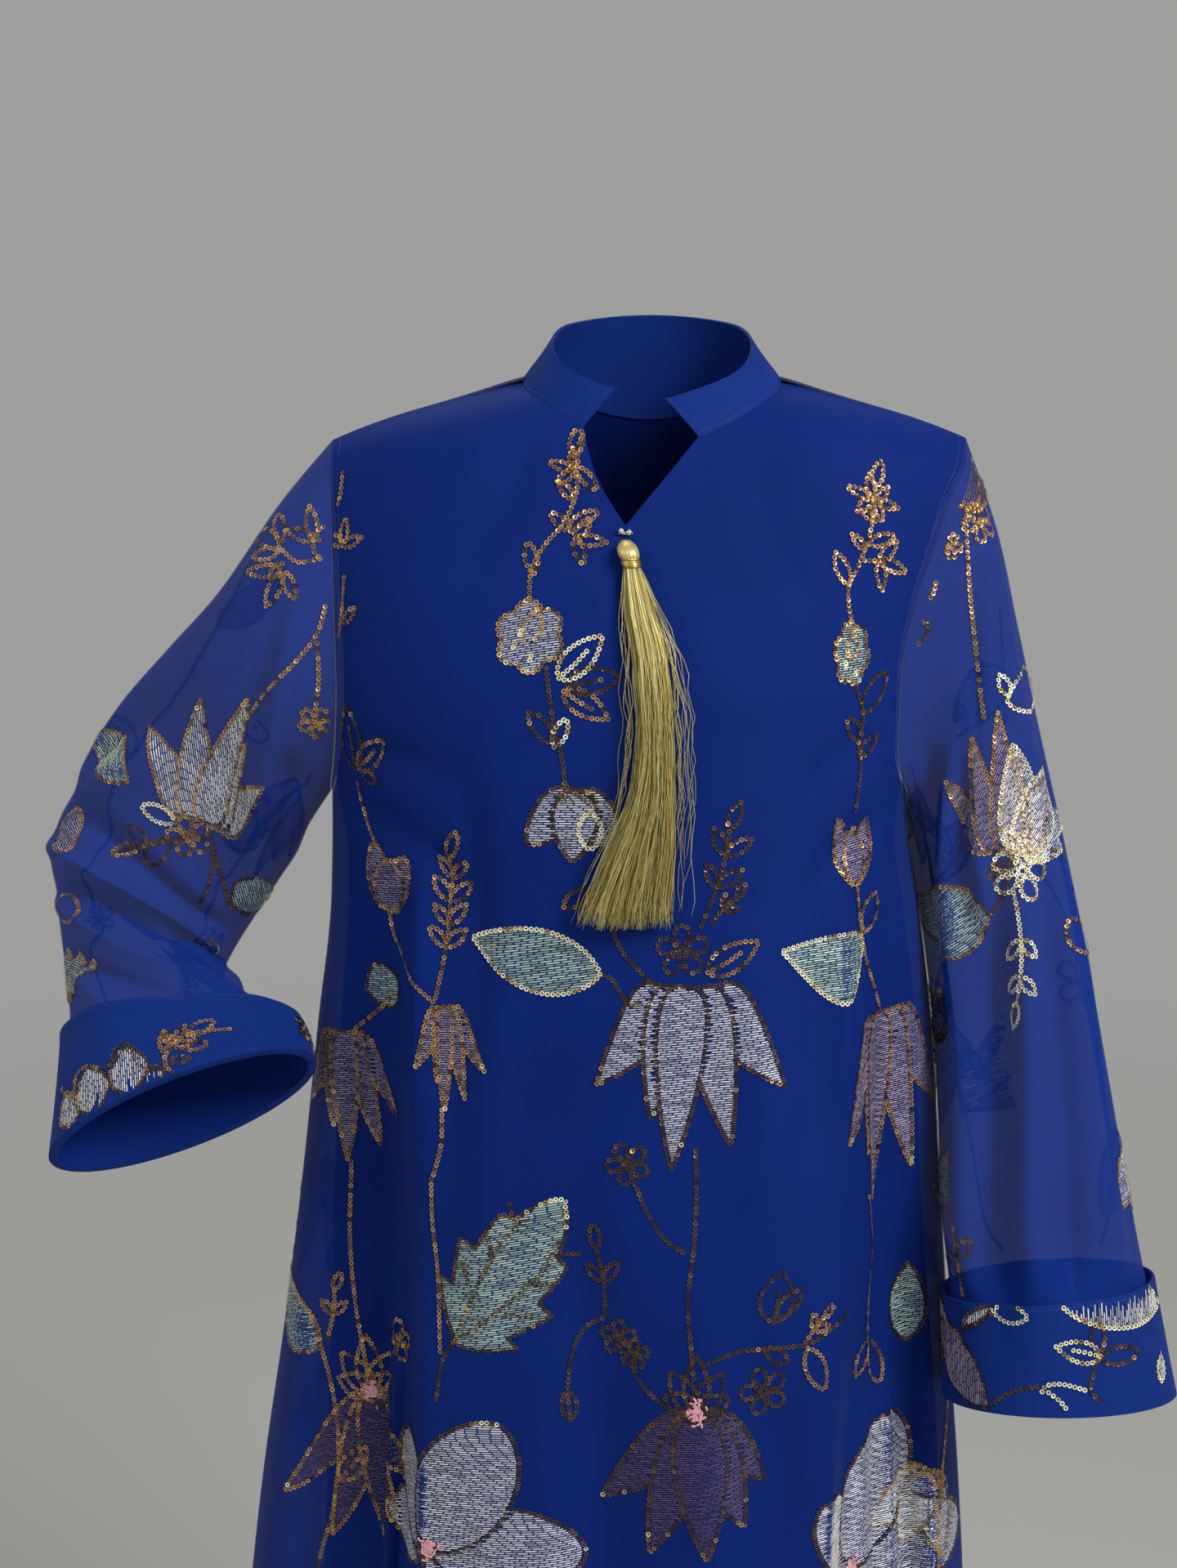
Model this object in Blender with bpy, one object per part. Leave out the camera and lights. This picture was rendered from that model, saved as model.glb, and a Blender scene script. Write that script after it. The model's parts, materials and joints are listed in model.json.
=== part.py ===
"""A full-length embroidered abaya in its worn, hollow shape.

Metres, +Z up. The wearer faces -Y, and the wearer's right is at -X. The origin is the
centre of the neck, level with the shoulder ends of the collar seam, where the wearer's
shoulders carry the garment. Each cut piece is a thin wall with its own object.
"""
import math
from collections import namedtuple

import bmesh
import bpy
import numpy as np
from mathutils import Vector
from mathutils.bvhtree import BVHTree

# Cloth and seams
CLOTH = 0.0012
COLLAR_CLOTH = 0.0018
SEAM_GAP = 0.0003
LINING_GAP = 0.0030
LINING_SEAM_GAP = 0.0013
LINING_FREE_DROP = 0.180
LINING_MARGIN = 0.008

# Overall sizes
HEM_DROP = 1.380
UNDERARM_DROP = 0.272
RING_POWER = 2.2

# Shoulder line
NECK_HALF_WIDTH = 0.083
NECK_FRONT_DEPTH = 0.063
NECK_BACK_DEPTH = 0.066
SHOULDER_SLOPE = 0.27
SHOULDER_ROUNDING = 0.015
SHOULDER_DROOP = 1.5
SHOULDER_DROOP_START = 0.150
NAPE_RISE = 0.014
NAPE_HALF_WIDTH = 0.075
NAPE_REACH = 0.050

# Front slit: its two top corners lie on the neck seam
SLIT_RIGHT_X = -0.044
SLIT_LEFT_X = 0.028
SLIT_FOOT_X = -0.018
SLIT_FOOT_DROP = 0.085
SLIT_RIGHT_BOW = 0.005

# Body rings, wearer's right and left half widths, front and back depths
BodyLevel = namedtuple("BodyLevel", "drop right left front back")
BODY_LEVELS = (
    BodyLevel(0.000, 0.228, 0.222, 0.000, 0.000),
    BodyLevel(0.010, 0.228, 0.221, 0.033, 0.036),
    BodyLevel(0.030, 0.228, 0.219, 0.058, 0.062),
    BodyLevel(0.060, 0.227, 0.214, 0.076, 0.082),
    BodyLevel(0.100, 0.225, 0.204, 0.093, 0.097),
    BodyLevel(0.150, 0.222, 0.190, 0.109, 0.106),
    BodyLevel(0.210, 0.217, 0.176, 0.123, 0.110),
    BodyLevel(0.272, 0.212, 0.170, 0.129, 0.110),
    BodyLevel(0.340, 0.214, 0.170, 0.133, 0.110),
    BodyLevel(0.430, 0.225, 0.174, 0.138, 0.113),
    BodyLevel(0.530, 0.237, 0.180, 0.145, 0.118),
    BodyLevel(0.640, 0.252, 0.189, 0.153, 0.124),
    BodyLevel(0.760, 0.271, 0.208, 0.162, 0.131),
    BodyLevel(0.900, 0.289, 0.225, 0.171, 0.139),
    BodyLevel(1.050, 0.310, 0.243, 0.181, 0.148),
    BodyLevel(1.210, 0.331, 0.264, 0.191, 0.157),
    BodyLevel(1.380, 0.352, 0.285, 0.200, 0.165),
)

# Half widths of the straighter lining, where it leaves the sheer cloth at the sides
LiningLevel = namedtuple("LiningLevel", "drop right left")
LINING_LEVELS = (
    LiningLevel(0.000, 0.228, 0.222),
    LiningLevel(0.272, 0.209, 0.167),
    LiningLevel(0.430, 0.219, 0.171),
    LiningLevel(0.530, 0.225, 0.177),
    LiningLevel(0.760, 0.235, 0.201),
    LiningLevel(1.050, 0.250, 0.222),
    LiningLevel(1.310, 0.264, 0.240),
)

# Armhole seams: x of the wearer's right seam and of the left one, front and back
ArmholeLevel = namedtuple("ArmholeLevel", "drop right_front right_back left_front left_back")
ARMHOLE_LEVELS = (
    ArmholeLevel(0.000, 0.207, 0.207, 0.204, 0.204),
    ArmholeLevel(0.020, 0.207, 0.206, 0.200, 0.202),
    ArmholeLevel(0.045, 0.206, 0.204, 0.190, 0.197),
    ArmholeLevel(0.080, 0.205, 0.201, 0.180, 0.190),
    ArmholeLevel(0.125, 0.204, 0.199, 0.167, 0.179),
    ArmholeLevel(0.180, 0.203, 0.198, 0.158, 0.168),
    ArmholeLevel(0.225, 0.205, 0.202, 0.158, 0.165),
    ArmholeLevel(0.252, 0.2085, 0.207, 0.1615, 0.1665),
    ArmholeLevel(0.265, 0.2110, 0.2105, 0.1675, 0.1690),
    ArmholeLevel(0.272, 0.2120, 0.2120, 0.1700, 0.1700),
)

# The two long folds that bound the smooth front: where each edge lies and how far
# the cloth beside it falls back
FrontFoldLevel = namedtuple("FrontFoldLevel", "drop right_x right_depth left_x left_depth")
FRONT_FOLD_LEVELS = (
    FrontFoldLevel(0.000, 0.145, 0.000, 0.118, 0.000),
    FrontFoldLevel(0.270, 0.150, 0.000, 0.125, 0.000),
    FrontFoldLevel(0.340, 0.156, 0.010, 0.128, 0.004),
    FrontFoldLevel(0.450, 0.160, 0.028, 0.129, 0.017),
    FrontFoldLevel(0.600, 0.155, 0.038, 0.127, 0.029),
    FrontFoldLevel(0.840, 0.163, 0.045, 0.121, 0.036),
    FrontFoldLevel(1.380, 0.182, 0.056, 0.132, 0.052),
)
FRONT_FOLD_HALF_WIDTH = 0.011

# Soft folds: angle across the panel from its middle, half width, reach at the hem
SoftFold = namedtuple("SoftFold", "angle spread reach start")
FRONT_SOFT_FOLDS = (
    SoftFold(-66.0, 9.0, 0.012, 0.45),
    SoftFold(-13.0, 9.0, 0.014, 0.70),
    SoftFold(9.0, 8.0, -0.010, 0.80),
    SoftFold(66.0, 9.0, 0.012, 0.80),
)
BACK_SOFT_FOLDS = (
    SoftFold(-58.0, 11.0, 0.024, 0.40),
    SoftFold(-34.0, 10.0, -0.020, 0.36),
    SoftFold(-12.0, 11.0, 0.022, 0.30),
    SoftFold(12.0, 10.0, -0.018, 0.42),
    SoftFold(34.0, 11.0, 0.026, 0.34),
    SoftFold(57.0, 10.0, -0.016, 0.48),
)
SOFT_FOLD_RISE = 0.75

# Spans of the body panels along their top edges
SHOULDER_SPANS = 3
FRONT_NECK_SPANS = 4
SLIT_SPANS = 3
BACK_NECK_SPANS = 10

# Where the rows of the body panels lie
ROW_DROPS = (0.0, 0.012, 0.030, 0.055, 0.090, 0.130, 0.180, 0.225, 0.252, 0.265,
             0.272, 0.340, 0.420, 0.510, 0.620, 0.750, 0.900, 1.050, 1.210, 1.380)
LINING_ROW_DROPS = (0.030, 0.055, 0.090, 0.130, 0.180, 0.225, 0.265, 0.340, 0.420,
                    0.510, 0.620, 0.750, 0.900, 1.050, 1.310)
COLUMN_BLEND_DROP = 0.36

# Sleeves: the outer and the inner point of each ring, its half depth, and the rise
# of its front side, in degrees
SleeveRing = namedtuple("SleeveRing", "name ox oy oz ix iy iz half_depth front_rise")
RIGHT_SLEEVE_RINGS = (
    SleeveRing("crown", -0.243, 0.000, -0.080, -0.229, 0.008, -0.296, 0.056, 2.0),
    SleeveRing("upper", -0.285, 0.010, -0.138, -0.239, 0.018, -0.318, 0.055, 4.0),
    SleeveRing("biceps", -0.322, 0.022, -0.178, -0.252, 0.028, -0.338, 0.052, 8.0),
    SleeveRing("above_elbow", -0.359, 0.034, -0.219, -0.269, 0.032, -0.364, 0.050, 14.0),
    SleeveRing("elbow", -0.389, 0.043, -0.264, -0.285, 0.022, -0.389, 0.049, 22.0),
    SleeveRing("elbow_tip", -0.411, 0.042, -0.322, -0.291, 0.008, -0.404, 0.049, 30.0),
    SleeveRing("forearm", -0.404, 0.020, -0.362, -0.279, -0.010, -0.411, 0.049, 36.0),
    SleeveRing("lower", -0.394, -0.012, -0.396, -0.259, -0.030, -0.416, 0.049, 40.0),
    SleeveRing("cuff_top", -0.385, -0.048, -0.430, -0.237, -0.046, -0.420, 0.050, 42.0),
    SleeveRing("hem", -0.384, -0.110, -0.494, -0.223, -0.078, -0.436, 0.052, 43.0),
)
LEFT_SLEEVE_RINGS = (
    SleeveRing("crown", 0.226, 0.000, -0.096, 0.1745, 0.000, -0.291, 0.060, 0.0),
    SleeveRing("upper", 0.242, -0.001, -0.160, 0.1765, 0.000, -0.313, 0.060, 0.0),
    SleeveRing("biceps", 0.258, -0.003, -0.225, 0.1785, -0.002, -0.341, 0.060, 0.0),
    SleeveRing("above_elbow", 0.276, -0.009, -0.298, 0.1810, -0.009, -0.380, 0.060, 1.0),
    SleeveRing("elbow", 0.292, -0.019, -0.372, 0.1845, -0.020, -0.430, 0.060, 3.0),
    SleeveRing("forearm", 0.306, -0.034, -0.448, 0.1890, -0.034, -0.490, 0.059, 6.0),
    SleeveRing("lower", 0.319, -0.052, -0.522, 0.1935, -0.048, -0.550, 0.059, 8.0),
    SleeveRing("cuff_top", 0.331, -0.070, -0.588, 0.1975, -0.062, -0.602, 0.059, 10.0),
    SleeveRing("hem", 0.347, -0.090, -0.663, 0.2000, -0.078, -0.670, 0.059, 11.0),
)
ARMHOLE_GAP = 0.0005
UNDERARM_STEP = 0.0012
# Share of the armhole's depth over which the sleeve head's thickness turns upward
UNDERARM_TURN_START = 0.72
UNDERARM_TURN_END = 0.90

# Turned-back cuff: distance out from the sleeve, and share of the cuff's height
CuffCorner = namedtuple("CuffCorner", "out share")
CUFF_PROFILE = (
    CuffCorner(0.0040, 0.000),
    CuffCorner(0.0044, 0.350),
    CuffCorner(0.0062, 1.000),
    CuffCorner(0.0042, 1.000),
    CuffCorner(0.0026, 0.350),
    CuffCorner(0.0023, 0.020),
    CuffCorner(-0.0016, 0.020),
    CuffCorner(-0.0016, 0.000),
)
SLEEVE_END_SHARE = 0.030
SLEEVE_ROW_STEP = 0.75

# Stand collar: plan half widths of its top edge and that edge's height by plan angle,
# measured from the front over the wearer's right
COLLAR_TOP_HALF_WIDTH = 0.065
COLLAR_TOP_FRONT = 0.050
COLLAR_TOP_BACK = 0.056
COLLAR_TOP_RIGHT_X = -0.024
COLLAR_TOP_LEFT_X = 0.007
CollarRise = namedtuple("CollarRise", "angle height")
COLLAR_RISES = (
    CollarRise(20.0, -0.004),
    CollarRise(60.0, 0.010),
    CollarRise(90.0, 0.024),
    CollarRise(125.0, 0.035),
    CollarRise(180.0, 0.040),
    CollarRise(235.0, 0.035),
    CollarRise(270.0, 0.024),
    CollarRise(300.0, 0.009),
    CollarRise(352.0, -0.009),
)
COLLAR_ROWS = 2
COLLAR_BOW = 0.0012
COLLAR_FRONT_LIFT = 0.0004
COLLAR_BACK_LIFT = 0.0014

# Tassel: middle line, half width and half depth; it lies against the front
TasselRing = namedtuple("TasselRing", "x z half_width half_depth")
TASSEL_HEAD_RINGS = (
    TasselRing(-0.0178, -0.0935, 0.0022, 0.0020),
    TasselRing(-0.0174, -0.0960, 0.0052, 0.0048),
    TasselRing(-0.0168, -0.0990, 0.0064, 0.0058),
    TasselRing(-0.0160, -0.1025, 0.0062, 0.0056),
    TasselRing(-0.0154, -0.1045, 0.0052, 0.0048),
)
TASSEL_BAND_RINGS = (
    TasselRing(-0.0153, -0.1050, 0.0056, 0.0052),
    TasselRing(-0.0148, -0.1070, 0.0060, 0.0056),
    TasselRing(-0.0143, -0.1090, 0.0056, 0.0052),
)
TASSEL_SKIRT_RINGS = (
    TasselRing(-0.0142, -0.1095, 0.0052, 0.0050),
    TasselRing(-0.0100, -0.1340, 0.0082, 0.0066),
    TasselRing(-0.0040, -0.1600, 0.0108, 0.0074),
    TasselRing(-0.0016, -0.1850, 0.0112, 0.0076),
    TasselRing(-0.0006, -0.2080, 0.0114, 0.0076),
    TasselRing(-0.0012, -0.2340, 0.0130, 0.0078),
    TasselRing(-0.0045, -0.2590, 0.0168, 0.0082),
    TasselRing(-0.0105, -0.2850, 0.0225, 0.0086),
    TasselRing(-0.0165, -0.3110, 0.0280, 0.0090),
    TasselRing(-0.0186, -0.3240, 0.0300, 0.0090),
)
TASSEL_SIDES = 14
TASSEL_REST_GAP = 0.0006
KNOT_RINGS = 5
KNOT_HALF_WIDTH = 0.0050
KNOT_HALF_HEIGHT = 0.0040
KNOT_HALF_DEPTH = 0.0022
KNOT_DROP = 0.0893

FRONT = -1.0
BACK = 1.0

Finish = namedtuple("Finish", "color roughness metallic")
CHIFFON = Finish((0.015, 0.050, 0.420, 1.0), 0.75, 0.0)
LINING = Finish((0.010, 0.030, 0.300, 1.0), 0.70, 0.0)
GOLD_THREAD = Finish((0.620, 0.470, 0.150, 1.0), 0.38, 0.6)
SILVER_THREAD = Finish((0.620, 0.600, 0.560, 1.0), 0.35, 0.8)


def smoothstep(value):
    """Ease from 0 to 1."""
    share = np.clip(value, 0.0, 1.0)
    return share * share * (3.0 - 2.0 * share)


def table_curve(rows, column, at):
    """Read one column of a table as a smooth curve that never overshoots its rows."""
    keys = np.array([row[0] for row in rows])
    values = np.array([getattr(row, column) for row in rows])
    steps = np.diff(keys)
    slopes = np.diff(values) / steps
    tangents = np.empty(len(keys))
    tangents[0], tangents[-1] = slopes[0], slopes[-1]
    same_way = slopes[:-1] * slopes[1:] > 0.0
    weight_a = 2.0 * steps[1:] + steps[:-1]
    weight_b = steps[1:] + 2.0 * steps[:-1]
    safe_a = np.where(same_way, slopes[:-1], 1.0)
    safe_b = np.where(same_way, slopes[1:], 1.0)
    harmonic = (weight_a + weight_b) / (weight_a / safe_a + weight_b / safe_b)
    tangents[1:-1] = np.where(same_way, harmonic, 0.0)
    at = np.clip(np.asarray(at, dtype=float), keys[0], keys[-1])
    span = np.clip(np.searchsorted(keys, at, side="right") - 1, 0, len(steps) - 1)
    t = (at - keys[span]) / steps[span]
    rest = 1.0 - t
    leaving = tangents[span] * steps[span] * t * rest ** 2
    arriving = tangents[span + 1] * steps[span] * t ** 2 * rest
    return (values[span] * (1.0 + 2.0 * t) * rest ** 2 + leaving
            + values[span + 1] * (1.0 + 2.0 * rest) * t ** 2 - arriving)


def half_width(drop, x_sign, rows=BODY_LEVELS):
    """Half width of the body ring, or of another table's, on one side of the middle."""
    return np.where(x_sign < 0.0, table_curve(rows, "right", drop), table_curve(rows, "left", drop))


def depth(drop, face):
    """How far the front or the back lies from the shoulder line."""
    return table_curve(BODY_LEVELS, "front" if face == FRONT else "back", drop)


def shoulder_fall(x, drop):
    """How far the sloping shoulder lowers a point; it fades out at the underarm."""
    beyond = np.abs(x) - NECK_HALF_WIDTH
    rounded = 0.5 * (beyond + np.sqrt(beyond * beyond + SHOULDER_ROUNDING ** 2))
    droop = SHOULDER_DROOP * np.maximum(np.abs(x) - SHOULDER_DROOP_START, 0.0) ** 2
    return (SHOULDER_SLOPE * rounded + droop) * (1.0 - smoothstep(drop / UNDERARM_DROP))


def long_fold(x, drop, width):
    """How far the cloth beside the smooth front falls back behind the fold edges."""
    right = x < 0.0
    edge = np.where(right, table_curve(FRONT_FOLD_LEVELS, "right_x", drop),
                    table_curve(FRONT_FOLD_LEVELS, "left_x", drop))
    fall = np.where(right, table_curve(FRONT_FOLD_LEVELS, "right_depth", drop),
                    table_curve(FRONT_FOLD_LEVELS, "left_depth", drop))
    step = smoothstep((np.abs(x) - edge + FRONT_FOLD_HALF_WIDTH) / (2.0 * FRONT_FOLD_HALF_WIDTH))
    halfway = 0.5 * (edge + width)
    fade = 1.0 - smoothstep((np.abs(x) - halfway) / (width - halfway))
    return fall * step * fade


def soft_folds(folds, angle, drop):
    """Sum of the soft ridges and troughs at an angle across the panel."""
    total = np.zeros_like(angle)
    for fold in folds:
        growth = smoothstep((drop - fold.start) / SOFT_FOLD_RISE)
        total = total + fold.reach * growth * np.exp(-((angle - fold.angle) / fold.spread) ** 2)
    return total


def body_point(angle, drop, face):
    """Point of the front or back cloth.

    angle runs from -90 degrees at the wearer's right side seam to 90 at the left one.
    """
    angle, drop = np.broadcast_arrays(np.asarray(angle, float), np.asarray(drop, float))
    across = np.sin(np.radians(angle))
    width = half_width(drop, across)
    x = width * across
    reach = depth(drop, face) * (1.0 - np.abs(across) ** RING_POWER) ** (1.0 / RING_POWER)
    if face == FRONT:
        reach = reach - long_fold(x, drop, width)
        ripple = soft_folds(FRONT_SOFT_FOLDS, angle, drop)
    else:
        ripple = soft_folds(BACK_SOFT_FOLDS, angle, drop)
    x = x + ripple * across
    y = face * (reach + ripple * np.cos(np.radians(angle)))
    z = -drop - shoulder_fall(x, drop)
    if face == BACK:
        z = z + NAPE_RISE * np.exp(-(x / NAPE_HALF_WIDTH) ** 2 - drop / NAPE_REACH)
    return np.stack([x, y, z], axis=-1)


def angle_at(x, drop):
    """Angle across the panel of a point at this x."""
    share = np.clip(x / half_width(drop, x), -1.0, 1.0)
    return np.degrees(np.arcsin(share))


def seam_angle(drop, right_side, face):
    """Angle of the panel's side edge: the armhole seam, then the side seam."""
    column = ("right" if right_side else "left") + ("_front" if face == FRONT else "_back")
    x = table_curve(ARMHOLE_LEVELS, column, drop) * (-1.0 if right_side else 1.0)
    at_seam = angle_at(x, drop)
    return np.where(drop >= UNDERARM_DROP, -90.0 if right_side else 90.0, at_seam)


def neck_drop(x, face):
    """Drop at which the panel meets the oval of the neck seam."""
    front_back = NECK_FRONT_DEPTH if face == FRONT else NECK_BACK_DEPTH
    plan = front_back * math.sqrt(max(0.0, 1.0 - (x / NECK_HALF_WIDTH) ** 2))
    drops = np.linspace(0.0, 0.10, 401)
    share = np.abs(x) / half_width(drops, x)
    reach = depth(drops, face) * (1.0 - share ** RING_POWER) ** (1.0 / RING_POWER)
    return float(np.interp(plan, reach, drops))


def spread(start, end, count):
    """Evenly spaced values without the first one."""
    return [start + (end - start) * step / count for step in range(1, count + 1)]


def neck_spread(start, end, count):
    """x values along the oval of the neck, evenly turned, without the first one."""
    turns = spread(math.asin(start / NECK_HALF_WIDTH), math.asin(end / NECK_HALF_WIDTH), count)
    return [NECK_HALF_WIDTH * math.sin(turn) for turn in turns]


def front_top_line():
    """x and drop along the top edge of the front: shoulder, neck, slit, neck, shoulder."""
    right_tip, left_tip = -ARMHOLE_LEVELS[0].right_front, ARMHOLE_LEVELS[0].left_front
    line = [(x, 0.0) for x in [right_tip] + spread(right_tip, -NECK_HALF_WIDTH, SHOULDER_SPANS)]
    right_neck = neck_spread(-NECK_HALF_WIDTH, SLIT_RIGHT_X, FRONT_NECK_SPANS)
    line += [(x, neck_drop(x, FRONT)) for x in right_neck]
    right_drop, left_drop = neck_drop(SLIT_RIGHT_X, FRONT), neck_drop(SLIT_LEFT_X, FRONT)
    for share in spread(0.0, 1.0, SLIT_SPANS):
        bow = -SLIT_RIGHT_BOW * math.sin(math.pi * share)
        x = SLIT_RIGHT_X + (SLIT_FOOT_X - SLIT_RIGHT_X) * share + bow
        line.append((x, right_drop + (SLIT_FOOT_DROP - right_drop) * share))
    for share in spread(0.0, 1.0, SLIT_SPANS):
        x = SLIT_FOOT_X + (SLIT_LEFT_X - SLIT_FOOT_X) * share
        line.append((x, SLIT_FOOT_DROP + (left_drop - SLIT_FOOT_DROP) * share))
    left_neck = neck_spread(SLIT_LEFT_X, NECK_HALF_WIDTH, FRONT_NECK_SPANS)
    line += [(x, neck_drop(x, FRONT)) for x in left_neck]
    line += [(x, 0.0) for x in spread(NECK_HALF_WIDTH, left_tip, SHOULDER_SPANS)]
    return line


def back_top_line():
    """x and drop along the top edge of the back: shoulder, neck, shoulder."""
    right_tip, left_tip = -ARMHOLE_LEVELS[0].right_back, ARMHOLE_LEVELS[0].left_back
    line = [(x, 0.0) for x in [right_tip] + spread(right_tip, -NECK_HALF_WIDTH, SHOULDER_SPANS)]
    neck = neck_spread(-NECK_HALF_WIDTH, NECK_HALF_WIDTH, BACK_NECK_SPANS)
    line += [(x, neck_drop(x, BACK)) for x in neck]
    line += [(x, 0.0) for x in spread(NECK_HALF_WIDTH, left_tip, SHOULDER_SPANS)]
    return line


def front_low_angles(drop):
    """Angles of the columns below the chest, close together at the long folds."""
    right_edge = table_curve(FRONT_FOLD_LEVELS, "right_x", drop)
    left_edge = table_curve(FRONT_FOLD_LEVELS, "left_x", drop)
    keys = [-90.0,
            angle_at(-(right_edge + FRONT_FOLD_HALF_WIDTH), drop),
            angle_at(-(right_edge - FRONT_FOLD_HALF_WIDTH), drop),
            0.0,
            angle_at(left_edge - FRONT_FOLD_HALF_WIDTH, drop),
            angle_at(left_edge + FRONT_FOLD_HALF_WIDTH, drop),
            90.0]
    angles = [keys[0]]
    for start, end, count in zip(keys, keys[1:], (4, 2, 4, 4, 2, 4)):
        angles += spread(float(start), float(end), count)
    return np.array(angles)


def back_low_angles(drop):
    """Angles of the back's columns below the shoulders."""
    return np.linspace(-90.0, 90.0, 17) + 0.0 * drop


def panel_grid(top_line, low_angles, face, row_drops, margin=0.0):
    """Grid of points of a body panel, a row for each drop and a column for each top point."""
    columns = len(top_line)
    grid = np.empty((len(row_drops), columns, 3))
    for row, level in enumerate(row_drops):
        for column, (top_x, top_drop) in enumerate(top_line):
            edge_column = column in (0, columns - 1)
            start = top_drop + margin
            drop = level if edge_column else level + start * (1.0 - level / HEM_DROP) ** 3
            right, left = seam_angle(drop, True, face), seam_angle(drop, False, face)
            top_share = (angle_at(top_x, start) - seam_angle(start, True, face)) / (
                seam_angle(start, False, face) - seam_angle(start, True, face))
            low = low_angles(drop)
            low_share = (low[column] - low[0]) / (low[-1] - low[0])
            blend = smoothstep((drop - start) / (COLUMN_BLEND_DROP - start))
            share = top_share + (low_share - top_share) * blend
            if edge_column:
                share = column / (columns - 1)
            grid[row, column] = body_point(right + (left - right) * share, drop, face)
    return grid


def lining_grid(grid, row_drops):
    """The sheer panel's points drawn in sideways to the width of the lining."""
    drawn = grid.copy()
    for row, drop in enumerate(row_drops):
        x = grid[row, :, 0]
        keep = np.where(x < 0.0, table_curve(FRONT_FOLD_LEVELS, "right_x", drop),
                        table_curve(FRONT_FOLD_LEVELS, "left_x", drop)) + FRONT_FOLD_HALF_WIDTH
        outer, lining = half_width(drop, x), half_width(drop, x, LINING_LEVELS)
        ratio = (lining - keep) / (outer - keep)
        beyond = np.maximum(np.abs(x) - keep, 0.0)
        drawn[row, :, 0] = np.sign(x) * (np.minimum(np.abs(x), keep) + beyond * ratio)
    return drawn


def grid_normals(grid, closed=False):
    """Unit normals of a grid: the cross product of its rows' and its columns' directions."""
    if closed:
        around = np.roll(grid, -1, axis=1) - np.roll(grid, 1, axis=1)
    else:
        around = np.gradient(grid, axis=1)
    down = np.gradient(grid, axis=0)
    normals = np.cross(around, down)
    return normals / np.linalg.norm(normals, axis=2, keepdims=True)


def close_wall(name, outer, inner, finish, closed=False):
    """Make a closed solid from an outer and an inner grid of the same size.

    Facets that face each other are cut along the same diagonal, so thin walls never cross.
    """
    rows, columns = outer.shape[:2]
    count = rows * columns
    points = np.concatenate([outer.reshape(-1, 3), inner.reshape(-1, 3)])

    def corner(row, column, layer):
        return layer * count + row * columns + column % columns

    faces = []
    last_column = columns if closed else columns - 1
    for row in range(rows - 1):
        for column in range(last_column):
            a, b = (row, column), (row, column + 1)
            c, d = (row + 1, column + 1), (row + 1, column)
            down, up = (math.dist(points[corner(*p, 0)], points[corner(*q, 0)])
                        for p, q in ((a, c), (b, d)))
            halves = ((a, b, c), (a, c, d)) if down <= up else ((a, b, d), (b, c, d))
            for half in halves:
                faces.append([corner(*p, 0) for p in half])
                faces.append([corner(*p, 1) for p in half[::-1]])
    for row in (0, rows - 1):
        for column in range(last_column):
            faces.append([corner(row, column, 1), corner(row, column + 1, 1),
                          corner(row, column + 1, 0), corner(row, column, 0)])
    if not closed:
        for column in (0, columns - 1):
            for row in range(rows - 1):
                faces.append([corner(row, column, 1), corner(row + 1, column, 1),
                              corner(row + 1, column, 0), corner(row, column, 0)])
    add_object(name, points, faces, finish)


def add_object(name, points, faces, finish):
    """Add a mesh object whose faces all point out."""
    mesh = bpy.data.meshes.new(name)
    mesh.from_pydata([tuple(p) for p in points], [], [list(face) for face in faces])
    shell = bmesh.new()
    shell.from_mesh(mesh)
    bmesh.ops.recalc_face_normals(shell, faces=shell.faces)
    if shell.calc_volume(signed=True) < 0.0:
        bmesh.ops.reverse_faces(shell, faces=shell.faces)
    shell.to_mesh(mesh)
    shell.free()
    mesh.materials.append(make_material(name, finish))
    mesh.shade_smooth()
    mesh.set_sharp_from_angle(angle=math.radians(50.0))
    thing = bpy.data.objects.new(name, mesh)
    bpy.context.scene.collection.objects.link(thing)


def make_material(name, finish):
    """A Principled material with the piece's colour, roughness and metallic value."""
    material = bpy.data.materials.new(name + "_finish")
    material.use_nodes = True
    shader = material.node_tree.nodes["Principled BSDF"]
    shader.inputs["Base Color"].default_value = finish.color
    shader.inputs["Roughness"].default_value = finish.roughness
    shader.inputs["Metallic"].default_value = finish.metallic
    material.diffuse_color = finish.color
    return material


def lining_insets(row_drops):
    """How far the lining's outer face lies inside the sheer cloth's, for each row.

    The lining is caught in the neck and shoulder seams and hangs free below them.
    """
    free = smoothstep((np.array(row_drops) - row_drops[0]) / (LINING_FREE_DROP - row_drops[0]))
    insets = CLOTH + LINING_SEAM_GAP + (LINING_GAP - LINING_SEAM_GAP) * free
    return insets[:, None, None]


def panel_outer(grid, face, inset=0.0):
    """Outer face of a body panel, drawn back at its seams, and its normals, which point out."""
    normals = grid_normals(grid) * face
    on_seam = np.abs(grid[..., 1]) < SEAM_GAP
    normals[on_seam, 1] = 0.0
    normals = normals / np.linalg.norm(normals, axis=2, keepdims=True)
    seam_shift = np.zeros_like(grid)
    seam_shift[..., 1] = face * 0.5 * SEAM_GAP
    return grid + seam_shift - normals * inset, normals


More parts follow.
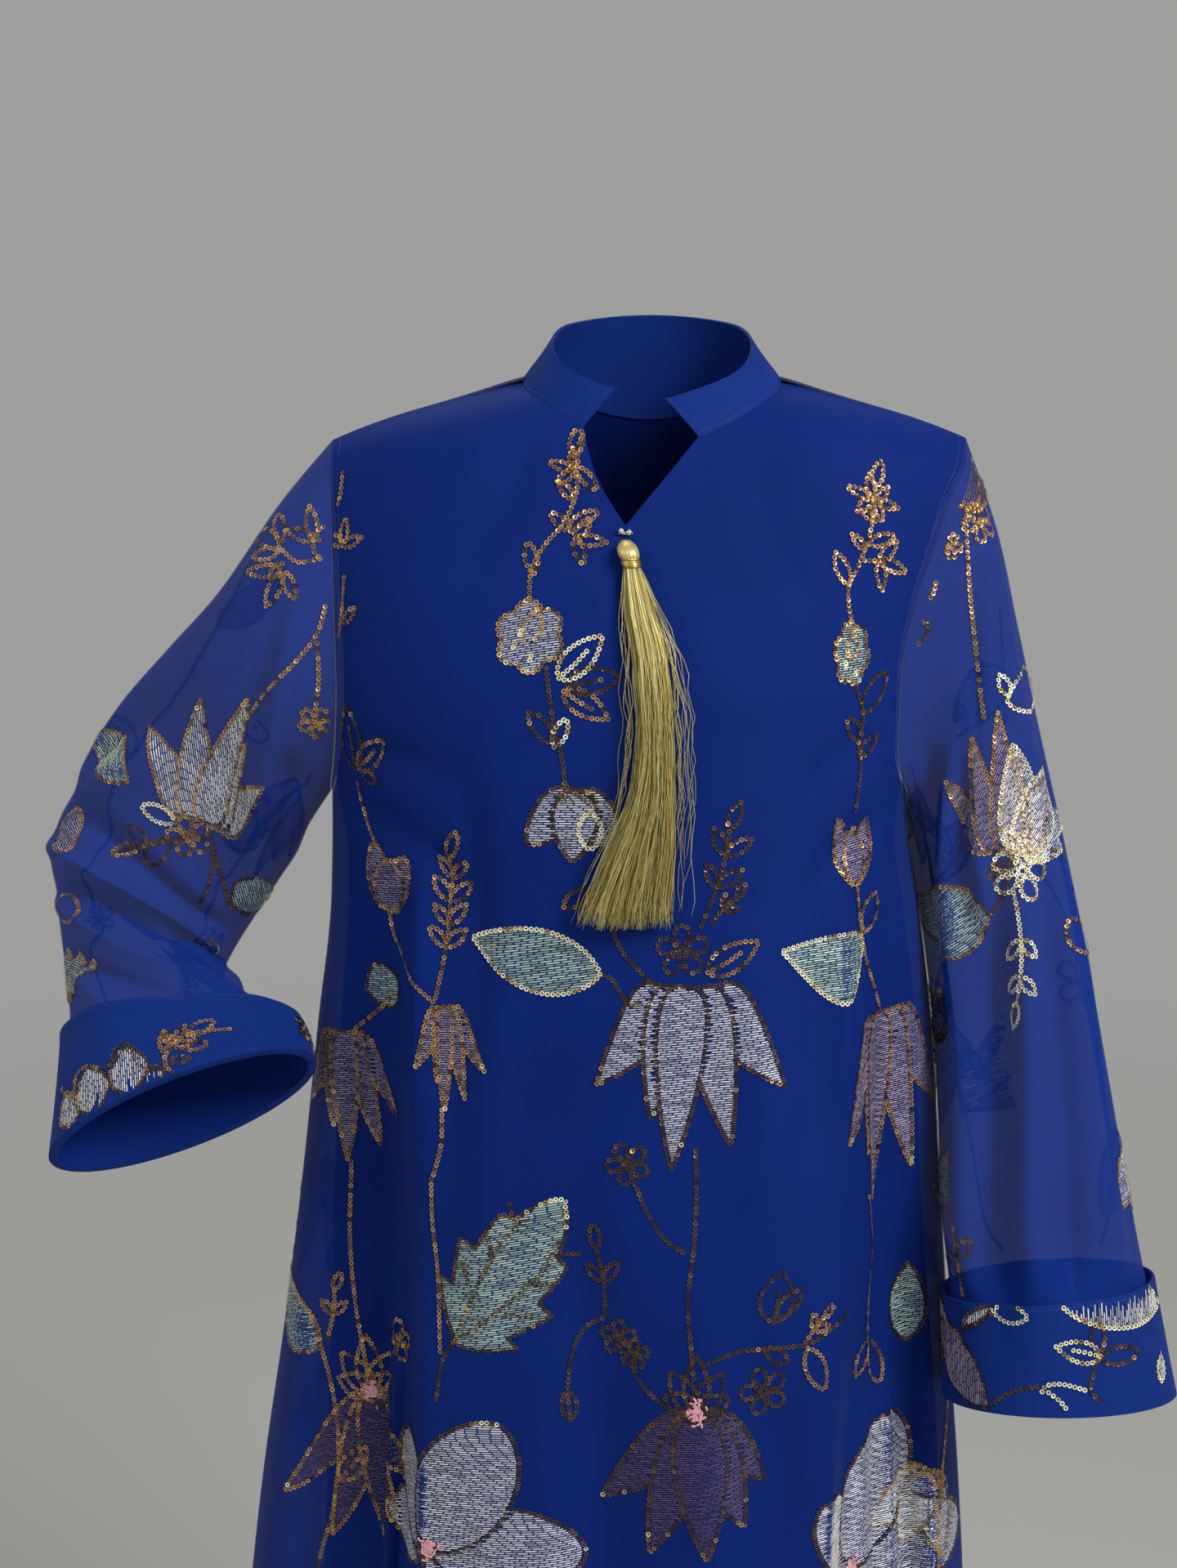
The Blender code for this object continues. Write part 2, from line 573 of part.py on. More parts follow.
def build_body():
    """The sheer front and back and the lining inside them; gives the two outer faces."""
    faces = []
    for name, face, line, low in (("front", FRONT, front_top_line(), front_low_angles),
                                  ("back", BACK, back_top_line(), back_low_angles)):
        outer, normals = panel_outer(panel_grid(line, low, face, ROW_DROPS), face)
        close_wall(name, outer, outer - normals * CLOTH, CHIFFON)
        faces.append((outer, normals))
        inside = panel_grid(line, low, face, LINING_ROW_DROPS, LINING_MARGIN)
        drawn = lining_grid(inside, LINING_ROW_DROPS)
        outer, normals = panel_outer(drawn, face, lining_insets(LINING_ROW_DROPS))
        close_wall("lining_" + name, outer, outer - normals * CLOTH, LINING)
    return faces


def armhole_ring(faces, right_side):
    """Outer and inner points of the sleeve's head: down the front panel's seam, up the back's."""
    rows = ROW_DROPS.index(UNDERARM_DROP) + 1
    edge, beside = (0, 1) if right_side else (-1, -2)
    loops = []
    for outer, normals in faces:
        seam = outer[:rows, edge]
        along = np.gradient(seam, axis=0)
        away = np.cross(along, normals[:rows, edge])
        away *= np.sign(np.sum(away[1] * (seam[1] - outer[1, beside])))
        away = away / np.linalg.norm(away, axis=1, keepdims=True)
        share = (np.array(ROW_DROPS[:rows]) / UNDERARM_DROP)[:, None]
        head = seam + away * ARMHOLE_GAP + normals[:rows, edge] * UNDERARM_STEP * share ** 2
        loops.append((head, head - normals[:rows, edge] * CLOTH))
    joined = []
    for front, back in zip(loops[0], loops[1]):
        crown, underarm = 0.5 * (front[0] + back[0]), 0.5 * (front[-1] + back[-1])
        joined.append(np.concatenate([[crown], front[1:-1], [underarm], back[1:-1][::-1]]))
    return joined


def ring_turns():
    """Angles of the points of a sleeve ring, which match the rows of the armhole seam."""
    rows = ROW_DROPS.index(UNDERARM_DROP) + 1
    down = [math.acos(1.0 - 2.0 * drop / UNDERARM_DROP) for drop in ROW_DROPS[:rows]]
    up = [2.0 * math.pi - turn for turn in down[1:-1][::-1]]
    return np.array(down + up)


def sleeve_ring(ring):
    """Points of one sleeve ring, from its outer point over the front to the inner one."""
    outer = np.array([ring.ox, ring.oy, ring.oz])
    inner = np.array([ring.ix, ring.iy, ring.iz])
    middle, half = 0.5 * (outer + inner), 0.5 * (inner - outer)
    rise = math.radians(ring.front_rise)
    forward = np.array([0.0, -math.cos(rise), math.sin(rise)])
    along = half / np.linalg.norm(half)
    forward = forward - along * forward.dot(along)
    forward = forward / np.linalg.norm(forward)
    turns = ring_turns()
    return middle - np.outer(np.cos(turns), half) + np.outer(np.sin(turns), forward * ring.half_depth)


def curve_through(rings, position):
    """Ring at a fractional position along a list of rings, on a smooth curve through them."""
    last = len(rings) - 1
    index = min(int(position), last - 1)
    t = position - index
    before, here = rings[max(index - 1, 0)], rings[index]
    after, beyond = rings[index + 1], rings[min(index + 2, last)]
    return 0.5 * (2.0 * here + (after - before) * t
                  + (2.0 * before - 5.0 * here + 4.0 * after - beyond) * t ** 2
                  + (3.0 * here - before - 3.0 * after + beyond) * t ** 3)


def sleeve_grid(seam, table):
    """Grid of the sleeve from the armhole seam to its hem, a ring for each row."""
    rings = [seam] + [sleeve_ring(ring) for ring in table]
    last = len(rings) - 1
    positions = [0.0, 0.35, 0.7] + [1.0 + SLEEVE_ROW_STEP * step for step in range(last * 2)]
    positions = [p for p in positions if p < last - 1.3] + [last - 1.0, last - 0.5, last]
    return np.array([curve_through(rings, p) for p in positions])


def sleeve_normals(grid, right_side):
    """Unit normals that point out of the sleeve."""
    return grid_normals(grid, closed=True) * (-1.0 if right_side else 1.0)


def build_sleeve(name, faces, right_side, table):
    """An unlined sleeve that ends just inside the fold of its cuff; gives its outer grid."""
    seam_outer, seam_inner = armhole_ring(faces, right_side)
    grid = sleeve_grid(seam_outer, table)
    outer = grid.copy()
    outer[-1] += (grid[-2] - grid[-1]) * 2.0 * SLEEVE_END_SHARE
    inner = outer - sleeve_normals(grid, right_side) * CLOTH
    share = 0.5 - 0.5 * np.cos(ring_turns())
    turned = smoothstep((share - UNDERARM_TURN_START) / (UNDERARM_TURN_END - UNDERARM_TURN_START))
    inward = (seam_inner - seam_outer) * (1.0 - turned[:, None]) + (inner[0] - outer[0]) * turned[:, None]
    inner[0] = outer[0] + inward * CLOTH / np.linalg.norm(inward, axis=1, keepdims=True)
    close_wall(name, outer, inner, CHIFFON, closed=True)
    return grid


def build_cuff(name, grid, right_side):
    """A turned-back double cuff whose fold wraps the sleeve's end."""
    normals = sleeve_normals(grid, right_side)[-3:]
    top, half, hem = grid[-3], grid[-2], grid[-1]
    loops = []
    for corner in CUFF_PROFILE:
        share = corner.share
        if share > 0.5:
            base = half + (top - half) * (share - 0.5) * 2.0
            normal = normals[1] + (normals[0] - normals[1]) * (share - 0.5) * 2.0
        else:
            base = hem + (half - hem) * share * 2.0
            normal = normals[2] + (normals[1] - normals[2]) * share * 2.0
        loops.append(base + normal * corner.out)
    points = np.concatenate(loops)
    corners, around = len(CUFF_PROFILE), grid.shape[1]
    faces = []
    for step in range(corners):
        following = (step + 1) % corners
        rising = CUFF_PROFILE[following].share >= CUFF_PROFILE[step].share
        for place in range(around):
            beside = (place + 1) % around
            a, b = step * around + place, step * around + beside
            c, d = following * around + beside, following * around + place
            faces += [[a, b, c], [a, c, d]] if rising else [[a, b, d], [b, c, d]]
    add_object(name, points, faces, LINING)


def neck_seam(front, back):
    """Points of the neck seam from the slit over the wearer's right and the back to the slit."""
    start = SHOULDER_SPANS
    right = front[0, start:start + FRONT_NECK_SPANS + 1][::-1]
    behind = back[0, start + 1:start + BACK_NECK_SPANS]
    first = start + FRONT_NECK_SPANS + 2 * SLIT_SPANS
    left = front[0, first:first + FRONT_NECK_SPANS + 1][::-1]
    return np.concatenate([right, behind, left])


def build_collar(faces):
    """A stand collar made on the neck seam of the panels, open over the slit."""
    seam = neck_seam(faces[0][0], faces[1][0])
    turns = np.degrees(np.arctan2(-seam[:, 0] / NECK_HALF_WIDTH, -seam[:, 1] / NECK_BACK_DEPTH)) % 360.0
    top_start = math.degrees(math.asin(-COLLAR_TOP_RIGHT_X / COLLAR_TOP_HALF_WIDTH))
    top_end = 360.0 - math.degrees(math.asin(COLLAR_TOP_LEFT_X / COLLAR_TOP_HALF_WIDTH))
    shares = (turns - turns[0]) / (turns[-1] - turns[0])
    grid = np.empty((COLLAR_ROWS + 1, len(seam), 3))
    for column, (low, share) in enumerate(zip(seam, shares)):
        turn = top_start + (top_end - top_start) * share
        reach = COLLAR_TOP_FRONT if math.cos(math.radians(turn)) > 0.0 else COLLAR_TOP_BACK
        high = np.array([-COLLAR_TOP_HALF_WIDTH * math.sin(math.radians(turn)),
                         -reach * math.cos(math.radians(turn)),
                         float(table_curve(COLLAR_RISES, "height", turn))])
        rise = (high - low) / np.linalg.norm(high - low)
        behind = smoothstep(1.0 + 2.0 * low[1] / NECK_BACK_DEPTH)
        low = low + rise * (COLLAR_FRONT_LIFT + (COLLAR_BACK_LIFT - COLLAR_FRONT_LIFT) * behind)
        away = np.array([low[0], low[1], 0.0]) / math.hypot(low[0], low[1])
        for row in range(COLLAR_ROWS + 1):
            level = row / COLLAR_ROWS
            bow = away * COLLAR_BOW * math.sin(math.pi * level)
            grid[COLLAR_ROWS - row, column] = low + (high - low) * level + bow
    normals = grid_normals(grid)
    if normals[0, len(seam) // 2, 1] < 0.0:
        normals = -normals
    close_wall("collar", grid, grid - normals * COLLAR_CLOTH, LINING)


def facet_tree(grid):
    """Search tree of a grid's facets."""
    rows, columns = grid.shape[:2]
    quads = []
    for row in range(rows - 1):
        for column in range(columns - 1):
            first = row * columns + column
            quads.append((first, first + 1, first + columns + 1, first + columns))
    return BVHTree.FromPolygons([Vector(point) for point in grid.reshape(-1, 3)], quads)


def resting_y(tree, ring):
    """y of the middle of a tassel ring that just clears the front under its whole width."""
    hits = []
    for share in (-1.0, -0.5, 0.0, 0.5, 1.0):
        start = Vector((ring.x + ring.half_width * share, -1.0, ring.z))
        place = tree.ray_cast(start, Vector((0.0, 1.0, 0.0)))[0]
        if place is not None:
            bulge = ring.half_depth * math.sqrt(1.0 - share * share)
            hits.append(place.y - bulge)
    return min(hits) - TASSEL_REST_GAP


def build_turned(name, tree, rings, finish):
    """A closed oval form through the rings of a table, resting against the front."""
    points = []
    for ring in rings:
        middle_y = resting_y(tree, ring)
        for side in range(TASSEL_SIDES):
            turn = 2.0 * math.pi * side / TASSEL_SIDES
            points.append((ring.x + ring.half_width * math.cos(turn),
                           middle_y + ring.half_depth * math.sin(turn), ring.z))
    faces = []
    for level in range(len(rings) - 1):
        for side in range(TASSEL_SIDES):
            beside = (side + 1) % TASSEL_SIDES
            here, below = level * TASSEL_SIDES, (level + 1) * TASSEL_SIDES
            faces.append([here + side, here + beside, below + beside, below + side])
    last = (len(rings) - 1) * TASSEL_SIDES
    faces.append(list(range(TASSEL_SIDES)))
    faces.append([last + side for side in range(TASSEL_SIDES)])
    add_object(name, points, faces, finish)


def build_tassel(front_outer):
    """The knot at the foot of the slit, and the tassel's head, band and fringe."""
    tree = facet_tree(front_outer)
    knot_rings = []
    for step in range(KNOT_RINGS):
        lift = math.cos(math.pi * (0.1 + 0.8 * step / (KNOT_RINGS - 1)))
        swell = math.sqrt(1.0 - lift * lift)
        knot_rings.append(TasselRing(SLIT_FOOT_X, -KNOT_DROP + KNOT_HALF_HEIGHT * lift,
                                     KNOT_HALF_WIDTH * swell, KNOT_HALF_DEPTH * swell))
    build_turned("slit_knot", tree, knot_rings, SILVER_THREAD)
    build_turned("tassel_head", tree, TASSEL_HEAD_RINGS, GOLD_THREAD)
    build_turned("tassel_band", tree, TASSEL_BAND_RINGS, GOLD_THREAD)
    build_turned("tassel_skirt", tree, TASSEL_SKIRT_RINGS, GOLD_THREAD)


def main():
    """Clear the scene and build every piece."""
    for thing in list(bpy.data.objects):
        bpy.data.objects.remove(thing, do_unlink=True)
    faces = build_body()
    for side, table in (("right", RIGHT_SLEEVE_RINGS), ("left", LEFT_SLEEVE_RINGS)):
        right_side = side == "right"
        grid = build_sleeve("sleeve_" + side, faces, right_side, table)
        build_cuff("cuff_" + side, grid, right_side)
    build_collar(faces)
    build_tassel(faces[0][0])


main()
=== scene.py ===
"""Royal-blue abaya in sheer cloth, worn and hollow, with sequin flowers and a gold tassel.

Metres, +Z up. The wearer faces -Y and the wearer's right is at -X. The origin is the centre
of the neck, level with the shoulder ends of the collar seam.
"""

import json
import logging
import math
from dataclasses import dataclass
from enum import Enum
from typing import NamedTuple, Sequence

import bpy
import numpy as np
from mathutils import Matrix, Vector
from mathutils.bvhtree import BVHTree

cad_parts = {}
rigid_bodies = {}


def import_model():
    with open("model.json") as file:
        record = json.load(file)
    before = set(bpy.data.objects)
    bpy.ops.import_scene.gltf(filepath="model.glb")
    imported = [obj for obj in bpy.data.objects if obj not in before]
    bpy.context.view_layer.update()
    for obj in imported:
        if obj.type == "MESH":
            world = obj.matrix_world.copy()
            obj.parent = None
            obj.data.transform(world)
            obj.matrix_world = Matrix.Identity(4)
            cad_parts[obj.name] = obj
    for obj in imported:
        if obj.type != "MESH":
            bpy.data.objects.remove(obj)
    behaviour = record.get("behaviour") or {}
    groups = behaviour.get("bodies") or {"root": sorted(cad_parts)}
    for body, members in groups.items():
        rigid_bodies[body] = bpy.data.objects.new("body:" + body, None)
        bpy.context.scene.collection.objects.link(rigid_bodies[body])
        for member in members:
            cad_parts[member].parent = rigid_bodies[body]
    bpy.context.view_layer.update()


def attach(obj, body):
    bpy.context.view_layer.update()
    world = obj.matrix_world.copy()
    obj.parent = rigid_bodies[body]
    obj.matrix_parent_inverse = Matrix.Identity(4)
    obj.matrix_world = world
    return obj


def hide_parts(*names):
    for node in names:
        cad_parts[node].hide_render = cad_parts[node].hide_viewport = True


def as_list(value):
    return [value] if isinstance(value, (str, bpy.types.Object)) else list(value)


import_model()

LOG = logging.getLogger("abaya")
BODY = "root"
SEED = 20

# Cloth and seams, and how many layers the turned hem adds
CLOTH = 0.0006
COLLAR_CLOTH = 0.0018
HEM = 0.009
HEM_LAYERS = 1.6
SEAM_GAP = 0.0003
LINING_GAP = 0.0034
LINING_SEAM_GAP = 0.0019
LINING_FREE_DROP = 0.180
SHARP_ANGLE = math.radians(50.0)

# Fine steps for each span of the worn form
FRONT_STEPS = 8
BACK_STEPS = 7
LINING_STEPS = 4

# Smallest length that counts as one, and the share of a crease that each of its ends takes to fade
TINY = 1e-12
CREASE_END = 0.30

# Depth of the grain on a surface, and columns of a net round a sleeve or a cuff
GRAIN_DEPTH = 0.0002
TUBE_COLUMNS = 361

# Length below which a motif is not drawn
MOTIF_LEAST = 0.004


class Face(Enum):
    """The side of the body that a panel covers, as the sign of its y."""

    FRONT = -1.0
    BACK = 1.0


class Side(Enum):
    """The wearer's right or left, as the sign of its x."""

    RIGHT = -1.0
    LEFT = 1.0


class BodyLevel(NamedTuple):
    """Half widths to the wearer's right and left, and front and back depths, at one drop."""

    drop: float
    right: float
    left: float
    front: float
    back: float


class LiningLevel(NamedTuple):
    """Half widths of the straighter lining at one drop."""

    drop: float
    right: float
    left: float


class ArmholeLevel(NamedTuple):
    """Distance of each armhole seam from the middle at one drop."""

    drop: float
    right_front: float
    right_back: float
    left_front: float
    left_back: float


class FrontFoldLevel(NamedTuple):
    """Place of the two long fold edges, and how far the cloth beside them falls back."""

    drop: float
    right_x: float
    right_depth: float
    left_x: float
    left_depth: float


class SoftFold(NamedTuple):
    """A fold that grows to the hem: degrees across the panel, half width, reach, first drop."""

    angle: float
    spread: float
    reach: float
    start: float


class SleeveRing(NamedTuple):
    """Outer and inner point of a sleeve ring, half depth, and rise of its front in degrees."""

    ox: float
    oy: float
    oz: float
    ix: float
    iy: float
    iz: float
    half_depth: float
    front_rise: float


class CollarRise(NamedTuple):
    """Height of the collar's top edge at a plan angle."""

    angle: float
    height: float


class TasselRing(NamedTuple):
    """Middle line, half width and half depth of the tassel at one height."""

    x: float
    z: float
    half_width: float
    half_depth: float


class FlatCut(NamedTuple):
    """Cut of a cloth piece before it hangs: metres round and long, square metres, what carries it."""

    piece: str
    width: float
    length: float
    area: float | None
    rests_on: tuple[str, ...]


class Crease(NamedTuple):
    """A soft trough (reach below zero) or ridge from one place on a cloth to another.

    On a body panel a place is metres across and drop; on a sleeve it is the share of the way
    round from the outer line over the front, and the number of the ring.
    """

    across: float
    down: float
    end_across: float
    end_down: float
    bow: float
    width: float
    reach: float


def table(kind: type, *rows: tuple) -> tuple:
    """A table with one entry of its kind for each row of values."""
    return tuple(kind(*row) for row in rows)


BODY_LEVELS = table(
    BodyLevel,
    (0.0, 0.228, 0.222, 0.0, 0.0), (0.01, 0.228, 0.221, 0.033, 0.036), (0.03, 0.228, 0.219, 0.058, 0.062),
    (0.06, 0.227, 0.214, 0.076, 0.082), (0.1, 0.225, 0.204, 0.093, 0.097),
    (0.15, 0.222, 0.19, 0.109, 0.106), (0.21, 0.217, 0.176, 0.123, 0.11),
    (0.272, 0.212, 0.17, 0.129, 0.11), (0.34, 0.214, 0.18, 0.133, 0.11),
    (0.43, 0.225, 0.192, 0.138, 0.113), (0.53, 0.237, 0.2, 0.145, 0.118),
    (0.64, 0.252, 0.209, 0.153, 0.124), (0.76, 0.271, 0.22, 0.162, 0.131),
    (0.9, 0.289, 0.23, 0.171, 0.139), (1.05, 0.31, 0.243, 0.181, 0.148),
    (1.21, 0.331, 0.264, 0.191, 0.157), (1.38, 0.352, 0.285, 0.2, 0.165),
)
LINING_LEVELS = table(
    LiningLevel,
    (0.0, 0.228, 0.222), (0.272, 0.2108, 0.169), (0.34, 0.212, 0.1788), (0.43, 0.219, 0.1905),
    (0.53, 0.225, 0.196), (0.76, 0.235, 0.215), (1.05, 0.25, 0.222), (1.31, 0.264, 0.24),
)
ARMHOLE_LEVELS = table(
    ArmholeLevel,
    (0.0, 0.207, 0.207, 0.204, 0.204), (0.02, 0.207, 0.206, 0.2, 0.202),
    (0.045, 0.206, 0.204, 0.19, 0.197), (0.08, 0.205, 0.201, 0.18, 0.19),
    (0.125, 0.204, 0.199, 0.167, 0.179), (0.18, 0.203, 0.198, 0.158, 0.168),
    (0.225, 0.205, 0.202, 0.158, 0.165), (0.252, 0.2085, 0.207, 0.1615, 0.1665),
    (0.265, 0.211, 0.2105, 0.1675, 0.169), (0.272, 0.212, 0.212, 0.17, 0.17),
)
FRONT_FOLD_LEVELS = table(
    FrontFoldLevel,
    (0.0, 0.145, 0.0, 0.118, 0.0), (0.27, 0.15, 0.0, 0.125, 0.0), (0.34, 0.156, 0.01, 0.128, 0.004),
    (0.45, 0.16, 0.028, 0.129, 0.017), (0.6, 0.155, 0.038, 0.127, 0.029),
    (0.84, 0.163, 0.045, 0.121, 0.036), (1.38, 0.182, 0.056, 0.132, 0.052),
)
FRONT_SOFT_FOLDS = table(
    SoftFold,
    (-66.0, 9.0, 0.012, 0.45), (-13.0, 9.0, 0.014, 0.7), (9.0, 8.0, -0.01, 0.8), (66.0, 9.0, 0.012, 0.8),
)
BACK_SOFT_FOLDS = table(
    SoftFold,
    (-58.0, 11.0, 0.024, 0.4), (-34.0, 10.0, -0.02, 0.36), (-12.0, 11.0, 0.022, 0.3),
    (12.0, 10.0, -0.018, 0.42), (34.0, 11.0, 0.026, 0.34), (57.0, 10.0, -0.016, 0.48),
)
RIGHT_SLEEVE_RINGS = table(
    SleeveRing,
    (-0.243, 0.0, -0.08, -0.229, 0.008, -0.296, 0.056, 2.0),
    (-0.285, 0.01, -0.138, -0.239, 0.018, -0.318, 0.055, 4.0),
    (-0.322, 0.022, -0.178, -0.252, 0.028, -0.338, 0.052, 8.0),
    (-0.359, 0.034, -0.219, -0.269, 0.032, -0.364, 0.05, 14.0),
    (-0.389, 0.043, -0.264, -0.285, 0.022, -0.389, 0.049, 22.0),
    (-0.411, 0.042, -0.322, -0.291, 0.008, -0.404, 0.049, 30.0),
    (-0.404, 0.02, -0.362, -0.279, -0.01, -0.411, 0.049, 36.0),
    (-0.394, -0.012, -0.396, -0.259, -0.03, -0.416, 0.049, 40.0),
    (-0.385, -0.048, -0.43, -0.237, -0.046, -0.42, 0.05, 42.0),
    (-0.384, -0.11, -0.494, -0.223, -0.078, -0.436, 0.052, 43.0),
)
LEFT_SLEEVE_RINGS = table(
    SleeveRing,
    (0.226, 0.0, -0.096, 0.1727, 0.006, -0.291, 0.06, 0.0),
    (0.242, -0.001, -0.16, 0.1762, 0.01, -0.313, 0.06, 0.0),
    (0.258, -0.003, -0.225, 0.1806, 0.005, -0.341, 0.06, 0.0),
    (0.276, -0.009, -0.298, 0.1861, -0.012, -0.38, 0.06, 1.0),
    (0.292, -0.019, -0.372, 0.1916, -0.021, -0.43, 0.06, 3.0),
    (0.306, -0.034, -0.448, 0.1949, -0.034, -0.49, 0.059, 6.0),
    (0.319, -0.052, -0.522, 0.1966, -0.046, -0.55, 0.059, 8.0),
    (0.331, -0.07, -0.588, 0.2019, -0.06, -0.602, 0.059, 10.0),
    (0.347, -0.09, -0.663, 0.2005, -0.078, -0.67, 0.059, 11.0),
)
FLAT_CUTS = table(
    FlatCut,
    ("front", 0.893, 1.46, 0.9, ("back_cloth",)), ("back", 0.846, 1.463, 0.86, ("front_cloth",)),
    ("lining_front", 0.761, 1.381, 0.777, ("front_cloth",)),
    ("lining_back", 0.721, 1.379, 0.742, ("back_cloth",)),
    ("sleeve_right", 0.546, 0.593, 0.175, ("front_cloth", "back_cloth")),
    ("sleeve_left", 0.575, 0.651, 0.213, ("front_cloth", "back_cloth")),
    ("cuff_right", 0.44, 0.07, None, ("sleeve_right_cloth",)),
    ("cuff_left", 0.42, 0.08, None, ("sleeve_left_cloth",)),
    ("collar", 0.43, 0.039, None, ("front_cloth", "back_cloth")),
)
COLLAR_RISES = table(
    CollarRise,
    (20.0, -0.004), (60.0, 0.01), (90.0, 0.024), (125.0, 0.035), (180.0, 0.04), (235.0, 0.035),
    (270.0, 0.024), (300.0, 0.009), (352.0, -0.009),
)
TASSEL_HEAD_RINGS = table(
    TasselRing,
    (-0.0178, -0.0935, 0.0022, 0.002), (-0.0174, -0.096, 0.0052, 0.0048),
    (-0.0168, -0.099, 0.0064, 0.0058), (-0.016, -0.1025, 0.0062, 0.0056),
    (-0.0154, -0.1045, 0.0052, 0.0048),
)
TASSEL_BAND_RINGS = table(
    TasselRing,
    (-0.0153, -0.105, 0.0056, 0.0052), (-0.0148, -0.107, 0.006, 0.0056), (-0.0143, -0.109, 0.0056, 0.0052),
)
TASSEL_SKIRT_RINGS = table(
    TasselRing,
    (-0.0142, -0.1095, 0.0052, 0.005), (-0.01, -0.134, 0.0082, 0.0066), (-0.004, -0.16, 0.0108, 0.0074),
    (-0.0016, -0.185, 0.0112, 0.0076), (-0.0006, -0.208, 0.0114, 0.0076), (-0.0012, -0.234, 0.013, 0.0078),
    (-0.0045, -0.259, 0.0168, 0.0082), (-0.0105, -0.285, 0.0225, 0.0086), (-0.0165, -0.311, 0.028, 0.009),
    (-0.0186, -0.324, 0.03, 0.009),
)

# Creases of the front, seen from the front: metres to the wearer's left, and drop
FRONT_CREASES = table(
    Crease,
    (-0.128, 0.2, -0.12, 0.46, 0.01, 0.014, -0.006), (-0.15, 0.3, -0.145, 0.56, 0.004, 0.012, 0.0045),
    (-0.098, 0.33, -0.104, 0.64, -0.006, 0.018, 0.0045), (-0.2, 0.262, -0.11, 0.33, 0.01, 0.01, -0.0039),
    (-0.196, 0.23, -0.12, 0.25, 0.008, 0.011, -0.003), (0.16, 0.262, 0.085, 0.34, -0.01, 0.01, -0.0039),
    (0.15, 0.215, 0.088, 0.26, -0.008, 0.011, -0.0033),
    (-0.072, 0.012, -0.135, 0.12, 0.012, 0.014, -0.003), (-0.1, 0.01, -0.172, 0.09, 0.01, 0.012, 0.0024),
    (0.06, 0.03, 0.108, 0.15, -0.01, 0.013, -0.003), (0.085, 0.012, 0.15, 0.1, -0.01, 0.012, 0.0024),
    (-0.02, 0.11, -0.09, 0.19, 0.014, 0.02, 0.0027), (0.02, 0.12, 0.075, 0.21, -0.012, 0.02, 0.0027),
    (0.1, 0.3, 0.104, 0.62, 0.006, 0.015, -0.0051), (0.112, 0.42, 0.106, 0.76, -0.004, 0.013, 0.0045),
    (-0.03, 0.52, -0.046, 1.0, 0.01, 0.023, -0.0081), (0.04, 0.48, 0.062, 0.98, -0.012, 0.022, 0.0081),
    (-0.062, 0.82, -0.07, 1.375, 0.014, 0.018, 0.0112), (0.012, 0.86, 0.02, 1.378, -0.01, 0.02, -0.0121),
    (0.07, 0.9, 0.095, 1.378, 0.012, 0.017, 0.0112), (-0.115, 0.7, -0.135, 1.37, -0.01, 0.015, -0.0101),
    (-0.195, 0.42, -0.21, 0.9, 0.008, 0.011, -0.006), (-0.225, 0.6, -0.262, 1.376, -0.01, 0.013, 0.0101),
    (0.158, 0.45, 0.182, 0.98, 0.006, 0.009, -0.0073), (0.176, 0.64, 0.226, 1.376, 0.01, 0.013, 0.0097),
    (-0.182, 0.4, -0.19, 0.9, 0.004, 0.009, -0.013), (-0.14, 0.24, -0.142, 0.47, 0.004, 0.012, -0.006),
    (-0.052, 0.43, -0.046, 0.86, 0.006, 0.02, -0.005), (0.064, 0.33, 0.088, 0.7, -0.006, 0.018, 0.005),
    (0.128, 0.32, 0.13, 0.7, 0.002, 0.007, 0.005), (0.15, 0.3, 0.156, 0.9, 0.002, 0.008, -0.008),
    (-0.165, 0.56, -0.18, 1.2, -0.006, 0.008, 0.0095),
)
BACK_CREASES = table(
    Crease,
    (-0.07, 0.015, -0.14, 0.13, 0.012, 0.012, -0.0053), (0.072, 0.015, 0.13, 0.12, -0.012, 0.012, -0.0053),
    (-0.03, 0.04, -0.055, 0.23, 0.008, 0.014, 0.0048), (0.028, 0.05, 0.06, 0.26, -0.01, 0.015, 0.0053),
    (-0.192, 0.25, -0.09, 0.34, -0.014, 0.01, -0.0082), (-0.185, 0.215, -0.1, 0.24, -0.012, 0.01, -0.0053),
    (0.152, 0.25, 0.07, 0.35, 0.014, 0.01, -0.0082), (0.15, 0.205, 0.085, 0.24, 0.01, 0.01, -0.0053),
    (-0.105, 0.28, -0.125, 0.8, 0.012, 0.014, -0.0107), (-0.012, 0.26, -0.024, 0.76, -0.01, 0.015, 0.0101),
    (0.048, 0.3, 0.062, 0.82, 0.012, 0.014, -0.0107), (0.112, 0.34, 0.134, 0.88, -0.01, 0.013, 0.0101),
    (-0.17, 0.42, -0.205, 1.08, 0.012, 0.014, 0.012), (-0.07, 0.7, -0.085, 1.376, -0.014, 0.018, -0.0144),
    (0.018, 0.76, 0.03, 1.377, 0.012, 0.019, 0.0144), (0.095, 0.8, 0.12, 1.376, -0.012, 0.016, -0.0133),
    (0.165, 0.62, 0.205, 1.376, 0.01, 0.014, -0.012), (-0.225, 0.76, -0.27, 1.374, -0.012, 0.014, -0.012),
)
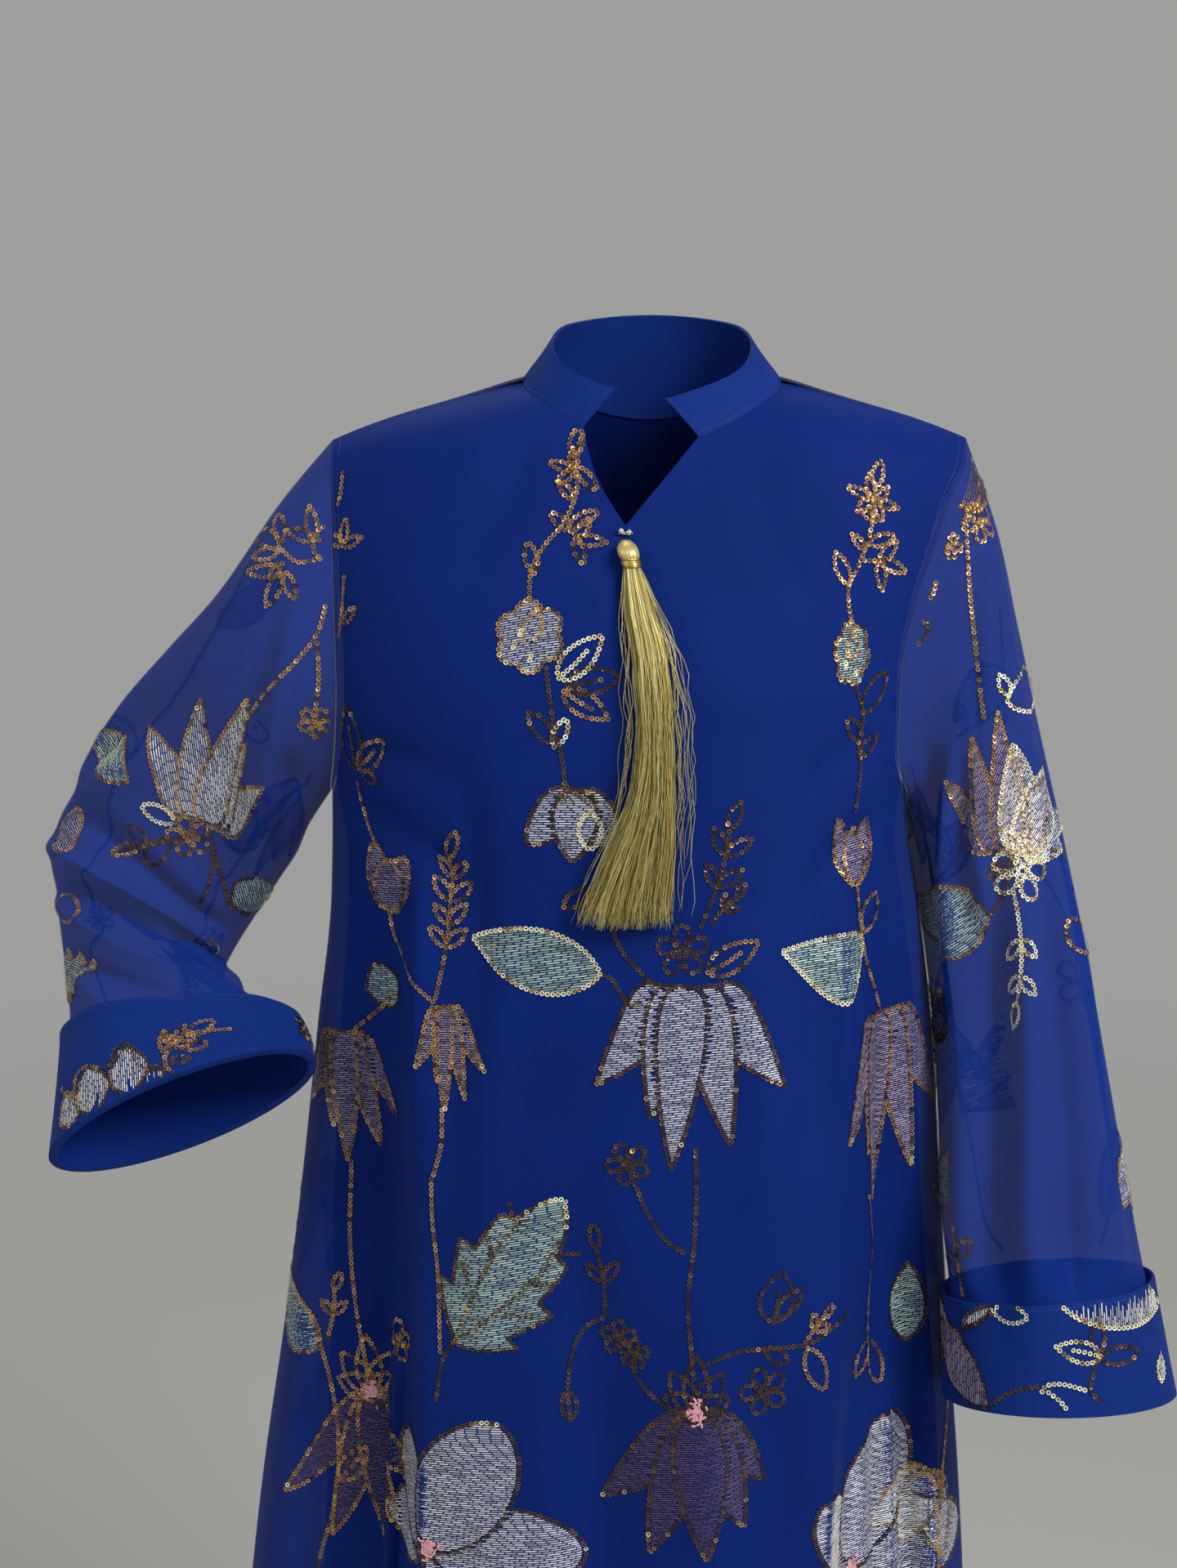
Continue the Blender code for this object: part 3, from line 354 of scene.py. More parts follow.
# Creases of the sleeves: share of the way round and ring, twice, then metres
RIGHT_SLEEVE_CREASES = table(
    Crease,
    (0.05, 0.6, 0.13, 3.2, 0.008, 0.013, 0.005), (0.15, 0.5, 0.24, 3.6, 0.01, 0.012, -0.0062),
    (0.24, 0.6, 0.34, 3.8, 0.008, 0.011, 0.0055), (0.33, 0.5, 0.4, 3.4, -0.006, 0.01, -0.0068),
    (0.44, 0.45, 0.3, 2.0, -0.01, 0.01, -0.005), (0.09, 3.3, 0.04, 5.2, 0.004, 0.013, -0.0085),
    (0.16, 3.6, 0.1, 5.4, 0.004, 0.011, 0.006), (-0.05, 5.25, 0.46, 4.55, -0.024, 0.01, -0.012),
    (-0.04, 5.95, 0.47, 5.15, -0.024, 0.01, 0.01), (-0.03, 6.6, 0.48, 5.75, -0.02, 0.01, -0.011),
    (0.0, 6.6, 0.41, 9.2, 0.006, 0.011, 0.0095), (0.02, 7.55, 0.36, 9.7, 0.006, 0.01, -0.009),
    (0.28, 6.1, 0.5, 7.5, 0.006, 0.01, 0.008), (0.26, 6.8, 0.47, 8.4, 0.006, 0.009, -0.0085),
    (0.07, 8.1, 0.2, 9.8, 0.004, 0.01, 0.005), (0.53, 4.3, 0.96, 3.9, -0.022, 0.01, -0.008),
    (0.53, 5.0, 0.98, 4.9, -0.026, 0.01, 0.007), (0.52, 5.6, 0.98, 5.9, -0.026, 0.01, -0.0083),
    (0.54, 6.3, 0.94, 7.1, -0.018, 0.011, 0.0064), (0.66, 0.6, 0.8, 3.3, 0.01, 0.013, -0.0054),
    (0.84, 0.8, 0.74, 3.0, 0.008, 0.012, 0.0048), (0.6, 7.0, 0.66, 9.1, 0.004, 0.012, -0.0054),
)
LEFT_SLEEVE_CREASES = table(
    Crease,
    (0.16, 0.3, 0.3, 3.2, 0.008, 0.011, -0.006), (0.24, 0.4, 0.35, 3.4, 0.006, 0.01, 0.0055),
    (0.34, 0.4, 0.42, 3.0, -0.006, 0.01, -0.007), (0.27, 3.2, 0.345, 8.9, 0.004, 0.012, -0.012),
    (0.21, 3.0, 0.285, 8.9, 0.004, 0.013, 0.011), (0.15, 3.4, 0.235, 8.9, -0.003, 0.009, -0.009),
    (0.09, 3.6, 0.135, 8.9, 0.004, 0.013, 0.008), (0.04, 2.2, 0.05, 8.4, 0.004, 0.012, -0.006),
    (0.38, 2.6, 0.41, 8.9, -0.004, 0.012, 0.009), (0.42, 1.6, 0.435, 5.6, 0.003, 0.008, -0.006),
    (0.22, 0.5, 0.3, 4.6, 0.004, 0.008, 0.005), (0.31, 0.6, 0.37, 4.2, 0.003, 0.008, 0.005),
    (0.265, 0.5, 0.335, 4.4, 0.003, 0.007, -0.0055), (0.1, 0.6, 0.11, 3.6, 0.006, 0.012, 0.005),
    (0.445, 6.9, 0.43, 9.0, 0.0, 0.006, 0.0046), (0.56, 1.0, 0.6, 7.6, 0.01, 0.013, -0.0074),
    (0.68, 0.8, 0.7, 8.0, -0.012, 0.014, 0.0077), (0.8, 1.2, 0.82, 7.4, 0.012, 0.014, -0.0077),
    (0.9, 2.4, 0.93, 8.1, -0.008, 0.013, 0.0064),
)


def smoothstep(value: np.ndarray) -> np.ndarray:
    """Ease from 0 to 1."""
    share = np.clip(value, 0.0, 1.0)
    return share * share * (3.0 - 2.0 * share)


def unit(vectors: np.ndarray) -> np.ndarray:
    """Vectors scaled to length 1."""
    lengths = np.linalg.norm(vectors, axis=-1, keepdims=True)
    return vectors / np.maximum(lengths, TINY)


def full_turn(count: int) -> np.ndarray:
    """Evenly spaced angles of one turn, without its end."""
    return np.linspace(0.0, 2.0 * math.pi, count, endpoint=False)


def on_circle(turns: np.ndarray) -> np.ndarray:
    """Points of the unit circle at some angles."""
    return np.stack([np.cos(turns), np.sin(turns)], axis=-1)


def run_along(points: np.ndarray) -> np.ndarray:
    """Distance from the first point, or row of points, to each one."""
    steps = np.linalg.norm(np.diff(points, axis=0), axis=-1).reshape(len(points) - 1, -1)
    return np.concatenate([[0.0], np.cumsum(steps.mean(axis=1))])


def points_at(places: np.ndarray, run: np.ndarray, line: np.ndarray) -> np.ndarray:
    """Points of a line at some places of its run."""
    return np.stack([np.interp(places, run, column) for column in line.T], axis=-1)


def table_curve(rows: Sequence[NamedTuple], column: str, at: np.ndarray) -> np.ndarray:
    """Read one column of a table as a smooth curve that never overshoots its rows.

    Args:
        rows: The table, whose first column rises.
        column: Name of the column to read.
        at: Values of the first column to read it at.

    Returns:
        The column's value at each place.
    """
    keys = np.array([row[0] for row in rows])
    values = np.array([getattr(row, column) for row in rows])
    steps = np.diff(keys)
    slopes = np.diff(values) / steps
    tangents = np.empty(len(keys))
    tangents[0], tangents[-1] = slopes[0], slopes[-1]
    same_way = slopes[:-1] * slopes[1:] > 0.0
    weight_a = 2.0 * steps[1:] + steps[:-1]
    weight_b = steps[1:] + 2.0 * steps[:-1]
    safe_a = np.where(same_way, slopes[:-1], 1.0)
    safe_b = np.where(same_way, slopes[1:], 1.0)
    harmonic = (weight_a + weight_b) / (weight_a / safe_a + weight_b / safe_b)
    tangents[1:-1] = np.where(same_way, harmonic, 0.0)
    at = np.clip(np.asarray(at, dtype=float), keys[0], keys[-1])
    span = np.clip(np.searchsorted(keys, at, side="right") - 1, 0, len(steps) - 1)
    t = (at - keys[span]) / steps[span]
    rest = 1.0 - t
    leaving = tangents[span] * steps[span] * t * rest ** 2
    arriving = tangents[span + 1] * steps[span] * t ** 2 * rest
    return (values[span] * (1.0 + 2.0 * t) * rest ** 2 + leaving
            + values[span + 1] * (1.0 + 2.0 * rest) * t ** 2 - arriving)


def curve_through(points: np.ndarray, positions: np.ndarray) -> np.ndarray:
    """Smooth curve through a list of points or rings.

    Args:
        points: Array whose first axis runs along the curve.
        positions: Fractional positions along that axis.

    Returns:
        One point or ring for each position.
    """
    last = len(points) - 1
    index = np.minimum(np.asarray(positions).astype(int), last - 1)
    shape = (-1,) + (1,) * (points.ndim - 1)
    t = (positions - index).reshape(shape)
    before, here = points[np.maximum(index - 1, 0)], points[index]
    after, beyond = points[index + 1], points[np.minimum(index + 2, last)]
    return 0.5 * (2.0 * here + (after - before) * t
                  + (2.0 * before - 5.0 * here + 4.0 * after - beyond) * t ** 2
                  + (3.0 * here - before - 3.0 * after + beyond) * t ** 3)


def relief(creases: Sequence[Crease], across: np.ndarray, down: np.ndarray,
           scale: tuple[float, float] = (1.0, 1.0)) -> np.ndarray:
    """Height of a cloth's troughs and ridges.

    Args:
        creases: The creases.
        across: Places across the cloth, in the creases' units.
        down: Places down the cloth, in the creases' units.
        scale: Metres in one unit across and in one unit down.

    Returns:
        Metres outward at each place.
    """
    total = np.zeros(np.broadcast(across, down).shape)
    for crease in creases:
        run = (crease.end_across - crease.across) * scale[0]
        fall = (crease.end_down - crease.down) * scale[1]
        length = math.hypot(run, fall)
        from_x = (across - crease.across) * scale[0]
        from_y = (down - crease.down) * scale[1]
        along = (from_x * run + from_y * fall) / length ** 2
        off = (from_x * fall - from_y * run) / length
        off = off - crease.bow * np.sin(math.pi * np.clip(along, 0.0, 1.0))
        ends = smoothstep(along / CREASE_END) * smoothstep((1.0 - along) / CREASE_END)
        total = total + crease.reach * ends * np.exp(-(off / crease.width) ** 2)
    return total


@dataclass(frozen=True)
class BodyForm:
    """The worn shape of the body cloth: rings, sloping shoulders, long folds and creases."""

    hem_drop: float = 1.380
    underarm_drop: float = 0.272
    ring_power: float = 2.2
    neck_half_width: float = 0.083
    neck_front_depth: float = 0.063
    neck_back_depth: float = 0.066
    shoulder_slope: float = 0.27
    shoulder_rounding: float = 0.015
    shoulder_droop: float = 1.5
    shoulder_droop_start: float = 0.150
    nape_rise: float = 0.014
    nape_half_width: float = 0.075
    nape_reach: float = 0.050
    soft_fold_rise: float = 0.75
    fold_half_width: float = 0.0075
    crease_fade_degrees: float = 7.0
    normal_turn: float = 0.2
    normal_step: float = 0.0008
    least_drop: float = 1e-5
    neck_search_drop: float = 0.10
    neck_search_steps: int = 401

    def half_width(self, drop: np.ndarray, x_sign: np.ndarray,
                   rows: Sequence[NamedTuple] = BODY_LEVELS) -> np.ndarray:
        """Half width of the body ring, or of another table's, on one side of the middle."""
        return np.where(x_sign < 0.0, table_curve(rows, "right", drop),
                        table_curve(rows, "left", drop))

    def fold_edges(self, drop: np.ndarray, right: np.ndarray) -> tuple[np.ndarray, np.ndarray]:
        """Place of the long fold's edge and the fall beside it, on each point's own side.

        Args:
            drop: Metres below the neck point.
            right: Whether each point lies on the wearer's right.

        Returns:
            Metres from the middle to the edge, and metres that the cloth falls back.
        """
        edge = np.where(right, table_curve(FRONT_FOLD_LEVELS, "right_x", drop),
                        table_curve(FRONT_FOLD_LEVELS, "left_x", drop))
        fall = np.where(right, table_curve(FRONT_FOLD_LEVELS, "right_depth", drop),
                        table_curve(FRONT_FOLD_LEVELS, "left_depth", drop))
        return edge, fall

    def shoulder_fall(self, x: np.ndarray, drop: np.ndarray) -> np.ndarray:
        """How far the sloping shoulder lowers a point; it fades out at the underarm.

        Args:
            x: Metres to the wearer's left.
            drop: Metres below the neck point.

        Returns:
            Metres downward.
        """
        beyond = np.abs(x) - self.neck_half_width
        rounded = 0.5 * (beyond + np.sqrt(beyond * beyond + self.shoulder_rounding ** 2))
        droop = self.shoulder_droop * np.maximum(np.abs(x) - self.shoulder_droop_start, 0.0) ** 2
        return (self.shoulder_slope * rounded + droop) * (1.0 - smoothstep(drop / self.underarm_drop))

    def long_fold(self, x: np.ndarray, drop: np.ndarray, width: np.ndarray) -> np.ndarray:
        """How far the cloth beside the smooth front falls back behind the fold edges.

        Args:
            x: Metres to the wearer's left.
            drop: Metres below the neck point.
            width: Half width of the body there.

        Returns:
            Metres inward.
        """
        edge, fall = self.fold_edges(drop, x < 0.0)
        step = smoothstep((np.abs(x) - edge + self.fold_half_width) / (2.0 * self.fold_half_width))
        halfway = 0.5 * (edge + width)
        fade = 1.0 - smoothstep((np.abs(x) - halfway) / (width - halfway))
        return fall * step * fade

    def ripple(self, folds: Sequence[SoftFold], angle: np.ndarray, drop: np.ndarray) -> np.ndarray:
        """Sum of the soft ridges and troughs that grow to the hem.

        Args:
            folds: The panel's soft folds.
            angle: Degrees across the panel, from the wearer's right to the left.
            drop: Metres below the neck point.

        Returns:
            Metres outward.
        """
        total = np.zeros_like(angle)
        for fold in folds:
            growth = smoothstep((drop - fold.start) / self.soft_fold_rise)
            total = total + fold.reach * growth * np.exp(-((angle - fold.angle) / fold.spread) ** 2)
        return total

    def reach(self, drop: np.ndarray, share: np.ndarray, face: Face) -> np.ndarray:
        """Distance of the front or back from the shoulder line, at a share of the half width."""
        depth = table_curve(BODY_LEVELS, face.name.lower(), drop)
        return depth * (1.0 - np.abs(share) ** self.ring_power) ** (1.0 / self.ring_power)

    def smooth_point(self, angle: np.ndarray, drop: np.ndarray, face: Face) -> np.ndarray:
        """Point of the cloth without its creases.

        Args:
            angle: Degrees, from -90 at the wearer's right side seam to 90 at the left one.
            drop: Metres below the neck point.
            face: Front or back.

        Returns:
            Points, with x, y and z on the last axis.
        """
        angle, drop = np.broadcast_arrays(np.asarray(angle, float), np.asarray(drop, float))
        across = np.sin(np.radians(angle))
        width = self.half_width(drop, across)
        x = width * across
        out = self.reach(drop, across, face)
        if face is Face.FRONT:
            out = out - self.long_fold(x, drop, width)
            ripple = self.ripple(FRONT_SOFT_FOLDS, angle, drop)
        else:
            ripple = self.ripple(BACK_SOFT_FOLDS, angle, drop)
        x = x + ripple * across
        y = face.value * (out + ripple * np.cos(np.radians(angle)))
        z = -drop - self.shoulder_fall(x, drop)
        if face is Face.BACK:
            z = z + self.nape_rise * np.exp(-(x / self.nape_half_width) ** 2 - drop / self.nape_reach)
        return np.stack([x, y, z], axis=-1)

    def normal(self, angle: np.ndarray, drop: np.ndarray, face: Face) -> np.ndarray:
        """Unit normals that point out of the body.

        Args:
            angle: Degrees across the panel, from the wearer's right to the left.
            drop: Metres below the neck point.
            face: Front or back.

        Returns:
            A unit normal for each place.
        """
        angle, drop = np.broadcast_arrays(np.asarray(angle, float), np.asarray(drop, float))
        turn, step = self.normal_turn, self.normal_step
        beside = (self.smooth_point(np.minimum(angle + turn, 90.0), drop, face)
                  - self.smooth_point(np.maximum(angle - turn, -90.0), drop, face))
        below = (self.smooth_point(angle, np.minimum(drop + step, self.hem_drop), face)
                 - self.smooth_point(angle, np.maximum(drop - step, self.least_drop), face))
        return unit(np.cross(beside, below)) * face.value

    def point(self, angle: np.ndarray, drop: np.ndarray, face: Face) -> np.ndarray:
        """Point of the creased cloth; the creases fade out at the side seams and armholes.

        Args:
            angle: Degrees across the panel, from the wearer's right to the left.
            drop: Metres below the neck point.
            face: Front or back.

        Returns:
            Points, with x, y and z on the last axis.
        """
        smooth = self.smooth_point(angle, drop, face)
        creases = FRONT_CREASES if face is Face.FRONT else BACK_CREASES
        right = self.seam_angle(drop, Side.RIGHT, face)
        left = self.seam_angle(drop, Side.LEFT, face)
        inner = np.minimum(angle - right, left - angle)
        fade = smoothstep(inner / self.crease_fade_degrees)
        height = relief(creases, smooth[..., 0], np.asarray(drop)) * fade
        return smooth + self.normal(angle, drop, face) * height[..., None]

    def angle_at(self, x: np.ndarray, drop: np.ndarray) -> np.ndarray:
        """Angle across the panel of a point at this x."""
        share = np.clip(x / self.half_width(drop, x), -1.0, 1.0)
        return np.degrees(np.arcsin(share))

    def seam_angle(self, drop: np.ndarray, side: Side, face: Face) -> np.ndarray:
        """Angle of the panel's side edge: the armhole seam, then the side seam.

        Args:
            drop: Metres below the neck point.
            side: The wearer's right or left.
            face: Front or back.

        Returns:
            Degrees across the panel.
        """
        column = side.name.lower() + "_" + face.name.lower()
        x = table_curve(ARMHOLE_LEVELS, column, drop) * side.value
        at_seam = self.angle_at(x, drop)
        return np.where(np.asarray(drop) >= self.underarm_drop, 90.0 * side.value, at_seam)

    def neck_drop(self, x: float, face: Face) -> float:
        """Drop at which the panel meets the oval of the neck seam.

        Args:
            x: Metres to the wearer's left.
            face: Front or back.

        Returns:
            Metres below the neck point.
        """
        front_back = self.neck_front_depth if face is Face.FRONT else self.neck_back_depth
        plan = front_back * math.sqrt(max(0.0, 1.0 - (x / self.neck_half_width) ** 2))
        drops = np.linspace(0.0, self.neck_search_drop, self.neck_search_steps)
        share = x / self.half_width(drops, np.full_like(drops, x))
        return float(np.interp(plan, self.reach(drops, share, face), drops))


FORM = BodyForm()


@dataclass(frozen=True)
class NeckSlit:
    """The front slit, whose two top corners lie on the neck seam."""

    right_x: float = -0.044
    left_x: float = 0.028
    foot_x: float = -0.018
    foot_drop: float = 0.085
    right_bow: float = 0.005

    def right_edge(self, share: float) -> tuple[float, float]:
        """x and drop along the wearer's right edge, from the neck seam to the foot.

        Args:
            share: Share of the way along the edge.

        Returns:
            Metres to the wearer's left, and drop.
        """
        top = FORM.neck_drop(self.right_x, Face.FRONT)
        bow = -self.right_bow * math.sin(math.pi * share)
        return (self.right_x + (self.foot_x - self.right_x) * share + bow,
                top + (self.foot_drop - top) * share)

    def left_edge(self, share: float) -> tuple[float, float]:
        """x and drop along the wearer's left edge, from the foot to the neck seam."""
        top = FORM.neck_drop(self.left_x, Face.FRONT)
        return (self.foot_x + (self.left_x - self.foot_x) * share,
                self.foot_drop + (top - self.foot_drop) * share)


SLIT = NeckSlit()


def spread(start: float, end: float, count: int) -> list[float]:
    """Evenly spaced values without the first one."""
    return [start + (end - start) * step / count for step in range(1, count + 1)]


def neck_spread(start: float, end: float, count: int) -> list[float]:
    """x values along the oval of the neck, evenly turned, without the first one."""
    half = FORM.neck_half_width
    turns = spread(math.asin(start / half), math.asin(end / half), count)
    return [half * math.sin(turn) for turn in turns]


def grid_normals(grid: np.ndarray, closed: bool = False) -> np.ndarray:
    """Unit normals of a grid: its rows' direction crossed with its columns'.

    Args:
        grid: Rows of points.
        closed: Whether the last column joins the first.

    Returns:
        A unit normal for each point.
    """
    if closed:
        around = np.roll(grid, -1, axis=1) - np.roll(grid, 1, axis=1)
    else:
        around = np.gradient(grid, axis=1)
    return unit(np.cross(around, np.gradient(grid, axis=0)))


def link_mesh(name: str, points: np.ndarray, faces: Sequence, finishes: Sequence["Finish"],
              slots: np.ndarray | None = None, sharp: bool = True) -> bpy.types.Object:
    """Make a mesh piece that rides on the body.

    Args:
        name: Name of the piece.
        points: Corners, one row each.
        faces: Corner numbers of each face.
        finishes: The piece's finishes, in the order of their slots.
        slots: Number of the finish of each face, or None for the first one.
        sharp: Keep edges crisp where the faces turn sharply.

    Returns:
        The new object.
    """
    mesh = bpy.data.meshes.new(name)
    listed = faces.tolist() if isinstance(faces, np.ndarray) else [list(f) for f in faces]
    mesh.from_pydata(points.tolist(), [], listed)
    for finish in finishes:
        mesh.materials.append(finish.material())
    if slots is not None:
        mesh.polygons.foreach_set("material_index", np.asarray(slots, dtype=np.int32))
    mesh.shade_smooth()
    if sharp:
        mesh.set_sharp_from_angle(angle=SHARP_ANGLE)
    mesh.update()
    piece = bpy.data.objects.new(name, mesh)
    bpy.context.scene.collection.objects.link(piece)
    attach(piece, BODY)
    return piece


def shell_faces(rows: int, columns: int, closed: bool) -> np.ndarray:
    """Faces of a closed wall between an outer and an inner grid of the same size.

    Args:
        rows: Rows of each grid.
        columns: Columns of each grid.
        closed: Whether the last column joins the first.

    Returns:
        Four corner numbers for each face; the inner grid's follow the outer grid's.
    """
    count = rows * columns
    numbers = np.arange(count).reshape(rows, columns)
    if closed:
        numbers = np.concatenate([numbers, numbers[:, :1]], axis=1)
    a, b = numbers[:-1, :-1], numbers[:-1, 1:]
    c, d = numbers[1:, 1:], numbers[1:, :-1]
    outer = np.stack([a, b, c, d], axis=-1).reshape(-1, 4)
    inner = np.stack([d, c, b, a], axis=-1).reshape(-1, 4) + count
    top, low = numbers[0], numbers[-1]
    rims = [np.stack([top[:-1] + count, top[1:] + count, top[1:], top[:-1]], axis=-1),
            np.stack([low[:-1], low[1:], low[1:] + count, low[:-1] + count], axis=-1)]
    if not closed:
        left, right = numbers[:, 0], numbers[:, -1]
        rims.append(np.stack([left[1:] + count, left[:-1] + count, left[:-1], left[1:]], axis=-1))
        rims.append(np.stack([right[:-1] + count, right[1:] + count, right[1:], right[:-1]], axis=-1))
    return np.concatenate([outer, inner] + rims)


def tube_faces(rows: int, columns: int, first: int = 0) -> list[list[int]]:
    """Faces of a tube with closed ends.

    Args:
        rows: Rings of points along the tube.
        columns: Points of each ring.
        first: Number of the tube's first point.

    Returns:
        Corner numbers of each face.
    """
    numbers = first + np.arange(rows * columns).reshape(rows, columns)
    beside = np.roll(numbers, -1, axis=1)
    quads = np.stack([numbers[:-1], numbers[1:], beside[1:], beside[:-1]], axis=-1)
    return quads.reshape(-1, 4).tolist() + [numbers[0].tolist(), numbers[-1][::-1].tolist()]


def shell(name: str, outer: np.ndarray, inner: np.ndarray, finish: "Finish", closed: bool,
          flip: bool) -> bpy.types.Object:
    """A thin closed wall between two grids.

    Args:
        name: Name of the piece.
        outer: Outer grid of points.
        inner: Inner grid of points.
        finish: The cloth's finish.
        closed: Whether the wall is a tube.
        flip: Turn the faces over, where the grid runs the other way round.

    Returns:
        The new object.
    """
    faces = shell_faces(outer.shape[0], outer.shape[1], closed)
    if flip:
        faces = faces[:, ::-1]
    points = np.concatenate([outer.reshape(-1, 3), inner.reshape(-1, 3)])
    return link_mesh(name, points, faces, [finish])


class Ramp(NamedTuple):
    """A stop of a colour ramp: its place, and how far it brightens the base colour."""

    place: float
    gain: float


def new_material(name: str) -> tuple[bpy.types.Material, bpy.types.NodeTree, bpy.types.Node]:
    """A material with its node tree and its Principled shader."""
    material = bpy.data.materials.new(name)
    material.use_nodes = True
    return material, material.node_tree, material.node_tree.nodes["Principled BSDF"]


def add_node(tree: bpy.types.NodeTree, kind: str, values: dict[str | int, object] | None = None,
             sources: dict[str | int, bpy.types.NodeSocket] | None = None) -> bpy.types.Node:
    """Add a shader node.

    Args:
        tree: The material's node tree.
        kind: Type of the node.
        values: Fixed values of inputs, by name or number.
        sources: Outputs that feed inputs, by the input's name or number.

    Returns:
        The new node.
    """
    node = tree.nodes.new(kind)
    for key, value in (values or {}).items():
        node.inputs[key].default_value = value
    for key, source in (sources or {}).items():
        tree.links.new(source, node.inputs[key])
    return node


def set_shader(tree: bpy.types.NodeTree, shader: bpy.types.Node, color: bpy.types.NodeSocket,
               grain: bpy.types.NodeSocket | None, strength: float, values: dict[str, object]) -> None:
    """Feed a Principled shader.

    Args:
        tree: The material's node tree.
        shader: The shader.
        color: Output that gives the base colour.
        grain: Output that gives the height of the fine grain, if there is any.
        strength: Strength of the grain.
        values: Fixed values of the other inputs, by name.
    """
    tree.links.new(color, shader.inputs["Base Color"])
    if grain is not None:
        bump = add_node(tree, "ShaderNodeBump", {"Strength": strength, "Distance": GRAIN_DEPTH},
                        {"Height": grain})
        tree.links.new(bump.outputs["Normal"], shader.inputs["Normal"])
    for name, value in values.items():
        shader.inputs[name].default_value = value


def scaled(color: tuple[float, float, float], gain: float) -> tuple[float, float, float, float]:
    """A colour brightened by a gain, with full alpha."""
    return tuple(min(channel * gain, 1.0) for channel in color) + (1.0,)


class Finish:
    """A finish that makes its material once and shares it."""

    made: dict[str, bpy.types.Material] = {}

    def material(self) -> bpy.types.Material:
        """The finish's material, made on first use."""
        if self.name not in Finish.made:
            Finish.made[self.name] = self.make()
        return Finish.made[self.name]


@dataclass(frozen=True)
class ClothFinish(Finish):
    """Woven cloth: fine crossed threads, slight clouding, and a soft sheen."""

    name: str
    color: tuple[float, float, float]
    alpha: float = 1.0
    roughness: float = 0.72
    sheen: float = 0.10
    sheen_tint: tuple[float, float, float, float] = (0.20, 0.35, 0.95, 1.0)
    thread_pitch: float = 0.0005
    bump: float = 0.16
    clouding: float = 0.04
    thread_stretch: float = 0.12
    cloud_scale: float = 9.0
    cloud_detail: float = 3.0
    ramp_gain: float = 0.82
    ramp_start: float = 0.75

    def make(self) -> bpy.types.Material:
        """Build the weave and the clouding from two stretched noises and a broad one.

        Returns:
            The new material.
        """
        material, tree, shader = new_material(self.name)
        place = add_node(tree, "ShaderNodeTexCoord").outputs["Object"]
        threads, long = {}, self.thread_stretch
        for number, stretch in enumerate(((1.0, 1.0, long), (long, long, 1.0))):
            mapping = add_node(tree, "ShaderNodeMapping",
                               {"Scale": [s / self.thread_pitch for s in stretch]}, {"Vector": place})
            noise = add_node(tree, "ShaderNodeTexNoise", {"Scale": 1.0, "Detail": 1.0},
                             {"Vector": mapping.outputs["Vector"]})
            threads[number] = noise.outputs["Fac"]
        weave = add_node(tree, "ShaderNodeMath", {}, threads)
        weave.operation = "MAXIMUM"
        cloud = add_node(tree, "ShaderNodeTexNoise",
                         {"Scale": self.cloud_scale, "Detail": self.cloud_detail}, {"Vector": place})
        both = add_node(tree, "ShaderNodeMath", {}, {0: weave.outputs[0], 1: cloud.outputs["Fac"]})
        both.operation = "ADD"
        level = add_node(tree, "ShaderNodeMath", {1: self.ramp_gain}, {0: both.outputs[0]})
        level.operation = "MULTIPLY"
        ramp = add_node(tree, "ShaderNodeValToRGB", {}, {"Fac": level.outputs[0]})
        dark, light = ramp.color_ramp.elements
        dark.position, light.position = self.ramp_start, 1.0
        dark.color = scaled(self.color, 1.0 - 2.0 * self.clouding)
        light.color = scaled(self.color, 1.0 + 2.0 * self.clouding)
        set_shader(tree, shader, ramp.outputs["Color"], weave.outputs[0], self.bump,
                   {"Roughness": self.roughness, "Sheen Weight": self.sheen, "Sheen Roughness": 0.45,
                    "Sheen Tint": self.sheen_tint, "Specular IOR Level": 0.12, "Alpha": self.alpha})
        material.diffuse_color = scaled(self.color, 1.0)
        return material


@dataclass(frozen=True)
class PieceFinish(Finish):
    """Sequins, stitches or threads: each loose piece has its own brightness and gloss; the brightness is
    random tone on the silks and partly painted glints on the sequins and gold threads.
    """

    name: str
    color: tuple[float, float, float]
    metallic: float
    roughness: float
    stops: tuple[Ramp, ...]
    coat: float = 0.0
    sheen: float = 0.0
    grain: float = 0.0
    grain_scale: float = 2600.0

    def make(self) -> bpy.types.Material:
        """Build the brightness ramp that each island reads at random, and fine grain.

        Returns:
            The new material.
        """
        material, tree, shader = new_material(self.name)
        island = add_node(tree, "ShaderNodeNewGeometry").outputs["Random Per Island"]
        ramp = add_node(tree, "ShaderNodeValToRGB", {}, {"Fac": island})
        elements = ramp.color_ramp.elements
        while len(elements) < len(self.stops):
            elements.new(0.5)
        for element, stop in zip(elements, self.stops):
            element.position = stop.place
            element.color = scaled(self.color, stop.gain)
        height = None
        if self.grain > 0.0:
            place = add_node(tree, "ShaderNodeTexCoord").outputs["Object"]
            height = add_node(tree, "ShaderNodeTexNoise", {"Scale": self.grain_scale, "Detail": 1.0},
                              {"Vector": place}).outputs["Fac"]
        set_shader(tree, shader, ramp.outputs["Color"], height, self.grain,
                   {"Metallic": self.metallic, "Roughness": self.roughness, "Coat Weight": self.coat,
                    "Coat Roughness": 0.15, "Sheen Weight": self.sheen})
        material.diffuse_color = scaled(self.color, 1.0)
        return material


CHIFFON = ClothFinish("chiffon_blue", (0.0032, 0.026, 0.240), alpha=0.64)
# The sleeves' chiffon is a brighter copy of the body's, with lower alpha: the brighter colour is painted
# light, for light that shines through the unlined sleeves from behind.
SLEEVE_CHIFFON_PAINTED_BACKLIGHT = ClothFinish("chiffon_single_painted_backlight", (0.006, 0.039, 0.325), alpha=0.54)
LINING = ClothFinish("lining_blue", (0.0025, 0.019, 0.175), roughness=0.65, sheen=0.06)
DOUBLE = ClothFinish("double_blue", (0.0035, 0.026, 0.205), bump=0.22)

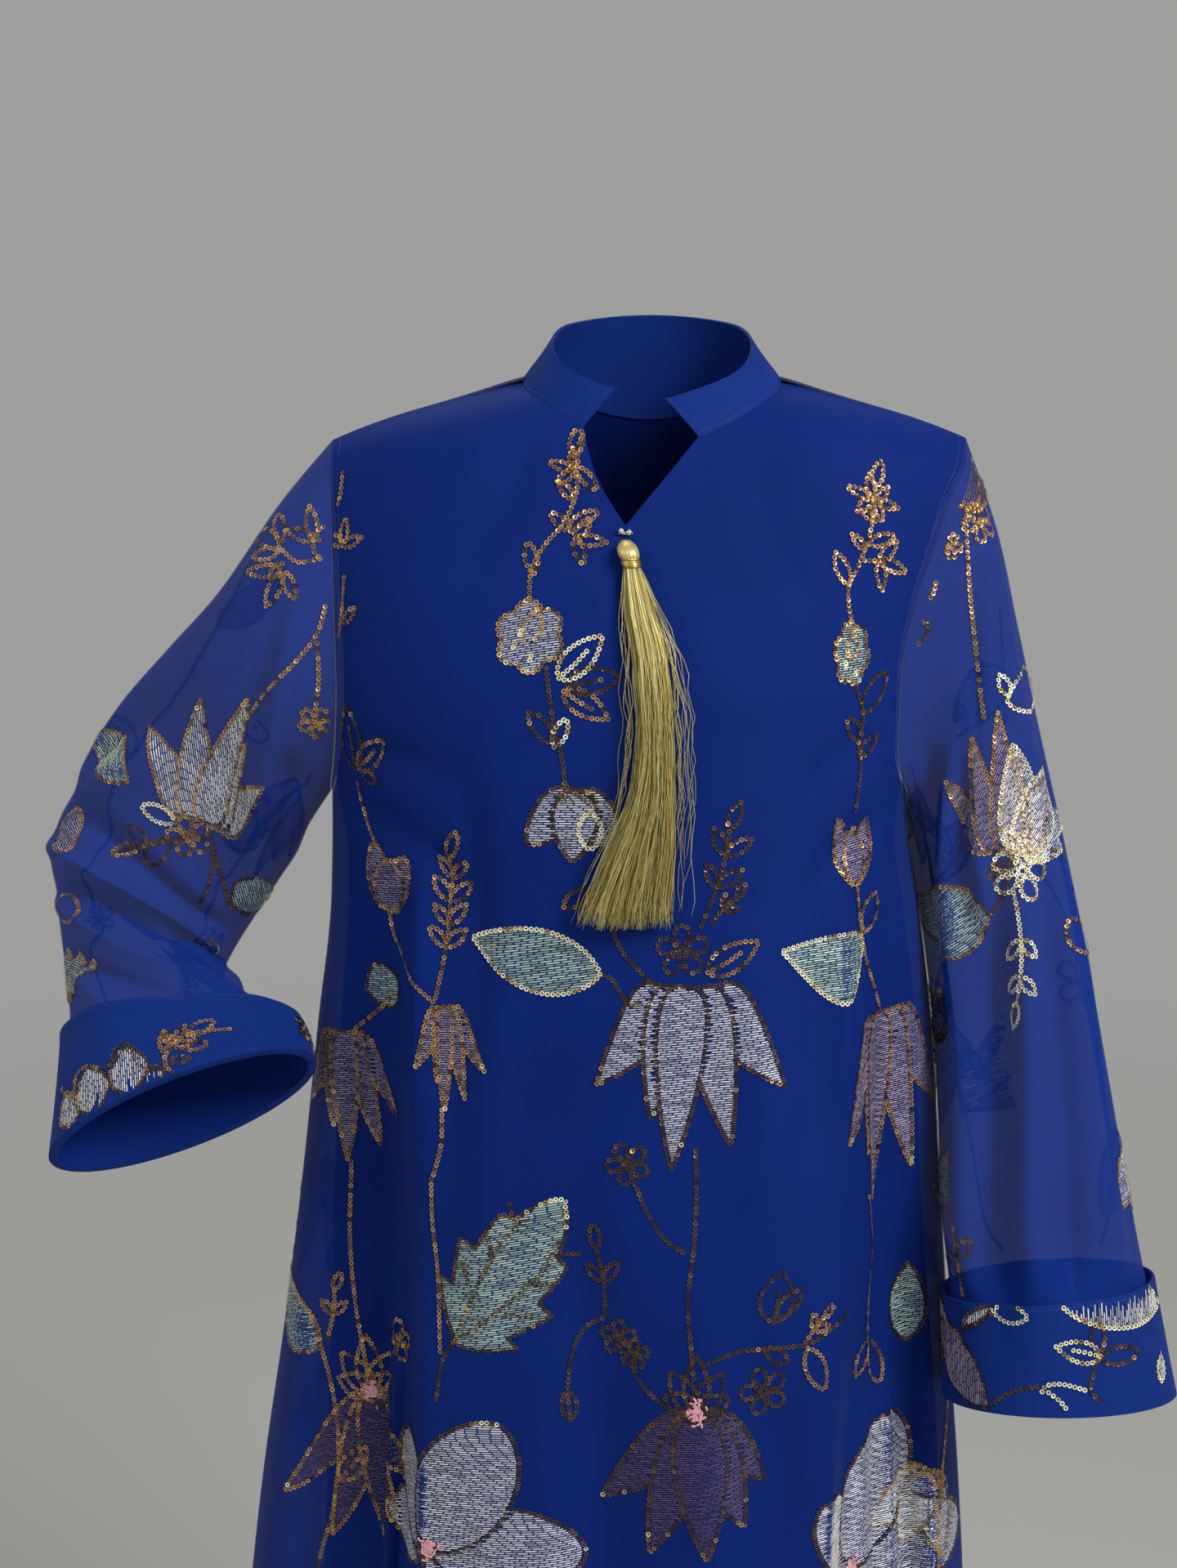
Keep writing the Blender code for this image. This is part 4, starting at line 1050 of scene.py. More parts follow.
EVEN = (Ramp(0.0, 0.75), Ramp(0.5, 1.0), Ramp(1.0, 1.25))
VARIED = (Ramp(0.0, 0.45), Ramp(0.5, 0.95), Ramp(1.0, 1.60))
SILKY = (Ramp(0.0, 0.50), Ramp(0.35, 0.88), Ramp(1.0, 1.45))
GLINTS = (Ramp(0.0, 0.35), Ramp(0.40, 0.80), Ramp(0.80, 1.15), Ramp(1.0, 2.2))


class Sequin(Enum):
    """The lustres of the ring sequins: copies of one gold sequin, painted darker or brighter for the light
    each ring catches, from painted shade on the bronze to a painted highlight on the gleam.
    """

    BRONZE = PieceFinish("sequin_bronze", (0.105, 0.055, 0.020), 0.55, 0.34, GLINTS, coat=0.2)
    COPPER = PieceFinish("sequin_copper", (0.43, 0.24, 0.085), 0.50, 0.36, VARIED, coat=0.1)
    GOLD = PieceFinish("sequin_gold_lit", (0.76, 0.53, 0.18), 0.50, 0.30, VARIED, coat=0.25)
    GLEAM = PieceFinish("sequin_gleam", (1.0, 0.92, 0.58), 0.10, 0.30, EVEN, coat=0.5)


class Thread(Enum):
    """The silks of the filling stitches."""

    SILVER = PieceFinish("silk_silver", (0.74, 0.75, 0.73), 0.25, 0.38, SILKY, sheen=0.2, grain=0.4)
    LILAC = PieceFinish("silk_lilac", (0.36, 0.28, 0.32), 0.22, 0.40, SILKY, sheen=0.1, grain=0.4)
    MAUVE = PieceFinish("silk_mauve", (0.115, 0.060, 0.085), 0.20, 0.40, SILKY, sheen=0.05, grain=0.4)
    TEAL = PieceFinish("silk_teal", (0.46, 0.62, 0.46), 0.20, 0.40, SILKY, sheen=0.1, grain=0.4)
    PINK = PieceFinish("silk_pink", (0.86, 0.42, 0.50), 0.05, 0.50, EVEN, sheen=0.2, grain=0.4)
    BLUE = PieceFinish("sewing_blue", (0.006, 0.04, 0.32), 0.00, 0.50, EVEN)


class Lustre(Enum):
    """How a line of sequins runs from dark painted shade to bright painted highlight: the level at which
    each lustre starts.
    """

    DARK = (0.90, 1.08, 1.24)
    WARM = (0.22, 1.02, 1.20)
    BRIGHT = (-0.20, 0.02, 0.30)


GOLD_THREAD = PieceFinish("gold_thread", (0.92, 0.76, 0.28), 0.60, 0.32, GLINTS, grain=0.2)
GOLD_WRAP = PieceFinish("gold_wrap", (0.85, 0.68, 0.26), 0.90, 0.24, GLINTS)
SILVER_BEAD = PieceFinish("silver_bead", (0.80, 0.78, 0.74), 0.90, 0.20, EVEN)


@dataclass(frozen=True)
class PhotoView:
    """The camera that sees the garment as the photograph does."""

    place: tuple[float, float, float] = (-0.041, -1.616, 0.076)
    pitch: float = math.radians(12.0)
    focal_px: float = 3019.0
    width_px: float = 1440.0
    height_px: float = 1919.0
    sensor: float = 36.0

    def project(self, points: np.ndarray) -> tuple[np.ndarray, np.ndarray]:
        """Pixel columns and rows of points in space.

        Args:
            points: Points, with x, y and z on the last axis.

        Returns:
            The pixel column and row of each point.
        """
        apart = points - np.array(self.place)
        ahead = apart[..., 1] * math.cos(self.pitch) - apart[..., 2] * math.sin(self.pitch)
        up = apart[..., 1] * math.sin(self.pitch) + apart[..., 2] * math.cos(self.pitch)
        across = 0.5 * self.width_px + self.focal_px * apart[..., 0] / ahead
        return across, 0.5 * self.height_px - self.focal_px * up / ahead

    def build(self) -> None:
        """Add the camera."""
        camera = bpy.data.cameras.new("photo_view")
        camera.sensor_width = self.sensor
        camera.sensor_fit = "AUTO"
        camera.lens = self.sensor * self.focal_px / self.height_px
        holder = bpy.data.objects.new("photo_view", camera)
        holder.location = self.place
        holder.rotation_euler = (math.radians(90.0) - self.pitch, 0.0, 0.0)
        bpy.context.scene.collection.objects.link(holder)
        bpy.context.scene.camera = holder


VIEW = PhotoView()


class Chart:
    """A net over one cloth's outer face, addressed by metres across and metres down."""

    far: float = 1e12
    least_slope: float = 0.05
    most_shift: float = 1.5
    probe: float = 0.004
    least_stretch: float = 0.35

    def __init__(self, points: np.ndarray, down: np.ndarray, inside: np.ndarray, middle: int,
                 out: float, pitch: float = 0.0025) -> None:
        """Even out a grid of points by arc length.

        Args:
            points: Rows of points across the cloth.
            down: Metres down the cloth of each row.
            inside: Whether each point lies within the cloth's seams.
            middle: Column that the distances across start from.
            out: 1 or -1, which turns the grid's normals outward.
            pitch: Size of the net's meshes.
        """
        self.pitch = pitch
        steps = np.linalg.norm(np.diff(points, axis=1), axis=2)
        across = np.concatenate([np.zeros((len(points), 1)), np.cumsum(steps, axis=1)], axis=1)
        across = across - across[:, middle:middle + 1]
        self.low = (float(across.min()), float(down[0]))
        count = int((across.max() - across.min()) / pitch) + 1
        places = self.low[0] + pitch * np.arange(count)
        rows = int((down[-1] - down[0]) / pitch) + 1
        levels = self.low[1] + pitch * np.arange(rows)
        even = np.empty((len(points), count, 4))
        for row in range(len(points)):
            for axis in range(3):
                even[row, :, axis] = np.interp(places, across[row], points[row, :, axis])
            within = (places >= across[row, 0]) & (places <= across[row, -1])
            even[row, :, 3] = np.interp(places, across[row], inside[row].astype(float)) * within
        upper = np.clip(np.searchsorted(down, levels, side="right") - 1, 0, len(down) - 2)
        share = ((levels - down[upper]) / (down[upper + 1] - down[upper]))[:, None, None]
        net = even[upper] * (1.0 - share) + even[upper + 1] * share
        self.net = net[..., :3]
        self.inside = net[..., 3]
        self.normals = grid_normals(self.net) * out
        self.pixel_x, self.pixel_y = VIEW.project(self.net)
        toward = np.array(VIEW.place) - self.net
        self.seen = (np.einsum("ijk,ijk->ij", self.normals, toward) > 0.0) & (self.inside > 0.5)

    def find(self, pixel_x: float, pixel_y: float) -> np.ndarray:
        """Place on the cloth that the photograph shows at a pixel.

        Args:
            pixel_x: Column of the pixel.
            pixel_y: Row of the pixel.

        Returns:
            Metres across and down.
        """
        gap = (self.pixel_x - pixel_x) ** 2 + (self.pixel_y - pixel_y) ** 2
        row, column = np.unravel_index(np.argmin(np.where(self.seen, gap, self.far)), gap.shape)
        row = int(np.clip(row, 1, gap.shape[0] - 2))
        column = int(np.clip(column, 1, gap.shape[1] - 2))
        slope = 0.5 * np.array([
            [pixels[row, column + 1] - pixels[row, column - 1],
             pixels[row + 1, column] - pixels[row - 1, column]]
            for pixels in (self.pixel_x, self.pixel_y)])
        miss = np.array([pixel_x - self.pixel_x[row, column], pixel_y - self.pixel_y[row, column]])
        shift = np.zeros(2)
        if abs(np.linalg.det(slope)) > self.least_slope:
            shift = np.clip(np.linalg.solve(slope, miss), -self.most_shift, self.most_shift)
        return np.array([self.low[0] + self.pitch * (column + shift[0]),
                         self.low[1] + self.pitch * (row + shift[1])])

    def read(self, places: np.ndarray) -> tuple[np.ndarray, np.ndarray, np.ndarray]:
        """Look places up on the cloth.

        Args:
            places: Metres across and down, one row each.

        Returns:
            Points, outward normals, and whether each place lies within the cloth.
        """
        column = (places[..., 0] - self.low[0]) / self.pitch
        row = (places[..., 1] - self.low[1]) / self.pitch
        rows, columns = self.inside.shape
        on_net = (column >= 0.0) & (column <= columns - 1) & (row >= 0.0) & (row <= rows - 1)
        column, row = np.clip(column, 0.0, columns - 1.001), np.clip(row, 0.0, rows - 1.001)
        c, r = column.astype(int), row.astype(int)
        u, v = (column - c)[..., None], (row - r)[..., None]

        def blend(field_values: np.ndarray) -> np.ndarray:
            """Read one of the net's fields between its four nearest knots."""
            above = field_values[r, c] * (1.0 - u) + field_values[r, c + 1] * u
            below = field_values[r + 1, c] * (1.0 - u) + field_values[r + 1, c + 1] * u
            return above * (1.0 - v) + below * v

        inside = blend(self.inside[..., None])[..., 0] > 0.5
        return blend(self.net), unit(blend(self.normals)), inside & on_net

    def frame_at(self, base: np.ndarray, tip: np.ndarray) -> tuple[np.ndarray, float]:
        """Local frame of a motif that grows from a base to a tip.

        Args:
            base: Place of the base.
            tip: Place of the tip.

        Returns:
            A matrix from the motif's own metres (right, up) to steps on the chart, and the
            motif's length, which is 0 where the cloth ends.
        """
        middle = 0.5 * (base + tip)
        step = self.probe
        probes = middle + step * np.array([[-1.0, 0.0], [1.0, 0.0], [0.0, -1.0], [0.0, 1.0]])
        points, normals, _ = self.read(probes)
        across = (points[1] - points[0]) / (2.0 * step)
        down = (points[3] - points[2]) / (2.0 * step)
        if min(np.linalg.norm(across), np.linalg.norm(down)) < self.least_stretch:
            return np.eye(2), 0.0
        normal = unit(normals.mean(axis=0))
        basis = np.stack([across, down], axis=1)
        up = basis @ (tip - base)
        length = max(float(np.linalg.norm(up)), 1e-6)
        up = up / length
        right = unit(np.cross(up, normal))
        solve = np.linalg.pinv(basis)
        return np.stack([solve @ right, solve @ up], axis=1), length


@dataclass(frozen=True)
class PanelCut:
    """Columns and rows of a body panel: a column for each point of its top edge."""

    face: Face
    steps: int
    shoulder_spans: int = 3
    neck_spans: int = 4
    slit_spans: int = 3
    back_neck_spans: int = 10
    blend_drop: float = 0.36

    def top_line(self) -> np.ndarray:
        """x and drop of the columns' first points, along the shoulders, the neck and the slit.

        Returns:
            A row for each column.
        """
        side = self.face.name.lower()
        right_tip = -getattr(ARMHOLE_LEVELS[0], "right_" + side)
        left_tip = getattr(ARMHOLE_LEVELS[0], "left_" + side)
        half = FORM.neck_half_width
        shoulder = self.shoulder_spans * self.steps
        line = [(x, 0.0) for x in [right_tip] + spread(right_tip, -half, shoulder)]
        if self.face is Face.FRONT:
            neck, slit = self.neck_spans * self.steps, self.slit_spans * self.steps
            line += [(x, FORM.neck_drop(x, self.face)) for x in neck_spread(-half, SLIT.right_x, neck)]
            line += [SLIT.right_edge(share) for share in spread(0.0, 1.0, slit)]
            line += [SLIT.left_edge(share) for share in spread(0.0, 1.0, slit)]
            line += [(x, FORM.neck_drop(x, self.face)) for x in neck_spread(SLIT.left_x, half, neck)]
        else:
            neck = self.back_neck_spans * self.steps
            line += [(x, FORM.neck_drop(x, self.face)) for x in neck_spread(-half, half, neck)]
        line += [(x, 0.0) for x in spread(half, left_tip, shoulder)]
        return np.array(line)

    def low_angles(self, drop: np.ndarray) -> np.ndarray:
        """Angles of the columns below the chest; the front's crowd together at the long folds.

        Args:
            drop: Metres below the neck point, for each row and column.

        Returns:
            Degrees across the panel, for each row and column.
        """
        if self.face is Face.BACK:
            return np.broadcast_to(np.linspace(-90.0, 90.0, drop.shape[1]), drop.shape)
        right_edge = table_curve(FRONT_FOLD_LEVELS, "right_x", drop)
        left_edge = table_curve(FRONT_FOLD_LEVELS, "left_x", drop)
        half = FORM.fold_half_width
        keys = [np.full(drop.shape, -90.0),
                FORM.angle_at(-(right_edge + half), drop), FORM.angle_at(-(right_edge - half), drop),
                np.zeros(drop.shape),
                FORM.angle_at(left_edge - half, drop), FORM.angle_at(left_edge + half, drop),
                np.full(drop.shape, 90.0)]
        angles = np.empty(drop.shape)
        first = 0
        for start, end, spans in zip(keys, keys[1:], (4, 2, 4, 4, 2, 4)):
            count = spans * self.steps
            cut = slice(first, first + count + 1)
            share = np.arange(count + 1) / count
            angles[:, cut] = start[:, cut] * (1.0 - share) + end[:, cut] * share
            first += count
        return angles

    def grid(self, levels: np.ndarray, margin: float = 0.0) -> np.ndarray:
        """Points of the panel, a row for each level.

        Args:
            levels: Drop of each row at the side edges.
            margin: How far the whole top edge is set down.

        Returns:
            Rows of points across the panel.
        """
        line = self.top_line()
        start = line[:, 1] + margin
        level = levels[:, None]
        drop = level + start * (1.0 - level / FORM.hem_drop) ** 3
        drop[:, [0, -1]] = level
        right = FORM.seam_angle(drop, Side.RIGHT, self.face)
        left = FORM.seam_angle(drop, Side.LEFT, self.face)
        start_right = FORM.seam_angle(start, Side.RIGHT, self.face)
        start_left = FORM.seam_angle(start, Side.LEFT, self.face)
        top_share = (FORM.angle_at(line[:, 0], start) - start_right) / (start_left - start_right)
        low_share = (self.low_angles(drop) + 90.0) / 180.0
        blend = smoothstep((drop - start) / (self.blend_drop - start))
        share = top_share + (low_share - top_share) * blend
        share[:, 0], share[:, -1] = 0.0, 1.0
        return FORM.point(right + (left - right) * share, drop, self.face)


def panel_outer(grid: np.ndarray, face: Face, inset: np.ndarray | float = 0.0
                ) -> tuple[np.ndarray, np.ndarray]:
    """Outer face of a body panel, drawn back at its seams, and its outward normals.

    Args:
        grid: Rows of points.
        face: Front or back.
        inset: Metres inward at each point.

    Returns:
        The face's points and its outward normals.
    """
    normals = grid_normals(grid) * face.value
    normals[np.abs(grid[..., 1]) < SEAM_GAP, 1] = 0.0
    normals = unit(normals)
    normals[1:-1, 1:-1] = unit(normals[1:-1, 1:-1] + normals[:-2, 1:-1] + normals[2:, 1:-1]
                               + normals[1:-1, :-2] + normals[1:-1, 2:])
    shift = np.array([0.0, face.value * 0.5 * SEAM_GAP, 0.0])
    return grid + shift - normals * inset, normals


@dataclass(frozen=True)
class Panel:
    """A sheer body panel: front or back."""

    cut: PanelCut
    rows: int = 176
    crowding: float = 0.4
    hem_edge: float = 0.001
    chart_columns: int = 401
    chart_rows: int = 500
    chart_top: float = 0.004
    chart_side: float = 0.8

    @property
    def name(self) -> str:
        """Name of the CAD node that the panel stands for."""
        return self.cut.face.name.lower()

    def levels(self) -> np.ndarray:
        """Drops of the rows, closer together at the shoulders.

        Returns:
            Metres below the neck point.
        """
        share = np.linspace(0.0, 1.0, self.rows + 1)
        levels = FORM.hem_drop * ((1.0 - self.crowding) * share + self.crowding * share ** 2)
        levels[-3], levels[-2] = FORM.hem_drop - HEM - self.hem_edge, FORM.hem_drop - HEM + self.hem_edge
        return levels

    def build(self) -> np.ndarray:
        """Make the panel and give its outer face.

        Returns:
            Points of the outer face.
        """
        levels = self.levels()
        outer, normals = panel_outer(self.cut.grid(levels), self.cut.face)
        edge = self.hem_edge
        folded = smoothstep((levels - FORM.hem_drop + HEM + edge) / (2.0 * edge))[:, None, None]
        piece = shell(self.name + "_cloth", outer, outer - normals * CLOTH * (1.0 + HEM_LAYERS * folded),
                      CHIFFON, False, self.cut.face is Face.FRONT)
        hem_row = int(np.searchsorted(levels, FORM.hem_drop - HEM))
        rows = [(outer[hem_row], normals[hem_row])]
        for side in (1, -2):
            upper = levels < FORM.underarm_drop
            rows.append((outer[upper, side], normals[upper, side]))
        topstitch(self.name + "_stitching", rows, "chiffon")
        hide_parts(self.name)
        return outer

    def chart(self) -> Chart:
        """Net over the panel for the embroidery.

        Returns:
            The net, with the middle of the panel at 0.
        """
        face = self.cut.face
        angles = np.linspace(-90.0, 90.0, self.chart_columns)
        drops = np.linspace(self.chart_top, FORM.hem_drop - self.hem_edge, self.chart_rows)
        angle, drop = np.meshgrid(angles, drops)
        points = FORM.point(angle, drop, face)
        inside = angle > FORM.seam_angle(drop, Side.RIGHT, face) + self.chart_side
        inside &= angle < FORM.seam_angle(drop, Side.LEFT, face) - self.chart_side
        line = self.cut.top_line()
        x = points[..., 0]
        edge = np.zeros(x.shape)
        for (x_a, drop_a), (x_b, drop_b) in zip(line, line[1:]):
            within = (x >= x_a) & (x < x_b)
            edge = np.where(within, drop_a + (drop_b - drop_a) * (x - x_a) / max(x_b - x_a, 1e-9), edge)
        inside &= drop > edge + self.chart_top
        return Chart(points, drops, inside, self.chart_columns // 2, face.value)


@dataclass(frozen=True)
class Lining:
    """The opaque lining inside a body panel, caught in its neck and shoulder seams."""

    cut: PanelCut
    first_drop: float = 0.0004
    last_drop: float = 1.310
    margin: float = 0.0004
    seam_inset: float = 0.0003
    seam_reach: float = 0.014
    fold_gap: float = 0.0055
    fold_reach: float = 0.020
    side_lead: float = 0.02
    side_reach: float = 0.06
    crowding: float = 0.4
    rows: int = 96

    def fold_limit(self, drop: np.ndarray, x: np.ndarray) -> np.ndarray:
        """Metres from the middle to the outer side of the long fold."""
        return FORM.fold_edges(drop, x < 0.0)[0] + FORM.fold_half_width

    def drawn_in(self, grid: np.ndarray, levels: np.ndarray) -> np.ndarray:
        """The sheer panel's points drawn in sideways to the width of the lining.

        Args:
            grid: Rows of points.
            levels: Drop of each row.

        Returns:
            The moved points.
        """
        x = grid[..., 0]
        drop = levels[:, None] + 0.0 * x
        keep = self.fold_limit(drop, x)
        outer, lining = FORM.half_width(drop, x), FORM.half_width(drop, x, LINING_LEVELS)
        beyond = np.maximum(np.abs(x) - keep, 0.0) * (lining - keep) / (outer - keep)
        drawn = grid.copy()
        drawn[..., 0] = np.sign(x) * (np.minimum(np.abs(x), keep) + beyond)
        return drawn

    def build(self) -> None:
        """Make the lining."""
        share = np.linspace(0.0, 1.0, self.rows + 1)
        crowded = (1.0 - self.crowding) * share + self.crowding * share ** 2
        levels = self.first_drop + (self.last_drop - self.first_drop) * crowded
        free = smoothstep((levels - levels[0]) / (LINING_FREE_DROP - levels[0]))
        grid = self.drawn_in(self.cut.grid(levels, self.margin), levels)
        beside = np.minimum(np.abs(grid[..., 0] - grid[:, :1, 0]), np.abs(grid[..., 0] - grid[:, -1:, 0]))
        from_top = np.abs(grid[..., 2] - grid[:1, :, 2])
        below = smoothstep((levels - FORM.underarm_drop + self.side_lead) / self.side_reach)[:, None]
        loose = np.maximum(smoothstep(beside / self.seam_reach), below)
        loose = loose * smoothstep(from_top / self.seam_reach)
        gap = (LINING_SEAM_GAP + (LINING_GAP - LINING_SEAM_GAP) * free)[:, None]
        x = grid[..., 0]
        keep = self.fold_limit(levels[:, None] + 0.0 * x, x)
        gap = gap + self.fold_gap * smoothstep((np.abs(x) - keep) / self.fold_reach + 1.0) * free[:, None]
        inset = CLOTH + self.seam_inset + (gap - self.seam_inset) * loose
        outer, normals = panel_outer(grid, self.cut.face, inset[..., None])
        node = "lining_" + self.cut.face.name.lower()
        piece = shell(node + "_cloth", outer, outer - normals * CLOTH, LINING, False,
                      self.cut.face is Face.FRONT)
        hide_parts(node)


class ProfileCorner(NamedTuple):
    """A corner of the cuff's section: distance out from the sleeve, and share of its height."""

    out: float
    share: float


@dataclass(frozen=True)
class Cuff:
    """A turned-back double cuff whose fold wraps the sleeve's end."""

    around: int = 144
    outer_steps: int = 16
    stitch_share: float = 0.955
    stitch_out: float = 0.0061
    chart_rows: int = 60
    section: tuple[ProfileCorner, ...] = table(
        ProfileCorner,
        (0.0040, 0.0), (0.0044, 0.35), (0.0062, 0.99), (0.0058, 1.0), (0.0046, 1.0), (0.0042, 0.99),
        (0.0026, 0.35), (0.0023, 0.03), (0.0016, 0.022), (-0.0010, 0.022), (-0.0016, 0.016),
        (-0.0016, 0.0), (-0.0010, -0.008), (0.0012, -0.012), (0.0034, -0.008),
    )

    def profile(self) -> list[ProfileCorner]:
        """The section with its long sides cut into short steps.

        Returns:
            Corners, one after the other.
        """
        corners = []
        for here, following in zip(self.section, self.section[1:] + self.section[:1]):
            count = max(1, int(round(abs(following.share - here.share) * self.outer_steps)))
            for step in range(count):
                share = step / count
                corners.append(ProfileCorner(here.out + (following.out - here.out) * share,
                                             here.share + (following.share - here.share) * share))
        return corners

    def build(self, sleeve: "Sleeve") -> None:
        """Make the cuff round its sleeve's end.

        Args:
            sleeve: The sleeve that the cuff ends.
        """
        corners = self.profile()
        positions = sleeve.last - np.array([corner.share for corner in corners])
        turns = full_turn(self.around)
        order = np.argsort(positions)
        grid, normals = sleeve.surface(np.maximum(positions[order], 0.0), turns)
        points = np.empty_like(grid)
        for place, corner_number in enumerate(order):
            points[corner_number] = grid[place] + normals[place] * corners[corner_number].out
        numbers = np.arange(points.shape[0] * self.around).reshape(-1, self.around)
        a, b = numbers, np.roll(numbers, -1, axis=1)
        c, d = np.roll(b, -1, axis=0), np.roll(a, -1, axis=0)
        faces = np.stack([a, b, c, d], axis=-1).reshape(-1, 4)
        if sleeve.side is Side.LEFT:
            faces = faces[:, ::-1]
        node = "cuff_" + sleeve.side.name.lower()
        piece = link_mesh(node + "_cloth", points.reshape(-1, 3), faces, [DOUBLE])
        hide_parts(node)
        edge, upward = sleeve.surface(np.array([sleeve.last - self.stitch_share]), turns)
        line = edge[0] + upward[0] * self.stitch_out
        topstitch(node + "_stitching", [(np.concatenate([line, line[:1]]),
                                         np.concatenate([upward[0], upward[0, :1]]))], "double_cloth")

    def chart(self, sleeve: "Sleeve") -> Chart:
        """Net over the cuff's outer layer for the embroidery, from its free edge to its fold.

        Args:
            sleeve: The sleeve that the cuff ends.

        Returns:
            The net, with the front's middle line at 0.
        """
        positions = np.linspace(sleeve.last - 1.0, sleeve.last, self.chart_rows)
        turns = np.radians(np.linspace(-90.0, 270.0, TUBE_COLUMNS))
        grid, normals = sleeve.surface(positions, turns)
        share = (sleeve.last - positions)[:, None, None]
        rows = self.section[:3]
        out = np.interp(share, [row.share for row in rows], [row.out for row in rows])
        points = grid + normals * out
        inside = np.ones(points.shape[:2], dtype=bool)
        inside[:2], inside[-2:] = False, False
        return Chart(points, run_along(points), inside, TUBE_COLUMNS // 2, sleeve.side.value)


@dataclass(frozen=True)
class Sleeve:
    """An unlined sleeve from the armhole seam to just inside the fold of its cuff."""

    side: Side
    rings: tuple[SleeveRing, ...]
    creases: tuple[Crease, ...]
    rows: int = 138
    around: int = 120
    armhole_gap: float = 0.0005
    underarm_step: float = 0.0012
    end_share: float = 0.030
    unit_around: float = 0.42
    unit_down: float = 0.058
    seam_step: float = 0.002
    seam_end: float = 1e-6
    seam_blend: float = 0.12
    slope_step: float = 0.02
    head_fade: float = 0.7
    cuff_flatness: float = 0.55
    cuff_fade_start: float = 1.4
    cuff_fade: float = 0.5
    chart_rows: int = 260
    chart_top: float = 0.006
    chart_foot: float = 0.003

    @property
    def last(self) -> float:
        """Number of the ring at the hem; the armhole seam is ring 0."""
        return float(len(self.rings))

    def seam_ring(self, turns: np.ndarray) -> np.ndarray:
        """Points of the sleeve's head, which follow the armhole seam of both panels.

        Args:
            turns: Angles round the sleeve, from the outer line over the front.

        Returns:
            A point for each angle.
        """
        step, foot = self.seam_step, FORM.underarm_drop - self.seam_end
        drops = np.minimum(FORM.underarm_drop * 0.5 * (1.0 - np.cos(turns)), foot)
        heads = []
        for face in Face:
            angle = FORM.seam_angle(drops, self.side, face)
            seam = FORM.smooth_point(angle, drops, face)
            seam[:, 1] += face.value * 0.5 * SEAM_GAP
            normals = FORM.normal(angle, np.maximum(drops, step), face)
            above, below = np.maximum(drops - step, 0.0), np.minimum(drops + step, foot)
            along = (FORM.smooth_point(FORM.seam_angle(below, self.side, face), below, face)
                     - FORM.smooth_point(FORM.seam_angle(above, self.side, face), above, face))
            away = unit(np.cross(along, normals))
            away = away * np.where(away[:, :1] * self.side.value < 0.0, -1.0, 1.0)
            share = (drops / FORM.underarm_drop)[:, None]
            heads.append(seam + away * self.armhole_gap + normals * self.underarm_step * share ** 2)
        front_share = smoothstep(0.5 + np.sin(turns) / self.seam_blend)[:, None]
        return heads[0] * front_share + heads[1] * (1.0 - front_share)

    def table_ring(self, ring: SleeveRing, turns: np.ndarray) -> np.ndarray:
        """Points of one sleeve ring, from its outer point over the front to the inner one.

        Args:
            ring: The ring.
            turns: Angles round the sleeve, from the outer line over the front.

        Returns:
            A point for each angle.
        """
        outer = np.array([ring.ox, ring.oy, ring.oz])
        inner = np.array([ring.ix, ring.iy, ring.iz])
        middle, half = 0.5 * (outer + inner), 0.5 * (inner - outer)
        rise = math.radians(ring.front_rise)
        forward = np.array([0.0, -math.cos(rise), math.sin(rise)])
        along = half / np.linalg.norm(half)
        forward = unit(forward - along * forward.dot(along)) * ring.half_depth
        return middle - np.outer(np.cos(turns), half) + np.outer(np.sin(turns), forward)

    def all_rings(self, turns: np.ndarray) -> np.ndarray:
        """The seam's ring and the table's rings, one row each."""
        return np.array([self.seam_ring(turns)] + [self.table_ring(row, turns) for row in self.rings])

    def surface(self, positions: np.ndarray, turns: np.ndarray) -> tuple[np.ndarray, np.ndarray]:
        """Creased outer face and outward normals.

        Args:
            positions: Ring numbers, rising.
            turns: Angles round the sleeve, from the outer line over the front.

        Returns:
            Points and normals, a row for each position.
        """
        rings, step = self.all_rings(turns), self.slope_step
        smooth = curve_through(rings, positions)
        down = (curve_through(rings, np.minimum(positions + step, self.last))
                - curve_through(rings, np.maximum(positions - step, 0.0)))
        beside = curve_through(self.all_rings(turns + step), positions)
        normals = unit(np.cross(beside - smooth, down)) * self.side.value
        share = (turns / (2.0 * math.pi))[None, :]
        place = positions[:, None]
        height = np.zeros(smooth.shape[:2])
        for lap in (-1.0, 0.0, 1.0):
            height = height + relief(self.creases, share + lap, place, (self.unit_around, self.unit_down))
        near_cuff = smoothstep((place - self.last + self.cuff_fade_start) / self.cuff_fade)
        fade = smoothstep(place / self.head_fade) * (1.0 - self.cuff_flatness * near_cuff)
        return smooth + normals * (height * fade)[..., None], normals

    def build(self) -> None:
        """Make the sleeve."""
        positions = np.linspace(0.0, self.last - self.end_share, self.rows + 1)
        turns = full_turn(self.around)
        outer, _ = self.surface(positions, turns)
        normals = grid_normals(outer, closed=True) * self.side.value
        node = "sleeve_" + self.side.name.lower()
        piece = shell(node + "_cloth", outer, outer - normals * CLOTH, SLEEVE_CHIFFON_PAINTED_BACKLIGHT, True,
                      self.side is Side.RIGHT)
        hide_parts(node)

    def chart(self) -> Chart:
        """Net over the sleeve for the embroidery, with the front's middle line at 0.

        Returns:
            The net.
        """
        positions = np.linspace(0.0, self.last - 1.0, self.chart_rows)
        points, _ = self.surface(positions, np.radians(np.linspace(-90.0, 270.0, TUBE_COLUMNS)))
        down = run_along(points)
        inside = np.ones(points.shape[:2], dtype=bool)
        inside[(down < self.chart_top) | (down > down[-1] - self.chart_foot)] = False
        return Chart(points, down, inside, TUBE_COLUMNS // 2, self.side.value)


